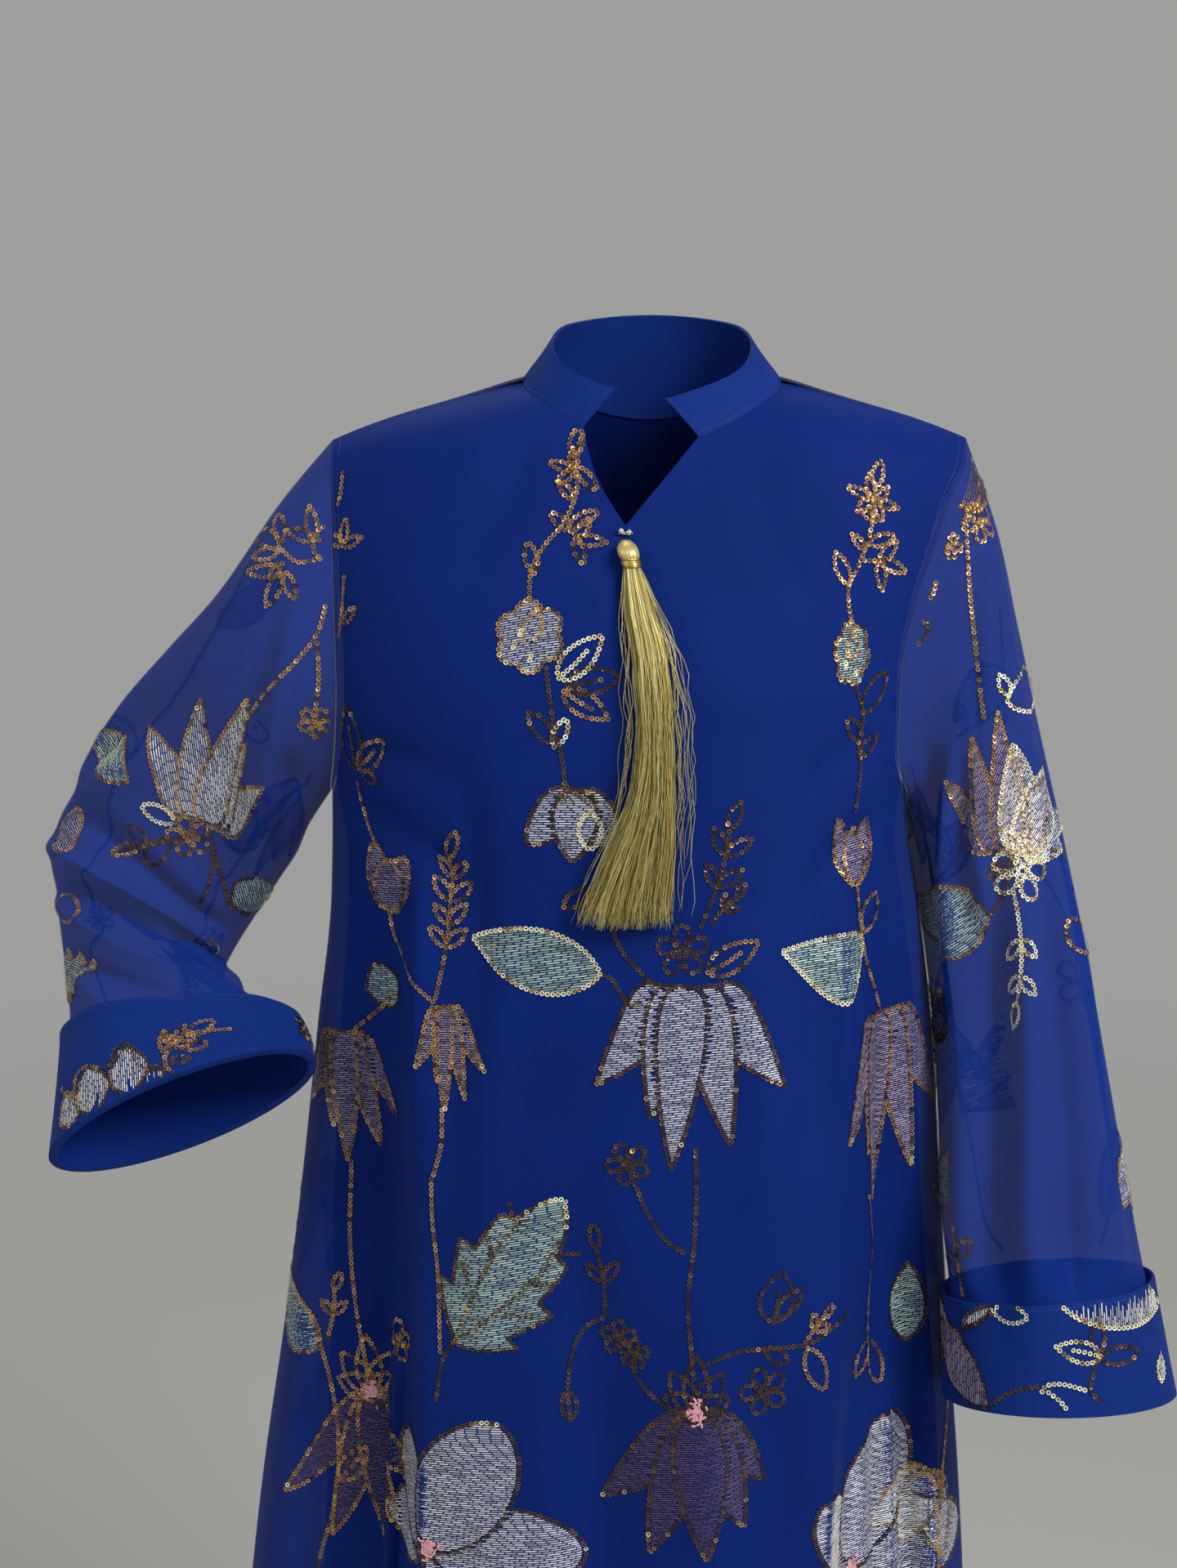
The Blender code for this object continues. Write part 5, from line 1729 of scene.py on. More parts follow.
@dataclass(frozen=True)
class Collar:
    """A stand collar on the neck seam, open over the slit, with a topstitched seam."""

    top_half_width: float = 0.065
    top_front: float = 0.050
    top_back: float = 0.056
    top_right_x: float = -0.024
    top_left_x: float = 0.007
    front_lift: float = -0.0006
    back_lift: float = -0.0014
    bow: float = 0.0012
    rows: int = 14
    stitch_share: float = 0.7

    def neck_seam(self, front: np.ndarray, back: np.ndarray, front_cut: PanelCut,
                  back_cut: PanelCut) -> np.ndarray:
        """Points of the neck seam from the slit over the wearer's right and the back to the slit.

        Args:
            front: Outer face of the front.
            back: Outer face of the back.
            front_cut: Columns of the front.
            back_cut: Columns of the back.

        Returns:
            The points, one row each.
        """
        start, neck = front_cut.shoulder_spans * front_cut.steps, front_cut.neck_spans * front_cut.steps
        right = front[0, start:start + neck + 1][::-1]
        first = start + neck + 2 * front_cut.slit_spans * front_cut.steps
        left = front[0, first:first + neck + 1][::-1]
        behind_start = back_cut.shoulder_spans * back_cut.steps
        behind = back[0, behind_start + 1:behind_start + back_cut.back_neck_spans * back_cut.steps]
        return np.concatenate([right, behind, left])

    def outer(self, seam: np.ndarray) -> np.ndarray:
        """Outer face of the collar, a row for each height from its top edge down to the seam.

        Args:
            seam: Points of the neck seam.

        Returns:
            Rows of points.
        """
        turns = np.degrees(np.arctan2(-seam[:, 0] / FORM.neck_half_width,
                                      -seam[:, 1] / FORM.neck_back_depth)) % 360.0
        top_start = math.degrees(math.asin(-self.top_right_x / self.top_half_width))
        top_end = 360.0 - math.degrees(math.asin(self.top_left_x / self.top_half_width))
        turn = top_start + (top_end - top_start) * (turns - turns[0]) / (turns[-1] - turns[0])
        angle = np.radians(turn)
        reach = np.where(np.cos(angle) > 0.0, self.top_front, self.top_back)
        high = np.stack([-self.top_half_width * np.sin(angle), -reach * np.cos(angle),
                         table_curve(COLLAR_RISES, "height", turn)], axis=-1)
        rise = unit(high - seam)
        behind = smoothstep(1.0 + 2.0 * seam[:, 1:2] / FORM.neck_back_depth)
        low = seam + rise * (self.front_lift + (self.back_lift - self.front_lift) * behind)
        away = unit(low * np.array([1.0, 1.0, 0.0]))
        level = np.linspace(1.0, 0.0, self.rows + 1)[:, None, None]
        return low + (high - low) * level + away * self.bow * np.sin(math.pi * level)

    def build(self, seam: np.ndarray) -> None:
        """Make the collar and its topstitching.

        Args:
            seam: Points of the neck seam.
        """
        outer = self.outer(seam)
        normals = grid_normals(outer)
        flip = bool(normals[0, len(seam) // 2, 1] < 0.0)
        if flip:
            normals = -normals
        piece = shell("collar_cloth", outer, outer - normals * COLLAR_CLOTH, DOUBLE, False, flip)
        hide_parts("collar")
        line = outer[-1] + (outer[-3] - outer[-1]) * self.stitch_share
        topstitch("collar_stitching", [(line, normals[-2])], "double_cloth")


class Stitches:
    """Slim raised stitches joined into one piece, with a slot for each thread."""

    slope: float = 0.12
    height: float = 0.45

    def __init__(self, name: str, threads: Sequence[Thread]) -> None:
        """Start without a stitch."""
        self.name = name
        self.threads = list(threads)
        self.rows: list[tuple[np.ndarray, ...]] = []

    def add(self, starts: np.ndarray, ends: np.ndarray, normals: np.ndarray, width: float,
            thread: Thread, lift: float = 0.0003) -> None:
        """Sew stitches of one thread from their starts to their ends.

        Args:
            starts: First points, one row each.
            ends: Last points, one row each.
            normals: Outward normals, one row each.
            width: Width of a stitch.
            thread: The silk.
            lift: Height of the stitches above the cloth.
        """
        count = len(starts)
        slot = self.threads.index(thread)
        self.rows.append((starts + normals * lift, ends + normals * lift, normals,
                          np.full(count, width), np.full(count, slot)))

    def build(self, slot: str = "") -> bpy.types.Object | None:
        """Make the piece: each stitch is a low ridge of even width with sloping ends.

        Args:
            slot: Slot of the CAD part that the piece stands on, if it needs one; not used.

        Returns:
            The new object, or None without a stitch.
        """
        if not self.rows:
            return None
        starts, ends, normals, widths, slots = (np.concatenate(column) for column in zip(*self.rows))
        across = unit(np.cross(ends - starts, normals)) * 0.5 * widths[:, None]
        first, last = starts + self.slope * (ends - starts), ends - self.slope * (ends - starts)
        top = normals * self.height * widths[:, None]
        points = np.stack([first - across, ends - across, ends, last + across, starts + across, starts,
                           first + top, last + top], axis=1)
        quads = np.array([[6, 7, 1, 0], [4, 3, 7, 6]])
        tips = np.array([[5, 6, 0], [3, 2, 7]])
        shift = 8 * np.arange(len(starts))[:, None, None]
        faces = (quads[None] + shift).reshape(-1, 4).tolist() + (tips[None] + shift).reshape(-1, 3).tolist()
        slots = np.tile(np.repeat(slots, 2), 2)
        piece = link_mesh(self.name, points.reshape(-1, 3), faces,
                          [thread.value for thread in self.threads], slots, False)
        return piece


def topstitch(name: str, lines: Sequence[tuple[np.ndarray, np.ndarray]], slot: str,
              pitch: float = 0.0028, width: float = 0.0005, share: float = 0.72) -> bpy.types.Object:
    """Sew rows of fine stitches.

    Args:
        name: Name of the piece.
        lines: Points and normals of each row.
        slot: Slot of the cloth that carries the rows; not used.
        pitch: Distance from one stitch to the next.
        width: Width of a stitch.
        share: Share of the pitch that a stitch takes.

    Returns:
        The joined stitches.
    """
    threads = Stitches(name, [Thread.BLUE])
    for line, normals in lines:
        run = run_along(line)
        starts = np.arange(pitch, run[-1] - pitch, pitch)
        ends = starts + share * pitch
        threads.add(points_at(starts, run, line), points_at(ends, run, line),
                    unit(points_at(starts, run, normals)), width, Thread.BLUE)
    return threads.build(slot)


class Sequins:
    """Cupped ring sequins joined into one piece."""

    sides: int = 7
    radius: float = 0.00170
    hole: float = 0.00076
    cup: float = 0.00018

    def __init__(self, name: str) -> None:
        """Start without a sequin."""
        self.name = name
        self.rows: list[tuple[np.ndarray, ...]] = []

    def add(self, centres: np.ndarray, normals: np.ndarray, along: np.ndarray,
            lustres: np.ndarray) -> None:
        """Sew sequins with their faces along the normals."""
        self.rows.append((centres, normals, along, lustres))

    def build(self) -> bpy.types.Object | None:
        """Make the piece.

        Returns:
            The new object, or None without a sequin.
        """
        if not self.rows:
            return None
        centres, normals, along, lustres = (np.concatenate(column) for column in zip(*self.rows))
        side = unit(np.cross(normals, along))
        along = np.cross(side, normals)
        turns = full_turn(self.sides)
        spokes = (np.cos(turns)[None, :, None] * along[:, None]
                  + np.sin(turns)[None, :, None] * side[:, None])
        rim = centres[:, None] + spokes * self.radius + normals[:, None] * self.cup
        inner = centres[:, None] + spokes * self.hole
        points = np.concatenate([rim, inner], axis=1)
        number = np.arange(self.sides)
        following = (number + 1) % self.sides
        facets = np.stack([number, following, following + self.sides, number + self.sides], axis=-1)
        faces = facets[None] + 2 * self.sides * np.arange(len(centres))[:, None, None]
        # One slot for each lit or shaded copy of the sequin: painted reflection, picked by each sequin's
        # level.
        return link_mesh(self.name, points.reshape(-1, 3), faces.reshape(-1, 4),
                         [lustre.value for lustre in Sequin], np.repeat(lustres, self.sides), False)


def inside_outline(points: np.ndarray, outline: np.ndarray) -> np.ndarray:
    """Whether points lie inside a closed outline.

    Args:
        points: Points, one row each.
        outline: Corners of the outline.

    Returns:
        True for each point inside.
    """
    x, y = points[:, 0][:, None], points[:, 1][:, None]
    x_a, y_a = outline[:, 0], outline[:, 1]
    x_b, y_b = np.roll(x_a, -1), np.roll(y_a, -1)
    straddles = (y_a > y) != (y_b > y)
    rise = np.where(y_b == y_a, TINY, y_b - y_a)
    crossing = x_a + (y - y_a) * (x_b - x_a) / rise
    return (np.sum(straddles & (x < crossing), axis=1) % 2) == 1


@dataclass(frozen=True)
class Plot:
    """Place of a motif on a chart: its base, its own axes in chart steps, and its length."""

    base: np.ndarray
    axes: np.ndarray
    length: float

    def places(self, local: np.ndarray) -> np.ndarray:
        """Chart places of points in the motif's own metres."""
        return self.base + local @ self.axes.T

    def grain(self) -> float:
        """Turn from the motif's own right to the cloth's way across, in degrees."""
        along = np.linalg.pinv(self.axes) @ np.array([1.0, 0.0])
        return math.degrees(math.atan2(along[1], along[0]))

    def turned(self, local_base: tuple[float, float], degrees: float, length: float) -> "Plot":
        """A plot that starts at a point of this one, turned to the right and with its own length.

        Args:
            local_base: Its base, in this motif's own metres.
            degrees: Turn to the right.
            length: Its length.

        Returns:
            The new plot.
        """
        turn = math.radians(degrees)
        up = self.axes @ np.array([math.sin(turn), math.cos(turn)])
        right = self.axes @ np.array([math.cos(turn), -math.sin(turn)])
        start = self.places(np.array([local_base]))[0]
        return Plot(start, np.stack([right, up], axis=1), length)


class Needle:
    """Sews sequin chains and filled shapes onto one cloth."""

    pitch: float = 0.0034
    lift: float = 0.0006
    fineness: int = 6
    run_share: float = 0.4
    longest_run: int = 4
    ahead: float = 0.001
    least_ahead: float = 1e-5
    tilt: float = 0.12
    lean: float = 0.10
    row_edge: float = 0.0008
    least_row: float = 0.0012
    row_shift: float = 0.37
    row_scatter: float = 0.15
    stitch_scatter: float = 0.07
    least_stitch: float = 0.0009
    stitch_gap: float = 0.0002
    satin_least: float = 0.0003
    satin_most: float = 0.03

    def __init__(self, name: str, chart: Chart, rng: np.random.Generator, grain_turn: float) -> None:
        """Start on an empty cloth whose filling rows turn by some degrees from straight across.

        Args:
            name: Name of the cloth.
            chart: Net over the cloth.
            rng: The scene's stream of random numbers.
            grain_turn: Degrees from straight across.
        """
        self.chart = chart
        self.grain_turn = grain_turn
        self.rng = rng
        self.sequins = Sequins(name + "_sequins")
        self.stitches = Stitches(name + "_silk", list(Thread))

    def build(self) -> list[bpy.types.Object]:
        """Make the two joined pieces."""
        pieces = [self.sequins.build(), self.stitches.build()]
        return [piece for piece in pieces if piece is not None]

    def levels(self, count: int) -> np.ndarray:
        """Brightness of each sequin of a chain, in short runs: painted reflection that picks its lit or
        shaded copy.
        """
        runs = np.repeat(self.rng.random(count), self.rng.integers(1, self.longest_run + 1, count))
        return self.run_share * runs[:count] + (1.0 - self.run_share) * self.rng.random(count)

    def chain(self, plot: Plot, line: np.ndarray, lustre: Lustre, closed: bool = False,
              hidden: Sequence[np.ndarray] = (), shine: np.ndarray | float = 0.0) -> None:
        """Sew a chain of sequins.

        Args:
            plot: The motif's place.
            line: Points of the chain, in the motif's own metres.
            lustre: How dark or bright the sequins are.
            closed: Whether the chain joins its start.
            hidden: Outlines that cover the chain.
            shine: Extra brightness at each of the line's points, a painted highlight.
        """
        shine = np.broadcast_to(shine, len(line))
        if closed:
            line = np.concatenate([line, line[:1]])
            shine = np.concatenate([shine, shine[:1]])
        fine = np.linspace(0.0, len(line) - 1.0, self.fineness * (len(line) - 1) + 1)
        knots = np.arange(len(line))
        shine, line = np.interp(fine, knots, shine), points_at(fine, knots, line)
        run = run_along(self.chart.read(plot.places(line))[0])
        count = max(2, int(round(run[-1] / self.pitch)))
        steps = (np.arange(count) + (0.0 if closed else 0.5)) * run[-1] / count
        spots = points_at(steps, run, line)
        ahead, back = points_at(steps + self.ahead, run, line), points_at(steps - self.ahead, run, line)
        levels = self.levels(count) + np.interp(steps, run, shine)
        shown = np.ones(count, dtype=bool)
        for outline in hidden:
            shown &= ~inside_outline(spots, outline)
        self.sew(plot.places(spots[shown]), plot.places((ahead - back)[shown] + spots[shown]),
                 levels[shown], lustre)

    def sew(self, places: np.ndarray, ahead: np.ndarray, levels: np.ndarray, lustre: Lustre) -> None:
        """Sew sequins at chart places, each tilted a little its own way.

        Args:
            places: Chart places of the sequins.
            ahead: Chart places a little farther along the chain.
            levels: Brightness of each sequin.
            lustre: How dark or bright the sequins are.
        """
        if len(places) == 0:
            return
        points, normals, inside = self.chart.read(places)
        onward, _, _ = self.chart.read(ahead)
        along = onward - points
        inside &= np.linalg.norm(along, axis=1) > self.least_ahead
        points, normals, along = points[inside], normals[inside], unit(along[inside])
        if len(points) == 0:
            return
        side = np.cross(normals, along)
        lean = self.rng.normal(0.0, self.tilt, (len(points), 2)) + np.array([self.lean, 0.0])
        tilted = unit(normals - along * lean[:, :1] + side * lean[:, 1:])
        # Painted reflection: brighter levels take the lit copies of the sequin, darker ones the shaded
        # copies.
        slots = np.sum(levels[inside][:, None] >= np.array(lustre.value)[None, :], axis=1)
        self.sequins.add(points + normals * self.lift, tilted, along, slots)

    def fill(self, plot: Plot, outline: np.ndarray, thread: Thread, slant: float = 0.0,
             hidden: Sequence[np.ndarray] = (), rows: float = 0.00150,
             stitch: float = 0.0080, width: float = 0.00074) -> None:
        """Fill an outline with rows of short stitches.

        Args:
            plot: The motif's place.
            outline: Corners of the closed outline, in the motif's own metres.
            thread: The silk.
            slant: Degrees by which the rows rise from the cloth's way across.
            hidden: Outlines that cover the filling.
            rows: Distance of the rows.
            stitch: Length of a stitch with its gap.
            width: Width of a stitch.
        """
        turn = math.radians(plot.grain() + slant + self.grain_turn)
        spin = np.array([[math.cos(turn), math.sin(turn)], [-math.sin(turn), math.cos(turn)]])
        level = outline @ spin.T
        (x_a, y_a), (x_b, y_b) = level.T, np.roll(level, -1, axis=0).T
        starts, ends = [], []
        for number, height in enumerate(np.arange(y_a.min() + 0.5 * rows, y_a.max(), rows)):
            cut = (y_a > height) != (y_b > height)
            crossings = np.sort(x_a[cut] + (height - y_a[cut]) * (x_b[cut] - x_a[cut])
                                / (y_b[cut] - y_a[cut]))
            for low, high in zip(crossings[0::2], crossings[1::2]):
                low, high = low + self.row_edge, high - self.row_edge
                if high - low < self.least_row:
                    continue
                shift = (self.row_shift * number) % 1.0 + self.row_scatter * self.rng.random()
                knots = np.arange(low - stitch * shift, high + stitch, stitch)
                scatter = self.rng.normal(0.0, self.stitch_scatter * stitch, len(knots))
                knots = np.clip(knots + scatter, low, high)
                kept = np.diff(knots) > self.least_stitch
                heights = np.full(len(knots) - 1, height)
                starts.append(np.stack([knots[:-1], heights], axis=-1)[kept])
                ends.append(np.stack([knots[1:] - self.stitch_gap, heights], axis=-1)[kept])
        if not starts:
            return
        starts, ends = np.concatenate(starts) @ spin, np.concatenate(ends) @ spin
        shown = np.ones(len(starts), dtype=bool)
        for cover in hidden:
            shown &= ~inside_outline(0.5 * (starts + ends), cover)
        self.satin(plot, starts[shown], ends[shown], width, thread)

    def satin(self, plot: Plot, starts: np.ndarray, ends: np.ndarray, width: float,
              thread: Thread, lift: float = 0.0004) -> None:
        """Sew stitches between points given in the motif's own metres.

        Args:
            plot: Where the motif lies.
            starts: First points, one row each.
            ends: Last points, one row each.
            width: Width of a stitch.
            thread: The silk.
            lift: Height of the stitches above the cloth.
        """
        if len(starts) == 0:
            return
        start_points, normals, start_inside = self.chart.read(plot.places(starts))
        end_points, _, end_inside = self.chart.read(plot.places(ends))
        apart = np.linalg.norm(end_points - start_points, axis=1)
        inside = start_inside & end_inside & (apart > self.satin_least) & (apart < self.satin_most)
        self.stitches.add(start_points[inside], end_points[inside], normals[inside], width, thread, lift)


def petal(length: float, width: float, degrees: float = 0.0, bend: float = 0.0,
          base: tuple[float, float] = (0.0, 0.0), round_base: float = 0.65,
          sharp_tip: float = 0.8, count: int = 22) -> np.ndarray:
    """Closed outline of a petal or leaf that grows from its base.

    Args:
        length: Distance from base to tip.
        width: Greatest width.
        degrees: Turn to the right from straight up.
        bend: How far the tip swings to the right.
        base: Place of the base.
        round_base: Below 1 for a round base.
        sharp_tip: Below 1 for a round tip, 1 for a straight-sided one.
        count: Steps on each side.

    Returns:
        Points from the base up the right side and down the left one.
    """
    share = np.clip(0.5 - 0.5 * np.cos(np.linspace(0.0, math.pi, count + 1)), 0.0, 1.0)
    best = round_base / (round_base + sharp_tip)
    swell = (share / best) ** round_base * ((1.0 - share) / (1.0 - best)) ** sharp_tip
    middle = bend * share ** 2
    right = np.stack([middle + 0.5 * width * swell, length * share], axis=-1)
    left = np.stack([middle - 0.5 * width * swell, length * share], axis=-1)[::-1]
    outline = np.concatenate([right, left[1:-1]])
    turn = math.radians(degrees)
    spin = np.array([[math.cos(turn), -math.sin(turn)], [math.sin(turn), math.cos(turn)]])
    return outline @ spin + np.array(base)


def painted_tip_highlight(outline: np.ndarray, amount: float) -> np.ndarray:
    """Painted highlight: extra brightness that grows toward the farthest point of an outline."""
    reach = np.linalg.norm(outline - outline[0], axis=1)
    return amount * smoothstep((reach / reach.max() - 0.72) / 0.28)


class Style(NamedTuple):
    """Width share, silk and sequin lustre of one motif."""

    width: float
    silk: Thread
    lustre: Lustre


class Florist:
    """Draws each kind of flower, leaf and stem with a needle."""

    def __init__(self, needle: Needle) -> None:
        """Work with one needle on its cloth."""
        self.needle = needle
        self.rng = needle.rng

    def edge(self, plot: Plot, outline: np.ndarray, style: Style, highlight_amount: float = 0.0) -> None:
        """Sew a closed chain that brightens toward its tip with a painted highlight."""
        self.needle.chain(plot, outline, style.lustre, closed=True, shine=painted_tip_highlight(outline, highlight_amount))

    def loop(self, plot: Plot, style: Style) -> None:
        """A narrow open leaf."""
        outline = petal(plot.length, 0.86 * plot.length * style.width, round_base=0.75, sharp_tip=0.80)
        self.edge(plot, outline, style, 0.15)

    def open_leaf(self, plot: Plot, style: Style) -> None:
        """An open pointed leaf with a vein.

        Args:
            plot: Where the motif lies.
            style: Its width, silk and lustre.
        """
        outline = petal(plot.length, plot.length * style.width, sharp_tip=0.95)
        self.edge(plot, outline, style, 0.2)
        vein = np.array([[0.0, 0.05], [0.02, 0.35], [0.0, 0.68]]) * plot.length
        self.needle.chain(plot, vein, style.lustre)

    def leaf(self, plot: Plot, style: Style) -> None:
        """A pointed leaf filled with long stitches.

        Args:
            plot: Where the motif lies.
            style: Its width, silk and lustre.
        """
        outline = petal(plot.length, plot.length * style.width, bend=0.06 * plot.length,
                        round_base=0.75, sharp_tip=1.0)
        self.needle.fill(plot, outline, style.silk, slant=5.0, stitch=0.0100, width=0.00080)
        self.edge(plot, outline, style, 0.1)

    def tucked_leaf(self, plot: Plot, style: Style) -> None:
        """A filled leaf that ends broad where a fold takes its base away.

        Args:
            plot: Where the motif lies.
            style: Its width, silk and lustre.
        """
        outline = petal(plot.length, plot.length * style.width, round_base=0.16, sharp_tip=1.0)
        self.needle.fill(plot, outline, style.silk, slant=-3.0, stitch=0.0100, width=0.00080)
        self.edge(plot, outline, style)

    def serrated(self, plot: Plot, style: Style) -> None:
        """A lobed leaf with straight filling and vein chains.

        Args:
            plot: Where the motif lies.
            style: Its width, silk and lustre.
        """
        length, half, lobes = plot.length, 0.5 * plot.length * style.width, 4
        share = np.linspace(0.0, 1.0, 60)
        swell = (share / 0.38) ** 0.6 * ((1.0 - share) / 0.62) ** 0.98
        tooth = 0.80 + 0.36 * ((share * lobes + 0.15) % 1.0) ** 1.4
        side = half * swell * tooth
        right = np.stack([side, share * length], axis=-1)
        left = np.stack([-side, np.clip(share + 0.03, 0.0, 1.0) * length], axis=-1)[::-1]
        outline = np.concatenate([right, left[1:-1]])
        self.needle.fill(plot, outline, style.silk, slant=6.0, stitch=0.0100, width=0.00080)
        self.edge(plot, outline, style, 0.8)
        for lean in (-1.0, 1.0):
            vein = np.array([[0.0, 0.0], [0.16 * lean * style.width, 0.35],
                             [0.24 * lean * style.width, 0.62], [0.18 * lean * style.width, 0.82]])
            self.needle.chain(plot, vein * length, style.lustre)
        for rung in (0.30, 0.52, 0.72):
            for lean in (-1.0, 1.0):
                start = np.array([0.2 * lean * style.width, rung])
                end = start + np.array([0.22 * lean * style.width, 0.10])
                self.needle.chain(plot, np.array([start, end]) * length, style.lustre)

    def blossom(self, plot: Plot, style: Style) -> None:
        """Five loops round a small ring, centred on the plot's base.

        Args:
            plot: Where the motif lies.
            style: Its width, silk and lustre.
        """
        start = 360.0 * self.rng.random()
        for number in range(5):
            degrees = start + 72.0 * number
            turn = math.radians(degrees)
            base = (0.22 * plot.length * math.sin(turn), 0.22 * plot.length * math.cos(turn))
            outline = petal(0.80 * plot.length, 0.62 * plot.length, degrees, base=base,
                            round_base=0.7, sharp_tip=0.45, count=12)
            self.edge(plot, outline, style)
        self.edge(plot, 0.16 * plot.length * on_circle(full_turn(8)), style)

    def trefoil(self, plot: Plot, style: Style) -> None:
        """Three pointed loops that open from the plot's base.

        Args:
            plot: Where the motif lies.
            style: Its width, silk and lustre.
        """
        for degrees, share in ((0.0, 1.0), (66.0, 0.88), (-62.0, 0.84)):
            outline = petal(share * plot.length, 0.34 * plot.length, degrees, sharp_tip=0.9, count=12)
            self.edge(plot, outline, style, 0.1)

    def posy(self, plot: Plot, style: Style) -> None:
        """A filled flower with six scallops, two ribs and a few bright sequins that paint in highlights.

        Args:
            plot: Where the motif lies.
            style: Its width, silk and lustre.
        """
        turns = full_turn(72)
        scallops = 0.80 + 0.24 * np.abs(np.sin(3.0 * turns + 0.4)) ** 0.8
        half = 0.5 * plot.length
        outline = half * np.stack([style.width * scallops * np.sin(turns),
                                   1.0 - scallops * np.cos(turns)], axis=-1)
        self.needle.fill(plot, outline, style.silk, slant=3.0)
        # Painted highlight: the edge chain brightens toward the flower's top, and the bright spot sequins
        # below are painted glints.
        self.needle.chain(plot, outline, style.lustre, closed=True,
                          shine=0.6 * smoothstep((outline[:, 1] / plot.length - 0.72) / 0.2))
        for lean in (-1.0, 1.0):
            rib = half * np.array([[0.0, 0.15], [0.30 * lean * style.width, 0.7],
                                   [0.12 * lean * style.width, 1.25]])
            self.needle.chain(plot, rib, style.lustre)
        spots = half * np.array([[-0.25, 1.45], [0.30, 0.85], [0.36, 1.25]]) * np.array([style.width, 1.0])
        for spot in spots:
            self.needle.chain(plot, spot + np.array([[0.0, 0.0], [0.0, 0.0055]]), Lustre.BRIGHT)

    def sprig(self, plot: Plot, style: Style) -> None:
        """A stem with pairs of small loops and one at its tip.

        Args:
            plot: Where the motif lies.
            style: Its width, silk and lustre.
        """
        length = plot.length
        sway = 0.06 * length * (1.0 if self.rng.random() < 0.5 else -1.0)
        share = np.linspace(0.0, 0.78, 12)
        stem = np.stack([sway * np.sin(math.pi * share), share * length], axis=-1)
        self.needle.chain(plot, stem, style.lustre)
        small = float(np.clip(0.24 * length, 0.0095, 0.0155))
        pairs = max(1, int(round(length / (1.7 * small))) - 1)
        for number in range(pairs):
            height = (0.26 + 0.50 * (number + 0.3) / pairs) * length
            base = (sway * math.sin(math.pi * height / length), height)
            for lean in (-1.0, 1.0):
                twig = plot.turned(base, lean * (38.0 + 10.0 * self.rng.random()),
                                   small * (0.95 + 0.3 * self.rng.random()))
                self.loop(twig, style._replace(width=0.46))
        top = plot.turned((stem[-1][0], stem[-1][1]), 12.0 * self.rng.normal(), 1.15 * small)
        self.loop(top, style._replace(width=0.50))

    def fan(self, plot: Plot, style: Style, petals: Sequence[tuple[float, ...]],
            slant: float, sharp_tip: float = 0.8, round_base: float = 0.6) -> list[np.ndarray]:
        """Overlapping filled petals, the first one on top.

        Args:
            plot: The flower's place.
            style: The flower's style; each petal takes its silk and lustre.
            petals: Turn, length share, width share and swing of each petal, and, where it does
                not grow from the base itself, its foot's share to the right.
            slant: Direction of the filling's rows.
            sharp_tip: Sharpness of the tips.
            round_base: Roundness of the bases.

        Returns:
            The petals' outlines.
        """
        covers: list[np.ndarray] = []
        for degrees, length, width, swing, *foot in petals:
            outline = petal(length * plot.length, width * plot.length, degrees, swing * plot.length,
                            base=(sum(foot) * plot.length, 0.0), round_base=round_base,
                            sharp_tip=sharp_tip)
            inner = outline.mean(axis=0) + (outline - outline.mean(axis=0)) * 0.97
            self.needle.fill(plot, inner, style.silk, slant=slant, hidden=covers)
            self.needle.chain(plot, outline, style.lustre, closed=True, hidden=covers,
                              shine=painted_tip_highlight(outline, 0.34))
            covers.append(outline)
        return covers

    def lily(self, plot: Plot, style: Style) -> None:
        """A long flower of pointed petals under a domed top.

        Args:
            plot: Where the motif lies.
            style: Its width, silk and lustre.
        """
        w = style.width
        petals = [(3.0, 1.00, 0.27 * w, 0.00, 0.02 * w), (-8.0 * w, 0.88, 0.26 * w, -0.04, -0.08 * w),
                  (8.0 * w, 0.73, 0.26 * w, 0.02, 0.07 * w), (20.0 * w, 0.63, 0.29 * w, 0.14, 0.13 * w),
                  (-22.0 * w, 0.66, 0.29 * w, -0.16, -0.14 * w)]
        self.fan(plot, style, petals, slant=0.0, sharp_tip=0.90, round_base=0.30)

    def tulip(self, plot: Plot, style: Style) -> None:
        """Three broad petals that open from a small calyx.

        Args:
            plot: Where the motif lies.
            style: Its width, silk and lustre.
        """
        w = style.width
        petals = [(0.0, 0.92, 0.52 * w, 0.0), (-30.0 * w, 1.0, 0.50 * w, -0.08),
                  (30.0 * w, 0.96, 0.50 * w, 0.08)]
        self.fan(plot, style, petals, slant=-3.0, sharp_tip=0.85, round_base=0.5)
        for lean in (-1.0, 1.0):
            self.loop(plot.turned((0.0, 0.0), 62.0 * lean, 0.30 * plot.length),
                      style._replace(width=0.45))

    def bud(self, plot: Plot, style: Style) -> None:
        """A closed bud with a front petal over two side ones.

        Args:
            plot: Where the motif lies.
            style: Its width, silk and lustre.
        """
        w = style.width
        petals = [(4.0, 0.80, 0.56 * w, 0.0), (-20.0, 1.0, 0.52 * w, 0.08),
                  (24.0, 0.94, 0.50 * w, -0.06)]
        self.fan(plot, style, petals, slant=3.0, sharp_tip=0.7, round_base=0.5)

    def bloom(self, plot: Plot, style: Style) -> None:
        """A wide open flower with round petals and a knotted centre.

        Args:
            plot: Where the motif lies.
            style: Its width, silk and lustre.
        """
        w = style.width
        petals = [(6.0, 0.95, 0.62 * w, 0.05), (62.0, 0.98, 0.56 * w, 0.10),
                  (-50.0, 0.74, 0.50 * w, -0.08), (112.0, 0.72, 0.46 * w, 0.08),
                  (-98.0, 0.60, 0.42 * w, -0.06), (34.0, 0.62, 0.40 * w, 0.0)]
        self.fan(plot, style, petals, slant=0.0, sharp_tip=0.6, round_base=0.6)
        self.knot(plot, style)

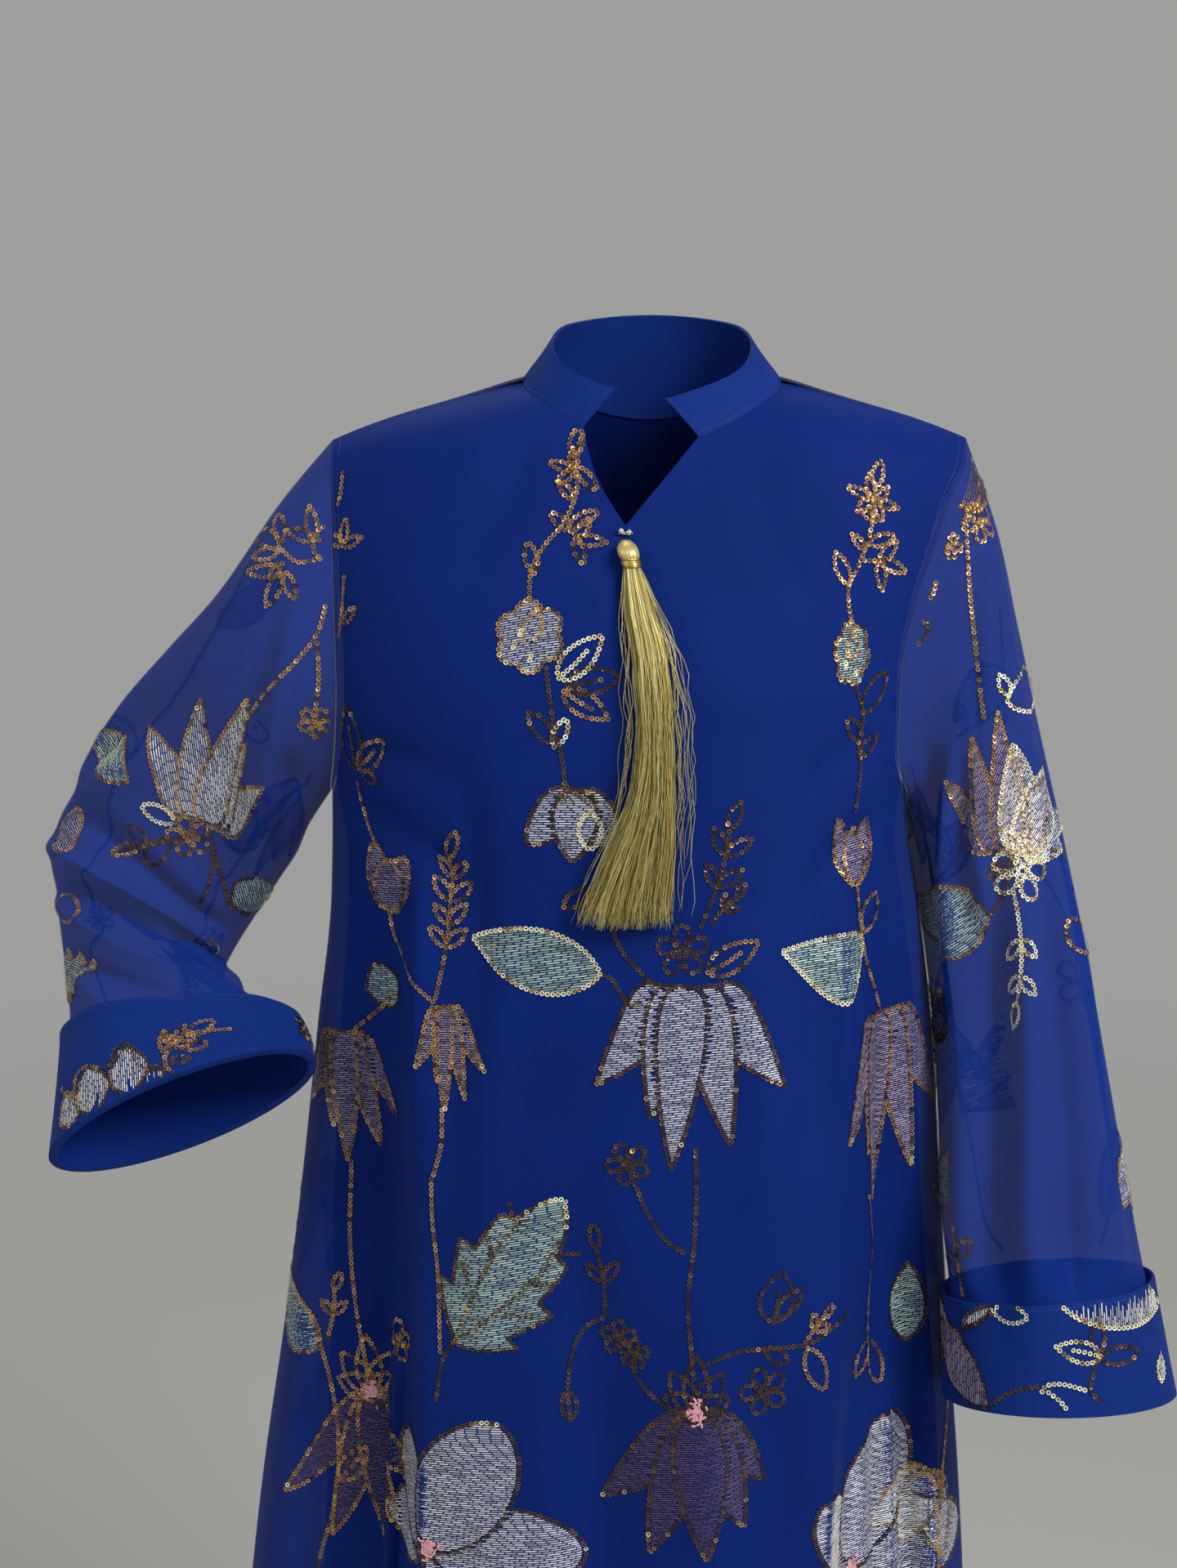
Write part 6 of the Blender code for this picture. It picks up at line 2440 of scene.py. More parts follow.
    def knot(self, plot: Plot, style: Style) -> None:
        """A raised centre of pink knots with a ring of sequins.

        Args:
            plot: Where the motif lies.
            style: Its width, silk and lustre.
        """
        count = 60
        spots = self.rng.normal(0.0, 0.0030, (count, 2)) * np.array([0.8, 1.15])
        turns = 2.0 * math.pi * self.rng.random(count)
        steps = 0.0016 * on_circle(turns)
        self.needle.satin(plot, spots - steps, spots + steps, 0.0013, Thread.PINK, lift=0.0016)
        self.edge(plot, 0.0072 * np.array([0.75, 1.0]) * on_circle(full_turn(12)), style)

    def crowned(self, plot: Plot, style: Style) -> None:
        """A hanging flower with a knotted centre under a zigzag calyx.

        Args:
            plot: Where the motif lies.
            style: Its width, silk and lustre.
        """
        w = style.width
        petals = [(-4.0, 0.98, 0.34 * w, 0.0), (14.0, 1.0, 0.32 * w, 0.06),
                  (-20.0, 0.84, 0.34 * w, -0.03), (34.0, 0.86, 0.32 * w, 0.16),
                  (-38.0, 0.66, 0.32 * w, -0.06)]
        self.fan(plot, style, petals, slant=2.0, sharp_tip=0.95, round_base=0.5)
        sepals = ((180.0, 0.36), (146.0, 0.30), (-146.0, 0.30), (112.0, 0.22), (-112.0, 0.22))
        for degrees, length in sepals:
            sepal = petal(length * plot.length, 0.16 * plot.length, degrees, sharp_tip=1.0, count=10)
            self.edge(plot, sepal, style)
        self.knot(plot, style)

    def through(self, places: np.ndarray, lustre: Lustre) -> None:
        """A stem through chart places.

        Args:
            places: Chart places, one row each.
            lustre: How dark or bright the sequins are.
        """
        positions = np.linspace(0.0, len(places) - 1.0, 16 * len(places))
        line = curve_through(places, positions) if len(places) > 2 else places
        self.needle.chain(Plot(np.zeros(2), np.eye(2), 1.0), line, lustre)


class Kind(Enum):
    """The motifs a florist can draw."""

    LOOP = "loop"
    OPEN_LEAF = "open_leaf"
    LEAF = "leaf"
    TUCKED_LEAF = "tucked_leaf"
    SERRATED = "serrated"
    BLOSSOM = "blossom"
    SPRIG = "sprig"
    TREFOIL = "trefoil"
    POSY = "posy"
    LILY = "lily"
    TULIP = "tulip"
    BUD = "bud"
    BLOOM = "bloom"
    CROWNED = "crowned"

    def draw(self, florist: Florist, plot: Plot, style: Style) -> None:
        """Draw the motif."""
        getattr(florist, self.value)(plot, style)


class Planted(NamedTuple):
    """A motif placed where the photograph shows its base and its tip, in pixels."""

    kind: Kind
    width: float
    silk: Thread
    lustre: Lustre
    base_x: float
    base_y: float
    tip_x: float
    tip_y: float


class PlantedStem(NamedTuple):
    """A stem through the photograph's pixels."""

    lustre: Lustre
    pixels: tuple[tuple[float, float], ...]


class Vine(NamedTuple):
    """A vine on hidden cloth: metres across, first and last metres down, sway, first motif."""

    across: float
    top: float
    foot: float
    sway: float
    first: int


# Short names for the tables, which give pixels of the photograph
(LOOP, OPEN_LEAF, LEAF, TUCKED_LEAF, SERRATED, BLOSSOM, SPRIG, TREFOIL, POSY, LILY, TULIP, BUD, BLOOM,
 CROWNED) = Kind
DARK, WARM, BRIGHT = Lustre
SILVER, LILAC, MAUVE, TEAL = Thread.SILVER, Thread.LILAC, Thread.MAUVE, Thread.TEAL

FRONT_STEMS = table(
    PlantedStem,
    (WARM, ((714, 530), (703, 562), (706, 600), (690, 640), (666, 668), (650, 700), (648, 742))),
    (DARK, ((668, 815), (672, 850), (678, 888), (688, 930), (692, 975))),
    (DARK, ((745, 1130), (762, 1165), (784, 1190), (800, 1208))),
    (DARK, ((735, 1192), (750, 1200), (770, 1230), (786, 1222))),
    (DARK, ((851, 1405), (852, 1460), (849, 1528), (842, 1590), (846, 1655), (849, 1690))),
    (DARK, ((776, 1446), (790, 1480), (812, 1515), (838, 1534))),
    (DARK, ((740, 1612), (716, 1624), (700, 1655), (694, 1700), (698, 1737))),
    (DARK, ((772, 1668), (790, 1700), (818, 1724))),
    (DARK, ((858, 1672), (900, 1655), (950, 1650), (987, 1645), (1016, 1626), (1034, 1608))),
    (WARM, ((1042, 764), (1038, 740), (1038, 716), (1050, 692), (1060, 666), (1066, 640), (1070, 596))),
    (WARM, ((1054, 686), (1078, 686))),
    (DARK, ((1046, 838), (1055, 870), (1050, 905), (1052, 945), (1045, 995))),
    (WARM, ((1048, 1085), (1052, 1130), (1060, 1180), (1076, 1235))),
    (WARM, ((1062, 1462), (1066, 1520), (1062, 1580), (1060, 1640))),
    (DARK, ((556, 1640), (542, 1665), (534, 1715))),
    (WARM, ((528, 1440), (530, 1500), (537, 1570), (539, 1657))),
    (WARM, ((541, 1355), (540, 1400), (530, 1440))), (WARM, ((438, 955), (446, 990), (462, 1034))),
    (WARM, ((476, 1108), (486, 1150), (500, 1190), (532, 1228))),
    (WARM, ((430, 1418), (428, 1500), (436, 1600), (452, 1690))),
    (WARM, ((486, 1205), (470, 1230), (430, 1262))), (WARM, ((420, 576), (418, 600), (414, 620))),
    (WARM, ((422, 704), (420, 740), (416, 780))),
)
FRONT_PLANTS = table(
    Planted,
    (LOOP, 0.45, SILVER, WARM, 702, 560, 708, 524), (LOOP, 0.4, SILVER, WARM, 706, 572, 730, 600),
    (LOOP, 0.42, SILVER, WARM, 702, 612, 684, 590), (LOOP, 0.42, SILVER, WARM, 698, 650, 674, 628),
    (LOOP, 0.4, SILVER, WARM, 696, 644, 732, 626), (TREFOIL, 0.5, SILVER, WARM, 704, 660, 742, 664),
    (TREFOIL, 0.5, SILVER, WARM, 702, 576, 672, 566), (LOOP, 0.45, SILVER, WARM, 654, 702, 646, 664),
    (POSY, 0.95, SILVER, WARM, 662, 738, 634, 820), (OPEN_LEAF, 0.45, SILVER, BRIGHT, 684, 830, 737, 778),
    (OPEN_LEAF, 0.5, SILVER, DARK, 694, 838, 759, 828),
    (OPEN_LEAF, 0.45, SILVER, WARM, 690, 846, 744, 880), (LOOP, 0.5, SILVER, DARK, 676, 908, 647, 872),
    (LOOP, 0.5, SILVER, BRIGHT, 678, 914, 693, 880), (TULIP, 1.15, SILVER, DARK, 706, 968, 700, 1062),
    (LOOP, 0.7, SILVER, BRIGHT, 722, 994, 722, 1040), (LOOP, 0.6, SILVER, DARK, 718, 1090, 690, 1110),
    (LILY, 1.0, SILVER, DARK, 843, 1207, 838, 1431), (LEAF, 0.46, TEAL, BRIGHT, 734, 1192, 577, 1156),
    (BLOSSOM, 0.5, SILVER, DARK, 835, 1164, 866, 1164), (SPRIG, 0.5, SILVER, DARK, 856, 1136, 895, 978),
    (SPRIG, 0.5, SILVER, DARK, 870, 1130, 912, 1092),
    (OPEN_LEAF, 0.45, SILVER, WARM, 866, 1190, 928, 1152),
    (TUCKED_LEAF, 0.74, TEAL, BRIGHT, 1050, 1188, 956, 1164),
    (LOOP, 0.48, SILVER, WARM, 1070, 596, 1077, 565), (TREFOIL, 0.5, SILVER, WARM, 1072, 614, 1098, 622),
    (TREFOIL, 0.5, SILVER, WARM, 1066, 610, 1036, 596), (LOOP, 0.42, SILVER, WARM, 1070, 638, 1052, 624),
    (LOOP, 0.4, SILVER, WARM, 1062, 666, 1094, 656), (LOOP, 0.4, SILVER, WARM, 1058, 672, 1042, 654),
    (TREFOIL, 0.5, SILVER, WARM, 1076, 686, 1108, 700), (LOOP, 0.45, SILVER, WARM, 1038, 716, 1022, 676),
    (POSY, 0.62, TEAL, WARM, 1044, 762, 1040, 838), (LOOP, 0.5, SILVER, DARK, 1055, 872, 1084, 822),
    (LOOP, 0.5, SILVER, DARK, 1052, 905, 1036, 880), (LOOP, 0.5, SILVER, DARK, 1052, 925, 1072, 900),
    (BUD, 0.62, LILAC, WARM, 1046, 1082, 1042, 996), (LOOP, 0.6, SILVER, WARM, 1056, 1140, 1070, 1092),
    (LILY, 0.7, LILAC, WARM, 1078, 1236, 1074, 1462), (BLOSSOM, 0.5, SILVER, DARK, 768, 1424, 794, 1424),
    (SPRIG, 0.5, SILVER, DARK, 740, 1612, 722, 1504), (BLOSSOM, 0.5, SILVER, DARK, 757, 1636, 778, 1636),
    (BLOSSOM, 0.5, SILVER, DARK, 776, 1656, 794, 1656), (LOOP, 0.6, SILVER, DARK, 694, 1702, 698, 1738),
    (OPEN_LEAF, 0.7, SILVER, DARK, 946, 1618, 956, 1556), (LOOP, 0.6, SILVER, DARK, 950, 1610, 980, 1580),
    (LOOP, 0.5, SILVER, DARK, 936, 1650, 964, 1668), (SPRIG, 0.5, SILVER, WARM, 984, 1645, 1014, 1604),
    (LOOP, 0.5, SILVER, WARM, 988, 1650, 1008, 1700), (BLOSSOM, 0.5, SILVER, DARK, 934, 1702, 962, 1702),
    (CROWNED, 1.0, MAUVE, DARK, 852, 1728, 852, 1914), (SERRATED, 0.56, TEAL, DARK, 556, 1642, 692, 1470),
    (BLOOM, 1.0, SILVER, DARK, 524, 1896, 590, 1722), (SPRIG, 0.5, SILVER, WARM, 532, 1224, 541, 1000),
    (LILY, 0.6, LILAC, WARM, 545, 1232, 552, 1360), (BUD, 1.0, LILAC, WARM, 476, 1112, 474, 1034),
    (LEAF, 0.9, TEAL, DARK, 488, 1200, 450, 1214), (LILY, 0.8, LILAC, WARM, 424, 1262, 436, 1418),
    (CROWNED, 0.75, MAUVE, WARM, 454, 1702, 462, 1888), (OPEN_LEAF, 0.5, SILVER, DARK, 436, 940, 424, 864),
    (OPEN_LEAF, 0.5, SILVER, WARM, 440, 940, 470, 906), (LOOP, 0.5, SILVER, DARK, 444, 944, 462, 958),
    (BLOOM, 0.9, SILVER, DARK, 1040, 1918, 1078, 1712), (LEAF, 0.5, TEAL, DARK, 1108, 1638, 1106, 1544),
    (LOOP, 0.5, SILVER, WARM, 1060, 1640, 1046, 1684), (LOOP, 0.5, SILVER, WARM, 1062, 1640, 1076, 1690),
    (TREFOIL, 0.5, SILVER, WARM, 420, 668, 424, 634), (LOOP, 0.5, SILVER, WARM, 422, 762, 434, 744),
    (SPRIG, 0.5, SILVER, WARM, 400, 1640, 408, 1560), (BLOSSOM, 0.5, SILVER, WARM, 486, 1640, 500, 1660),
)
RIGHT_SLEEVE_STEMS = table(
    PlantedStem,
    (WARM, ((412, 700), (398, 742), (384, 782), (350, 822), (318, 858), (298, 884))),
    (WARM, ((388, 784), (390, 830), (386, 870))),
    (DARK, ((252, 1006), (262, 1040), (256, 1080), (244, 1104))),
    (DARK, ((262, 1040), (272, 1075), (282, 1112))),
    (DARK, ((244, 1020), (200, 1030), (160, 1038), (138, 1044))),
    (WARM, ((413, 682), (392, 684), (364, 688), (344, 672))), (WARM, ((392, 684), (384, 674), (384, 658))),
)
RIGHT_SLEEVE_PLANTS = table(
    Planted,
    (LILY, 0.95, SILVER, WARM, 250, 1008, 292, 850), (BLOSSOM, 0.5, SILVER, WARM, 232, 1024, 258, 1024),
    (LOOP, 0.5, SILVER, BRIGHT, 214, 1006, 174, 986), (LOOP, 0.5, SILVER, DARK, 210, 1028, 178, 1058),
    (LOOP, 0.5, SILVER, WARM, 168, 1036, 136, 1046), (LOOP, 0.5, SILVER, DARK, 180, 1030, 156, 1012),
    (LEAF, 0.44, TEAL, WARM, 156, 956, 112, 902), (LEAF, 0.6, LILAC, WARM, 76, 1044, 92, 990),
    (TREFOIL, 0.5, SILVER, WARM, 384, 660, 379, 620), (LOOP, 0.45, SILVER, WARM, 346, 662, 341, 630),
    (LOOP, 0.45, SILVER, WARM, 340, 676, 310, 682), (LOOP, 0.45, SILVER, WARM, 342, 670, 318, 656),
    (TREFOIL, 0.5, SILVER, WARM, 346, 700, 326, 742), (LOOP, 0.5, SILVER, WARM, 346, 690, 330, 708),
    (BLOSSOM, 0.5, SILVER, WARM, 386, 884, 408, 884), (LEAF, 0.62, TEAL, DARK, 290, 1078, 348, 1104),
    (TULIP, 0.8, TEAL, WARM, 86, 1226, 98, 1158), (LOOP, 0.6, SILVER, WARM, 88, 1126, 78, 1096),
    (LOOP, 0.6, SILVER, WARM, 262, 1180, 256, 1150),
)
LEFT_SLEEVE_STEMS = table(
    PlantedStem,
    (WARM, ((1182, 622), (1184, 690), (1190, 760), (1198, 830), (1204, 880))),
    (DARK, ((1238, 1046), (1230, 1090), (1212, 1120))),
    (WARM, ((1146, 1210), (1140, 1290), (1146, 1350), (1156, 1404))),
    (WARM, ((1166, 1494), (1172, 1540), (1180, 1588))), (DARK, ((1284, 1040), (1300, 1064), (1312, 1084))),
)
LEFT_SLEEVE_PLANTS = table(
    Planted,
    (TULIP, 0.8, MAUVE, WARM, 1180, 622, 1180, 556), (BLOSSOM, 0.5, SILVER, WARM, 1162, 668, 1176, 668),
    (BLOSSOM, 0.5, SILVER, WARM, 1198, 640, 1212, 640), (LOOP, 0.5, SILVER, WARM, 1140, 700, 1128, 738),
    (LOOP, 0.5, SILVER, DARK, 1134, 760, 1118, 790), (LILY, 0.75, LILAC, WARM, 1232, 1042, 1210, 872),
    (TULIP, 0.9, SILVER, BRIGHT, 1250, 1046, 1272, 930),
    (BLOSSOM, 0.5, SILVER, BRIGHT, 1250, 1066, 1276, 1066),
    (SPRIG, 0.5, SILVER, BRIGHT, 1240, 1090, 1240, 1262),
    (LOOP, 0.5, SILVER, DARK, 1232, 1056, 1210, 1074), (LEAF, 0.5, TEAL, WARM, 1208, 1118, 1122, 1106),
    (LOOP, 0.7, SILVER, WARM, 1330, 1166, 1308, 1124), (LOOP, 0.6, SILVER, BRIGHT, 1232, 858, 1262, 842),
    (LOOP, 0.6, SILVER, BRIGHT, 1234, 850, 1222, 826), (TULIP, 0.8, MAUVE, DARK, 1146, 1272, 1148, 1206),
    (BUD, 1.0, TEAL, WARM, 1158, 1410, 1158, 1492), (LOOP, 0.5, SILVER, DARK, 1172, 1540, 1186, 1516),
    (LOOP, 0.5, SILVER, DARK, 1176, 1560, 1160, 1532),
)
RIGHT_CUFF_STEMS = table(
    PlantedStem,
    (WARM, ((213, 1318), (203, 1304), (203, 1285), (214, 1273), (240, 1264), (284, 1260))),
    (DARK, ((118, 1308), (134, 1306), (140, 1286), (152, 1277), (164, 1294), (176, 1306), (200, 1304))),
    (WARM, ((76, 1332), (90, 1347), (94, 1318), (106, 1306), (122, 1308))),
)
RIGHT_CUFF_PLANTS = table(
    Planted,
    (TREFOIL, 0.5, SILVER, WARM, 212, 1279, 226, 1256), (LOOP, 0.5, SILVER, WARM, 204, 1290, 200, 1264),
    (LOOP, 0.5, SILVER, WARM, 230, 1268, 262, 1250), (LOOP, 0.5, SILVER, WARM, 222, 1282, 254, 1278),
    (LOOP, 0.4, SILVER, DARK, 206, 1300, 234, 1296), (LEAF, 0.72, SILVER, DARK, 160, 1338, 152, 1280),
    (LEAF, 0.62, SILVER, DARK, 174, 1332, 200, 1308), (LEAF, 0.74, SILVER, DARK, 118, 1360, 104, 1308),
    (LEAF, 0.7, SILVER, WARM, 90, 1376, 80, 1340),
)
LEFT_CUFF_STEMS = table(
    PlantedStem,
    (DARK, ((1176, 1628), (1196, 1618), (1216, 1606))), (DARK, ((1208, 1724), (1236, 1704), (1272, 1696))),
    (BRIGHT, ((1274, 1706), (1280, 1696), (1300, 1694), (1330, 1702))),
    (BRIGHT, ((1280, 1702), (1296, 1714), (1306, 1726))),
    (DARK, ((1342, 1656), (1338, 1680), (1334, 1700), (1346, 1716))),
)
LEFT_CUFF_PLANTS = table(
    Planted,
    (LEAF, 0.34, SILVER, BRIGHT, 1296, 1590, 1414, 1580),
    (OPEN_LEAF, 0.45, SILVER, BRIGHT, 1346, 1660, 1292, 1648),
    (LOOP, 0.5, SILVER, DARK, 1344, 1656, 1342, 1616), (LOOP, 0.45, SILVER, DARK, 1346, 1662, 1392, 1654),
    (LOOP, 0.55, SILVER, BRIGHT, 1216, 1604, 1258, 1612),
    (LEAF, 0.3, SILVER, DARK, 1180, 1622, 1214, 1596), (LEAF, 0.36, LILAC, DARK, 1206, 1722, 1146, 1588),
    (LEAF, 0.5, SILVER, BRIGHT, 1420, 1690, 1418, 1656),
)
FRONT_VINES = table(
    Vine,
    (-0.285, 0.62, 1.34, 0.014, 2), (-0.165, 1.12, 1.35, 0.01, 5), (-0.06, 1.08, 1.35, 0.012, 0),
    (0.06, 1.08, 1.35, 0.012, 3), (0.165, 1.12, 1.35, 0.01, 1), (0.262, 0.52, 1.34, 0.014, 4),
)
BACK_VINES = table(
    Vine,
    (-0.25, 0.52, 1.34, 0.016, 1), (-0.15, 0.1, 1.34, 0.018, 4), (-0.045, 0.16, 1.35, 0.02, 0),
    (0.06, 0.12, 1.35, 0.02, 3), (0.15, 0.2, 1.34, 0.016, 6), (0.262, 0.6, 1.34, 0.014, 2),
)
SLEEVE_VINES = table(
    Vine,
    (0.17, 0.05, 0.46, 0.012, 1), (0.25, 0.1, 0.46, 0.01, 4), (-0.15, 0.08, 0.46, 0.01, 2),
)
CUFF_VINES = table(
    Vine,
    (0.11, 0.01, 0.07, 0.004, 1), (0.19, 0.01, 0.07, 0.004, 4), (-0.13, 0.01, 0.07, 0.004, 2),
)


@dataclass(frozen=True)
class Embroidery:
    """All the sequins and silk of one cloth."""

    name: str
    chart: Chart
    plants: tuple[Planted, ...]
    stems: tuple[PlantedStem, ...]
    vines: tuple[Vine, ...]
    grain_turn: float = 4.0
    vine_step: float = 0.092
    row_step: float = 0.02
    waves: float = 17.0
    full_run: float = 0.16
    cycle: tuple[tuple[Kind, float, Thread, float], ...] = (
        (SPRIG, 0.5, SILVER, 0.075), (LILY, 0.9, LILAC, 0.088), (LEAF, 0.46, TEAL, 0.070),
        (BUD, 0.9, SILVER, 0.045), (OPEN_LEAF, 0.5, SILVER, 0.034), (CROWNED, 0.9, MAUVE, 0.085),
        (BLOSSOM, 0.5, SILVER, 0.017), (SERRATED, 0.55, TEAL, 0.090), (TULIP, 0.95, SILVER, 0.058),
    )

    def build(self, rng: np.random.Generator) -> list[bpy.types.Object]:
        """Sew the stems, the motifs and the vines.

        Args:
            rng: The scene's stream of random numbers.

        Returns:
            The joined pieces.
        """
        needle = Needle(self.name, self.chart, rng, self.grain_turn)
        florist = Florist(needle)
        for stem in self.stems:
            florist.through(np.array([self.chart.find(*pixel) for pixel in stem.pixels]), stem.lustre)
        for plant in self.plants:
            base = self.chart.find(plant.base_x, plant.base_y)
            tip = self.chart.find(plant.tip_x, plant.tip_y)
            self.draw(florist, plant.kind, base, tip, Style(plant.width, plant.silk, plant.lustre))
        for vine in self.vines:
            self.grow(florist, vine)
        return needle.build()

    def draw(self, florist: Florist, kind: Kind, base: np.ndarray, tip: np.ndarray,
             style: Style) -> None:
        """Draw a motif between two chart places, if it is long enough there.

        Args:
            florist: Draws the motif.
            kind: The motif.
            base: Place of its base.
            tip: Place of its tip.
            style: Its style.
        """
        axes, length = self.chart.frame_at(base, tip)
        if length > MOTIF_LEAST:
            kind.draw(florist, Plot(base, axes, length), style)

    def grow(self, florist: Florist, vine: Vine) -> None:
        """Grow a vine with a motif at every step, on alternate sides.

        Args:
            florist: Draws the motifs.
            vine: The vine.
        """
        rng = florist.rng
        foot = min(vine.foot, self.chart.low[1] + self.chart.pitch * (len(self.chart.inside) - 4))
        downs = np.linspace(vine.top, foot, max(4, int((foot - vine.top) / self.row_step)))
        across = vine.across + vine.sway * np.sin(downs * self.waves + vine.first)
        lustre = (WARM, DARK)[vine.first % 2]
        florist.through(np.stack([across, downs], axis=-1), lustre)
        size = min(1.0, (foot - vine.top) / self.full_run)
        step = self.vine_step * size
        for number, down in enumerate(np.arange(vine.top + 0.3 * step, foot - 0.01, step)):
            kind, width, silk, length = self.cycle[(vine.first + 2 * number) % len(self.cycle)]
            side = 1.0 if number % 2 else -1.0
            hanging = kind in (LILY, CROWNED, TULIP)
            turn = math.radians(side * ((168.0 if hanging else 62.0) + 12.0 * rng.normal()))
            here = float(np.interp(down, downs, across))
            base = np.array([here + side * (0.012 if hanging else 0.002), down])
            length = length * size * (0.9 + 0.2 * rng.random())
            tip = base + length * np.array([math.sin(turn), -math.cos(turn)])
            self.draw(florist, kind, base, tip, Style(width, silk, lustre))


@dataclass(frozen=True)
class Tassel:
    """A metallic tassel that hangs from the foot of the slit and rests on the front."""

    rest_gap: float = 0.0006
    strands: int = 520
    steps: int = 18
    strand_radius: float = 0.00025
    strays: int = 22
    end_scatter: float = 0.0110
    wave: float = 0.0009
    head_ribs: int = 22
    head_sides: int = 88
    bead_radius: float = 0.0019
    bead_sides: int = 16
    bead_places: tuple[tuple[float, float], ...] = ((-0.0208, -0.0882), (-0.0158, -0.0890))
    bar: tuple[float, ...] = (-0.0897, 0.0048, 0.0010, 0.0008)
    head_steps: int = 22
    head_relief: float = 0.00028
    wrap_turns: float = 5.0
    wrap_steps: int = 41
    wrap_relief: float = 0.00045

    def resting_y(self, tree: BVHTree, ring: TasselRing) -> float:
        """y of the middle of a ring that just clears the front under its whole width.

        Args:
            tree: Search tree of the front's outer face.
            ring: The ring.

        Returns:
            Metres toward the back.
        """
        hits = []
        for share in (-1.0, -0.5, 0.0, 0.5, 1.0):
            start = Vector((ring.x + ring.half_width * share, -1.0, ring.z))
            place = tree.ray_cast(start, Vector((0.0, 1.0, 0.0)))[0]
            if place is not None:
                hits.append(place.y - ring.half_depth * math.sqrt(1.0 - share * share))
        return min(hits) - self.rest_gap

    def spine(self, tree: BVHTree, rings: Sequence[TasselRing], count: int) -> np.ndarray:
        """x, y, z, half width and half depth at even steps down a list of rings."""
        rows = np.array([(ring.x, self.resting_y(tree, ring), ring.z, ring.half_width, ring.half_depth)
                         for ring in rings])
        return curve_through(rows, np.linspace(0.0, len(rows) - 1.0, count))

    def turned(self, name: str, spine: np.ndarray, ribs: np.ndarray, finish: Finish) -> bpy.types.Object:
        """A closed oval form along a spine with ribs on its surface.

        Args:
            name: Name of the piece.
            spine: x, y, z, half width and half depth of each ring.
            ribs: Height of the ribs.
            finish: The form's finish.

        Returns:
            The new object.
        """
        turns = full_turn(self.head_sides)
        x = spine[:, 0:1] + (spine[:, 3:4] + ribs) * np.cos(turns)
        y = spine[:, 1:2] + (spine[:, 4:5] + ribs) * np.sin(turns)
        z = spine[:, 2:3] + 0.0 * x
        points = np.stack([x, y, z], axis=-1).reshape(-1, 3)
        return link_mesh(name, points, tube_faces(*x.shape), [finish])

    def fringe(self, tree: BVHTree, rng: np.random.Generator) -> None:
        """The threads: a bundle that spreads to a ragged end, and strays beside it.

        Args:
            tree: Search tree of the front's outer face.
            rng: The scene's stream of random numbers.
        """
        spine = self.spine(tree, TASSEL_SKIRT_RINGS, self.steps)
        count = self.strands + self.strays
        reach = np.sqrt(rng.random(count))
        turn = 2.0 * math.pi * rng.random(count)
        stray = np.arange(count) >= self.strands
        reach[stray] = 1.0
        side = np.where(rng.random(self.strays) < 0.5, 0.0, math.pi)
        turn[stray] = side + 0.3 * rng.normal(size=self.strays)
        share = np.linspace(0.0, 1.0, self.steps)
        cut = 1.0 - np.where(stray, 0.45 * rng.random(count), 0.0)
        place = share[None, :] * cut[:, None]
        row = [np.stack([np.interp(one, share, spine[:, axis]) for one in place]) for axis in range(5)]
        x = row[0] + row[3] * (reach * np.cos(turn))[:, None]
        y = row[1] + row[4] * (reach * np.sin(turn))[:, None]
        z = row[2] - (self.end_scatter * (rng.random(count) - 0.5))[:, None] * share ** 2
        grow = smoothstep(share * 3.0)
        phases = 2.0 * math.pi * rng.random((2, count, 1))
        pace = rng.uniform(14.0, 34.0, (count, 1))
        swing = self.wave * np.where(stray, 1.6, 1.0)[:, None] * grow
        x = x + swing * np.sin(pace * share + phases[0])
        y = y - 0.4 * swing * (1.0 + np.sin(pace * share + phases[1]))
        outward = np.sign(np.cos(turn)) * rng.uniform(0.003, 0.013, count) * stray
        x = x + outward[:, None] * np.sin(math.pi * share * rng.uniform(0.5, 0.95, (count, 1)))
        centre = np.stack([x, y, z], axis=-1)
        radius = self.strand_radius * rng.uniform(0.75, 1.25, (count, 1, 1, 1))
        corners = np.array([[0.0, -1.0, 0.0], [0.87, 0.5, 0.0], [-0.87, 0.5, 0.0]])
        points = centre[:, :, None, :] + corners * radius
        numbers = np.arange(count * self.steps * 3).reshape(count, self.steps, 3)
        beside = np.roll(numbers, -1, axis=2)
        quads = np.stack([numbers[:, :-1], numbers[:, 1:], beside[:, 1:], beside[:, :-1]], axis=-1)
        caps = numbers[:, -1, ::-1]
        faces = quads.reshape(-1, 4).tolist() + caps.tolist()
        piece = link_mesh("tassel_fringe", points.reshape(-1, 3), faces, [GOLD_THREAD], sharp=False)
        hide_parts("tassel_skirt")

    def knot(self, tree: BVHTree) -> None:
        """Two silver beads on a thread bar that closes the foot of the slit.

        Args:
            tree: Search tree of the front's outer face.
        """
        parts, faces, first = [], [], 0
        sides, radius = self.bead_sides, self.bead_radius
        rings = [(*place, radius, radius, radius) for place in self.bead_places]
        rings.append((SLIT.foot_x, *self.bar))
        for x, z, half_x, half_z, half_y in rings:
            surface = self.resting_y(tree, TasselRing(x, z, half_x, half_y))
            turns = full_turn(sides)
            lifts = np.linspace(0.04, math.pi - 0.04, 11)
            ball = np.stack([
                x + half_x * np.outer(np.sin(lifts), np.cos(turns)),
                surface + half_y * np.outer(np.sin(lifts), np.sin(turns)),
                z + half_z * np.outer(np.cos(lifts), np.ones_like(turns))], axis=-1)
            faces += tube_faces(len(lifts), sides, first)
            parts.append(ball.reshape(-1, 3))
            first += len(lifts) * sides
        piece = link_mesh("slit_beads", np.concatenate(parts), faces, [SILVER_BEAD])
        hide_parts("slit_knot")

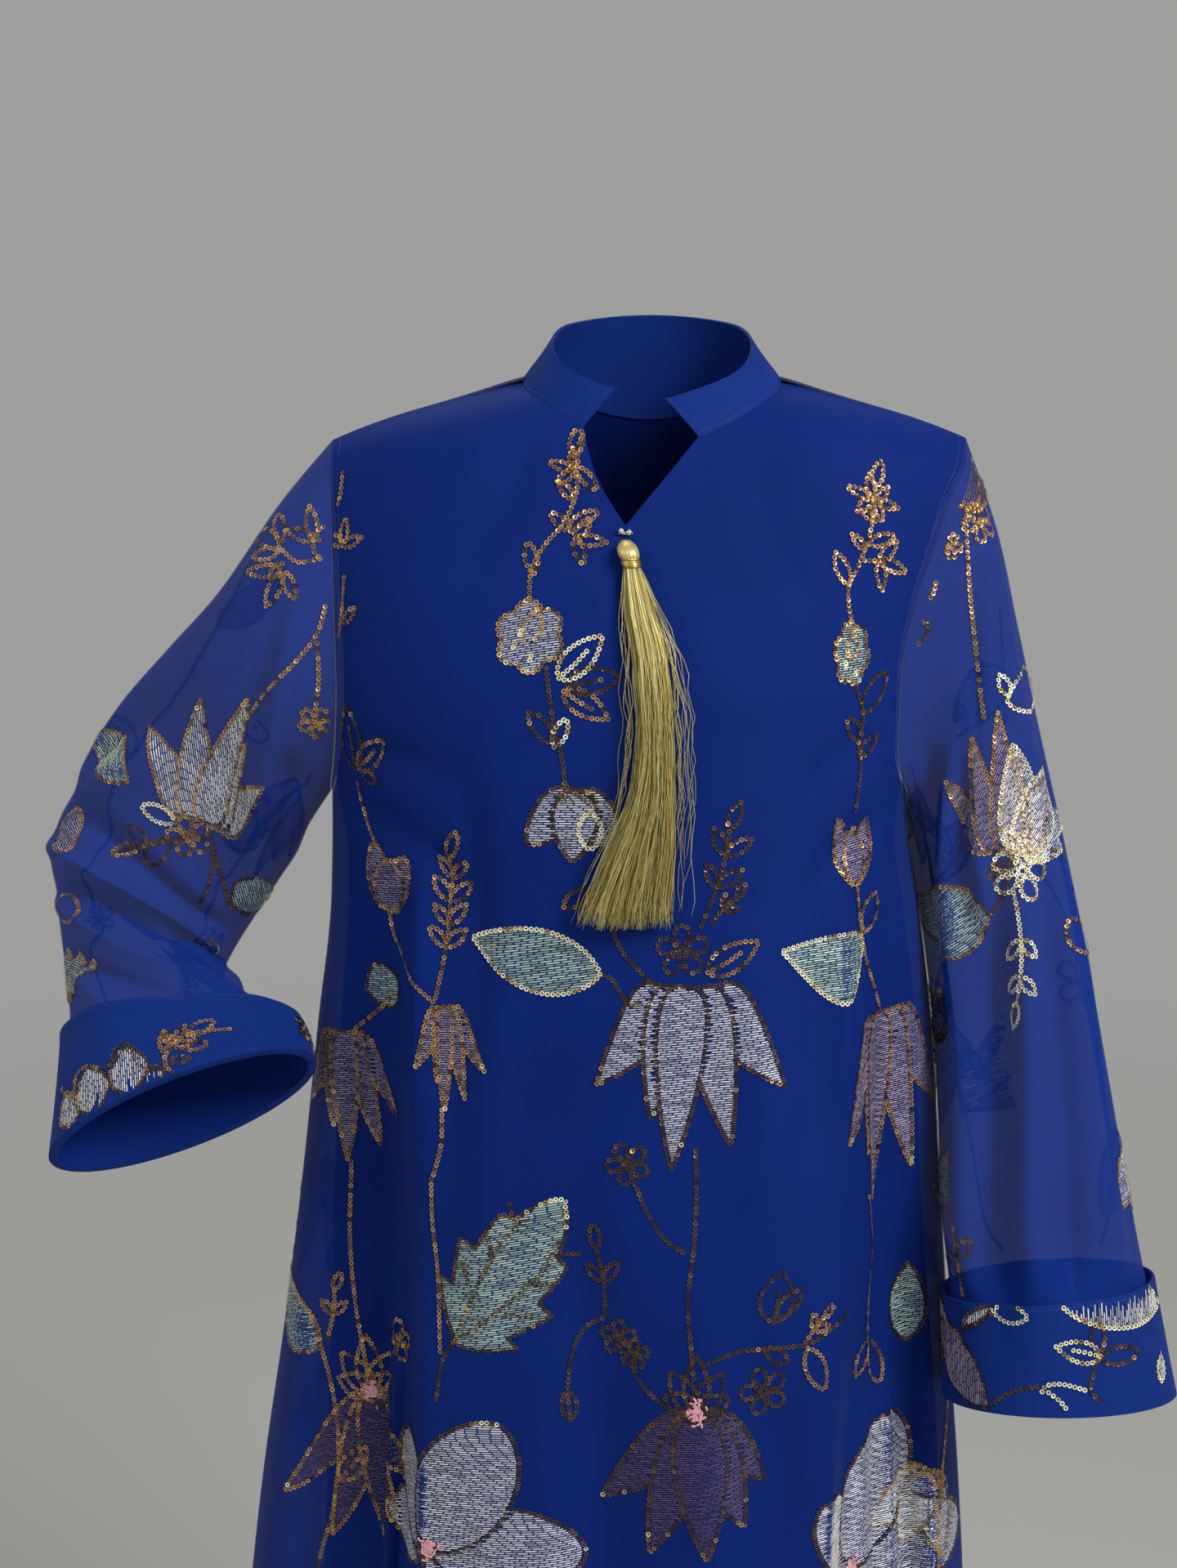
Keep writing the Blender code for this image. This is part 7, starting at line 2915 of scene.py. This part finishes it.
    def build(self, front: np.ndarray, rng: np.random.Generator) -> None:
        """Make the knot, the head, the wrap and the fringe on the front's outer face.

        Args:
            front: Points of the front's outer face.
            rng: The scene's stream of random numbers.
        """
        rows, columns = front.shape[:2]
        numbers = np.arange(rows * columns).reshape(rows, columns)
        quads = np.stack([numbers[:-1, :-1], numbers[:-1, 1:], numbers[1:, 1:], numbers[1:, :-1]], axis=-1)
        tree = BVHTree.FromPolygons(front.reshape(-1, 3).tolist(), quads.reshape(-1, 4).tolist())
        half_ribs = 0.5 * self.head_ribs * full_turn(self.head_sides)
        spine = self.spine(tree, TASSEL_HEAD_RINGS, self.head_steps)
        ribs = self.head_relief * np.abs(np.cos(half_ribs))[None, :]
        head = self.turned("tassel_cap", spine, ribs, GOLD_THREAD)
        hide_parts("tassel_head")
        half_wraps = math.pi * self.wrap_turns * np.linspace(0.0, 1.0, self.wrap_steps)
        spine = self.spine(tree, TASSEL_BAND_RINGS, self.wrap_steps)
        wraps = self.wrap_relief * np.abs(np.sin(half_wraps))[:, None]
        band = self.turned("tassel_wrap", spine, wraps, GOLD_WRAP)
        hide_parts("tassel_band")
        self.fringe(tree, rng)
        self.knot(tree)


@dataclass(frozen=True)
class Lamp:
    """A soft rectangular light."""

    name: str
    place: tuple[float, float, float]
    size: float
    power: float
    color: tuple[float, float, float] = (1.0, 1.0, 1.0)

    def build(self, target: tuple[float, float, float]) -> None:
        """Add the light, turned to its target.

        Args:
            target: Point that the light faces.
        """
        light = bpy.data.lights.new(self.name, "AREA")
        light.shape = "SQUARE"
        light.size = self.size
        light.energy = self.power
        light.color = self.color
        holder = bpy.data.objects.new(self.name, light)
        holder.location = self.place
        holder.rotation_euler = (Vector(target) - Vector(self.place)).to_track_quat("-Z", "Y").to_euler()
        bpy.context.scene.collection.objects.link(holder)


@dataclass(frozen=True)
class Studio:
    """Pale floor, grey surroundings and soft lights."""

    floor_z: float = -1.46
    floor_radius: float = 3.9
    floor_fade: float = 1.1
    floor_corners: int = 96
    floor_color: tuple[float, float, float, float] = (0.50, 0.50, 0.485, 1.0)
    world_color: tuple[float, float, float, float] = (0.345, 0.345, 0.335, 1.0)
    target: tuple[float, float, float] = (-0.03, -0.05, -0.45)
    lamps: tuple[Lamp, ...] = (
        Lamp("key", (1.9, -2.0, 1.7), 1.2, 84.0, (1.0, 0.99, 0.97)),
        Lamp("fill", (-2.3, -1.7, 1.0), 1.6, 12.0, (0.96, 0.98, 1.0)),
        Lamp("back", (-0.6, 2.2, 1.9), 1.6, 20.0),
    )

    def floor_material(self) -> bpy.types.Material:
        """Matt pale floor that melts into the surroundings towards its edge.

        Returns:
            The new material.
        """
        material, tree, shader = new_material("floor_pale")
        shader.inputs["Base Color"].default_value = self.floor_color
        shader.inputs["Roughness"].default_value = 0.9
        place = add_node(tree, "ShaderNodeTexCoord").outputs["Object"]
        reach = add_node(tree, "ShaderNodeVectorMath", {}, {0: place})
        reach.operation = "LENGTH"
        span = {"From Min": self.floor_fade, "From Max": 0.98 * self.floor_radius,
                "To Min": 1.0, "To Max": 0.0}
        fade = add_node(tree, "ShaderNodeMapRange", span, {"Value": reach.outputs["Value"]})
        fade.interpolation_type = "SMOOTHSTEP"
        tree.links.new(fade.outputs["Result"], shader.inputs["Alpha"])
        return material

    def build(self) -> None:
        """Add the floor, the surroundings, the lights and the camera."""
        scene = bpy.context.scene
        ring = [(x, y, 0.0) for x, y in self.floor_radius * on_circle(full_turn(self.floor_corners))]
        mesh = bpy.data.meshes.new("floor")
        mesh.from_pydata(ring, [], [list(range(self.floor_corners))])
        mesh.materials.append(self.floor_material())
        floor = bpy.data.objects.new("floor", mesh)
        floor.location.z = self.floor_z
        scene.collection.objects.link(floor)
        world = bpy.data.worlds.new("studio")
        world.use_nodes = True
        world.node_tree.nodes["Background"].inputs["Color"].default_value = self.world_color
        world.node_tree.nodes["Background"].inputs["Strength"].default_value = 1.0
        scene.world = world
        for lamp in self.lamps:
            lamp.build(self.target)
        VIEW.build()
        scene.view_settings.view_transform = "Standard"
        scene.view_settings.look = "None"


def main() -> None:
    """Build every piece in order and log it."""
    logging.basicConfig(level=logging.INFO, format="%(message)s")
    rng = np.random.default_rng(SEED)
    front_cut, back_cut = PanelCut(Face.FRONT, FRONT_STEPS), PanelCut(Face.BACK, BACK_STEPS)
    front, back = Panel(front_cut), Panel(back_cut)
    front_outer, back_outer = front.build(), back.build()
    LOG.info("body panels")
    for face in Face:
        Lining(PanelCut(face, LINING_STEPS)).build()
    LOG.info("linings")
    right = Sleeve(Side.RIGHT, RIGHT_SLEEVE_RINGS, RIGHT_SLEEVE_CREASES)
    left = Sleeve(Side.LEFT, LEFT_SLEEVE_RINGS, LEFT_SLEEVE_CREASES)
    cuff = Cuff()
    for sleeve in (right, left):
        sleeve.build()
        cuff.build(sleeve)
    LOG.info("sleeves and cuffs")
    collar = Collar()
    collar.build(collar.neck_seam(front_outer, back_outer, front_cut, back_cut))
    LOG.info("collar")
    Tassel().build(front_outer, rng)
    LOG.info("tassel")
    for work in (
            Embroidery("front", front.chart(), FRONT_PLANTS, FRONT_STEMS, FRONT_VINES),
            Embroidery("back", back.chart(), (), (), BACK_VINES),
            Embroidery("sleeve_right", right.chart(), RIGHT_SLEEVE_PLANTS, RIGHT_SLEEVE_STEMS, SLEEVE_VINES,
                       grain_turn=-22.0),
            Embroidery("sleeve_left", left.chart(), LEFT_SLEEVE_PLANTS, LEFT_SLEEVE_STEMS, SLEEVE_VINES),
            Embroidery("cuff_right", cuff.chart(right), RIGHT_CUFF_PLANTS, RIGHT_CUFF_STEMS, CUFF_VINES,
                       grain_turn=78.0),
            Embroidery("cuff_left", cuff.chart(left), LEFT_CUFF_PLANTS, LEFT_CUFF_STEMS, CUFF_VINES,
                       grain_turn=80.0)):
        pieces = work.build(rng)
        LOG.info("%s: %d faces", work.name, sum(len(piece.data.polygons) for piece in pieces))
    for cut in FLAT_CUTS:
        worn = [piece for piece in bpy.data.objects if piece.name in
                {cut.piece + ending for ending in ("_sequins", "_silk", "_stitching")}]
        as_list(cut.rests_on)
    Studio().build()


if __name__ == "__main__":
    main()
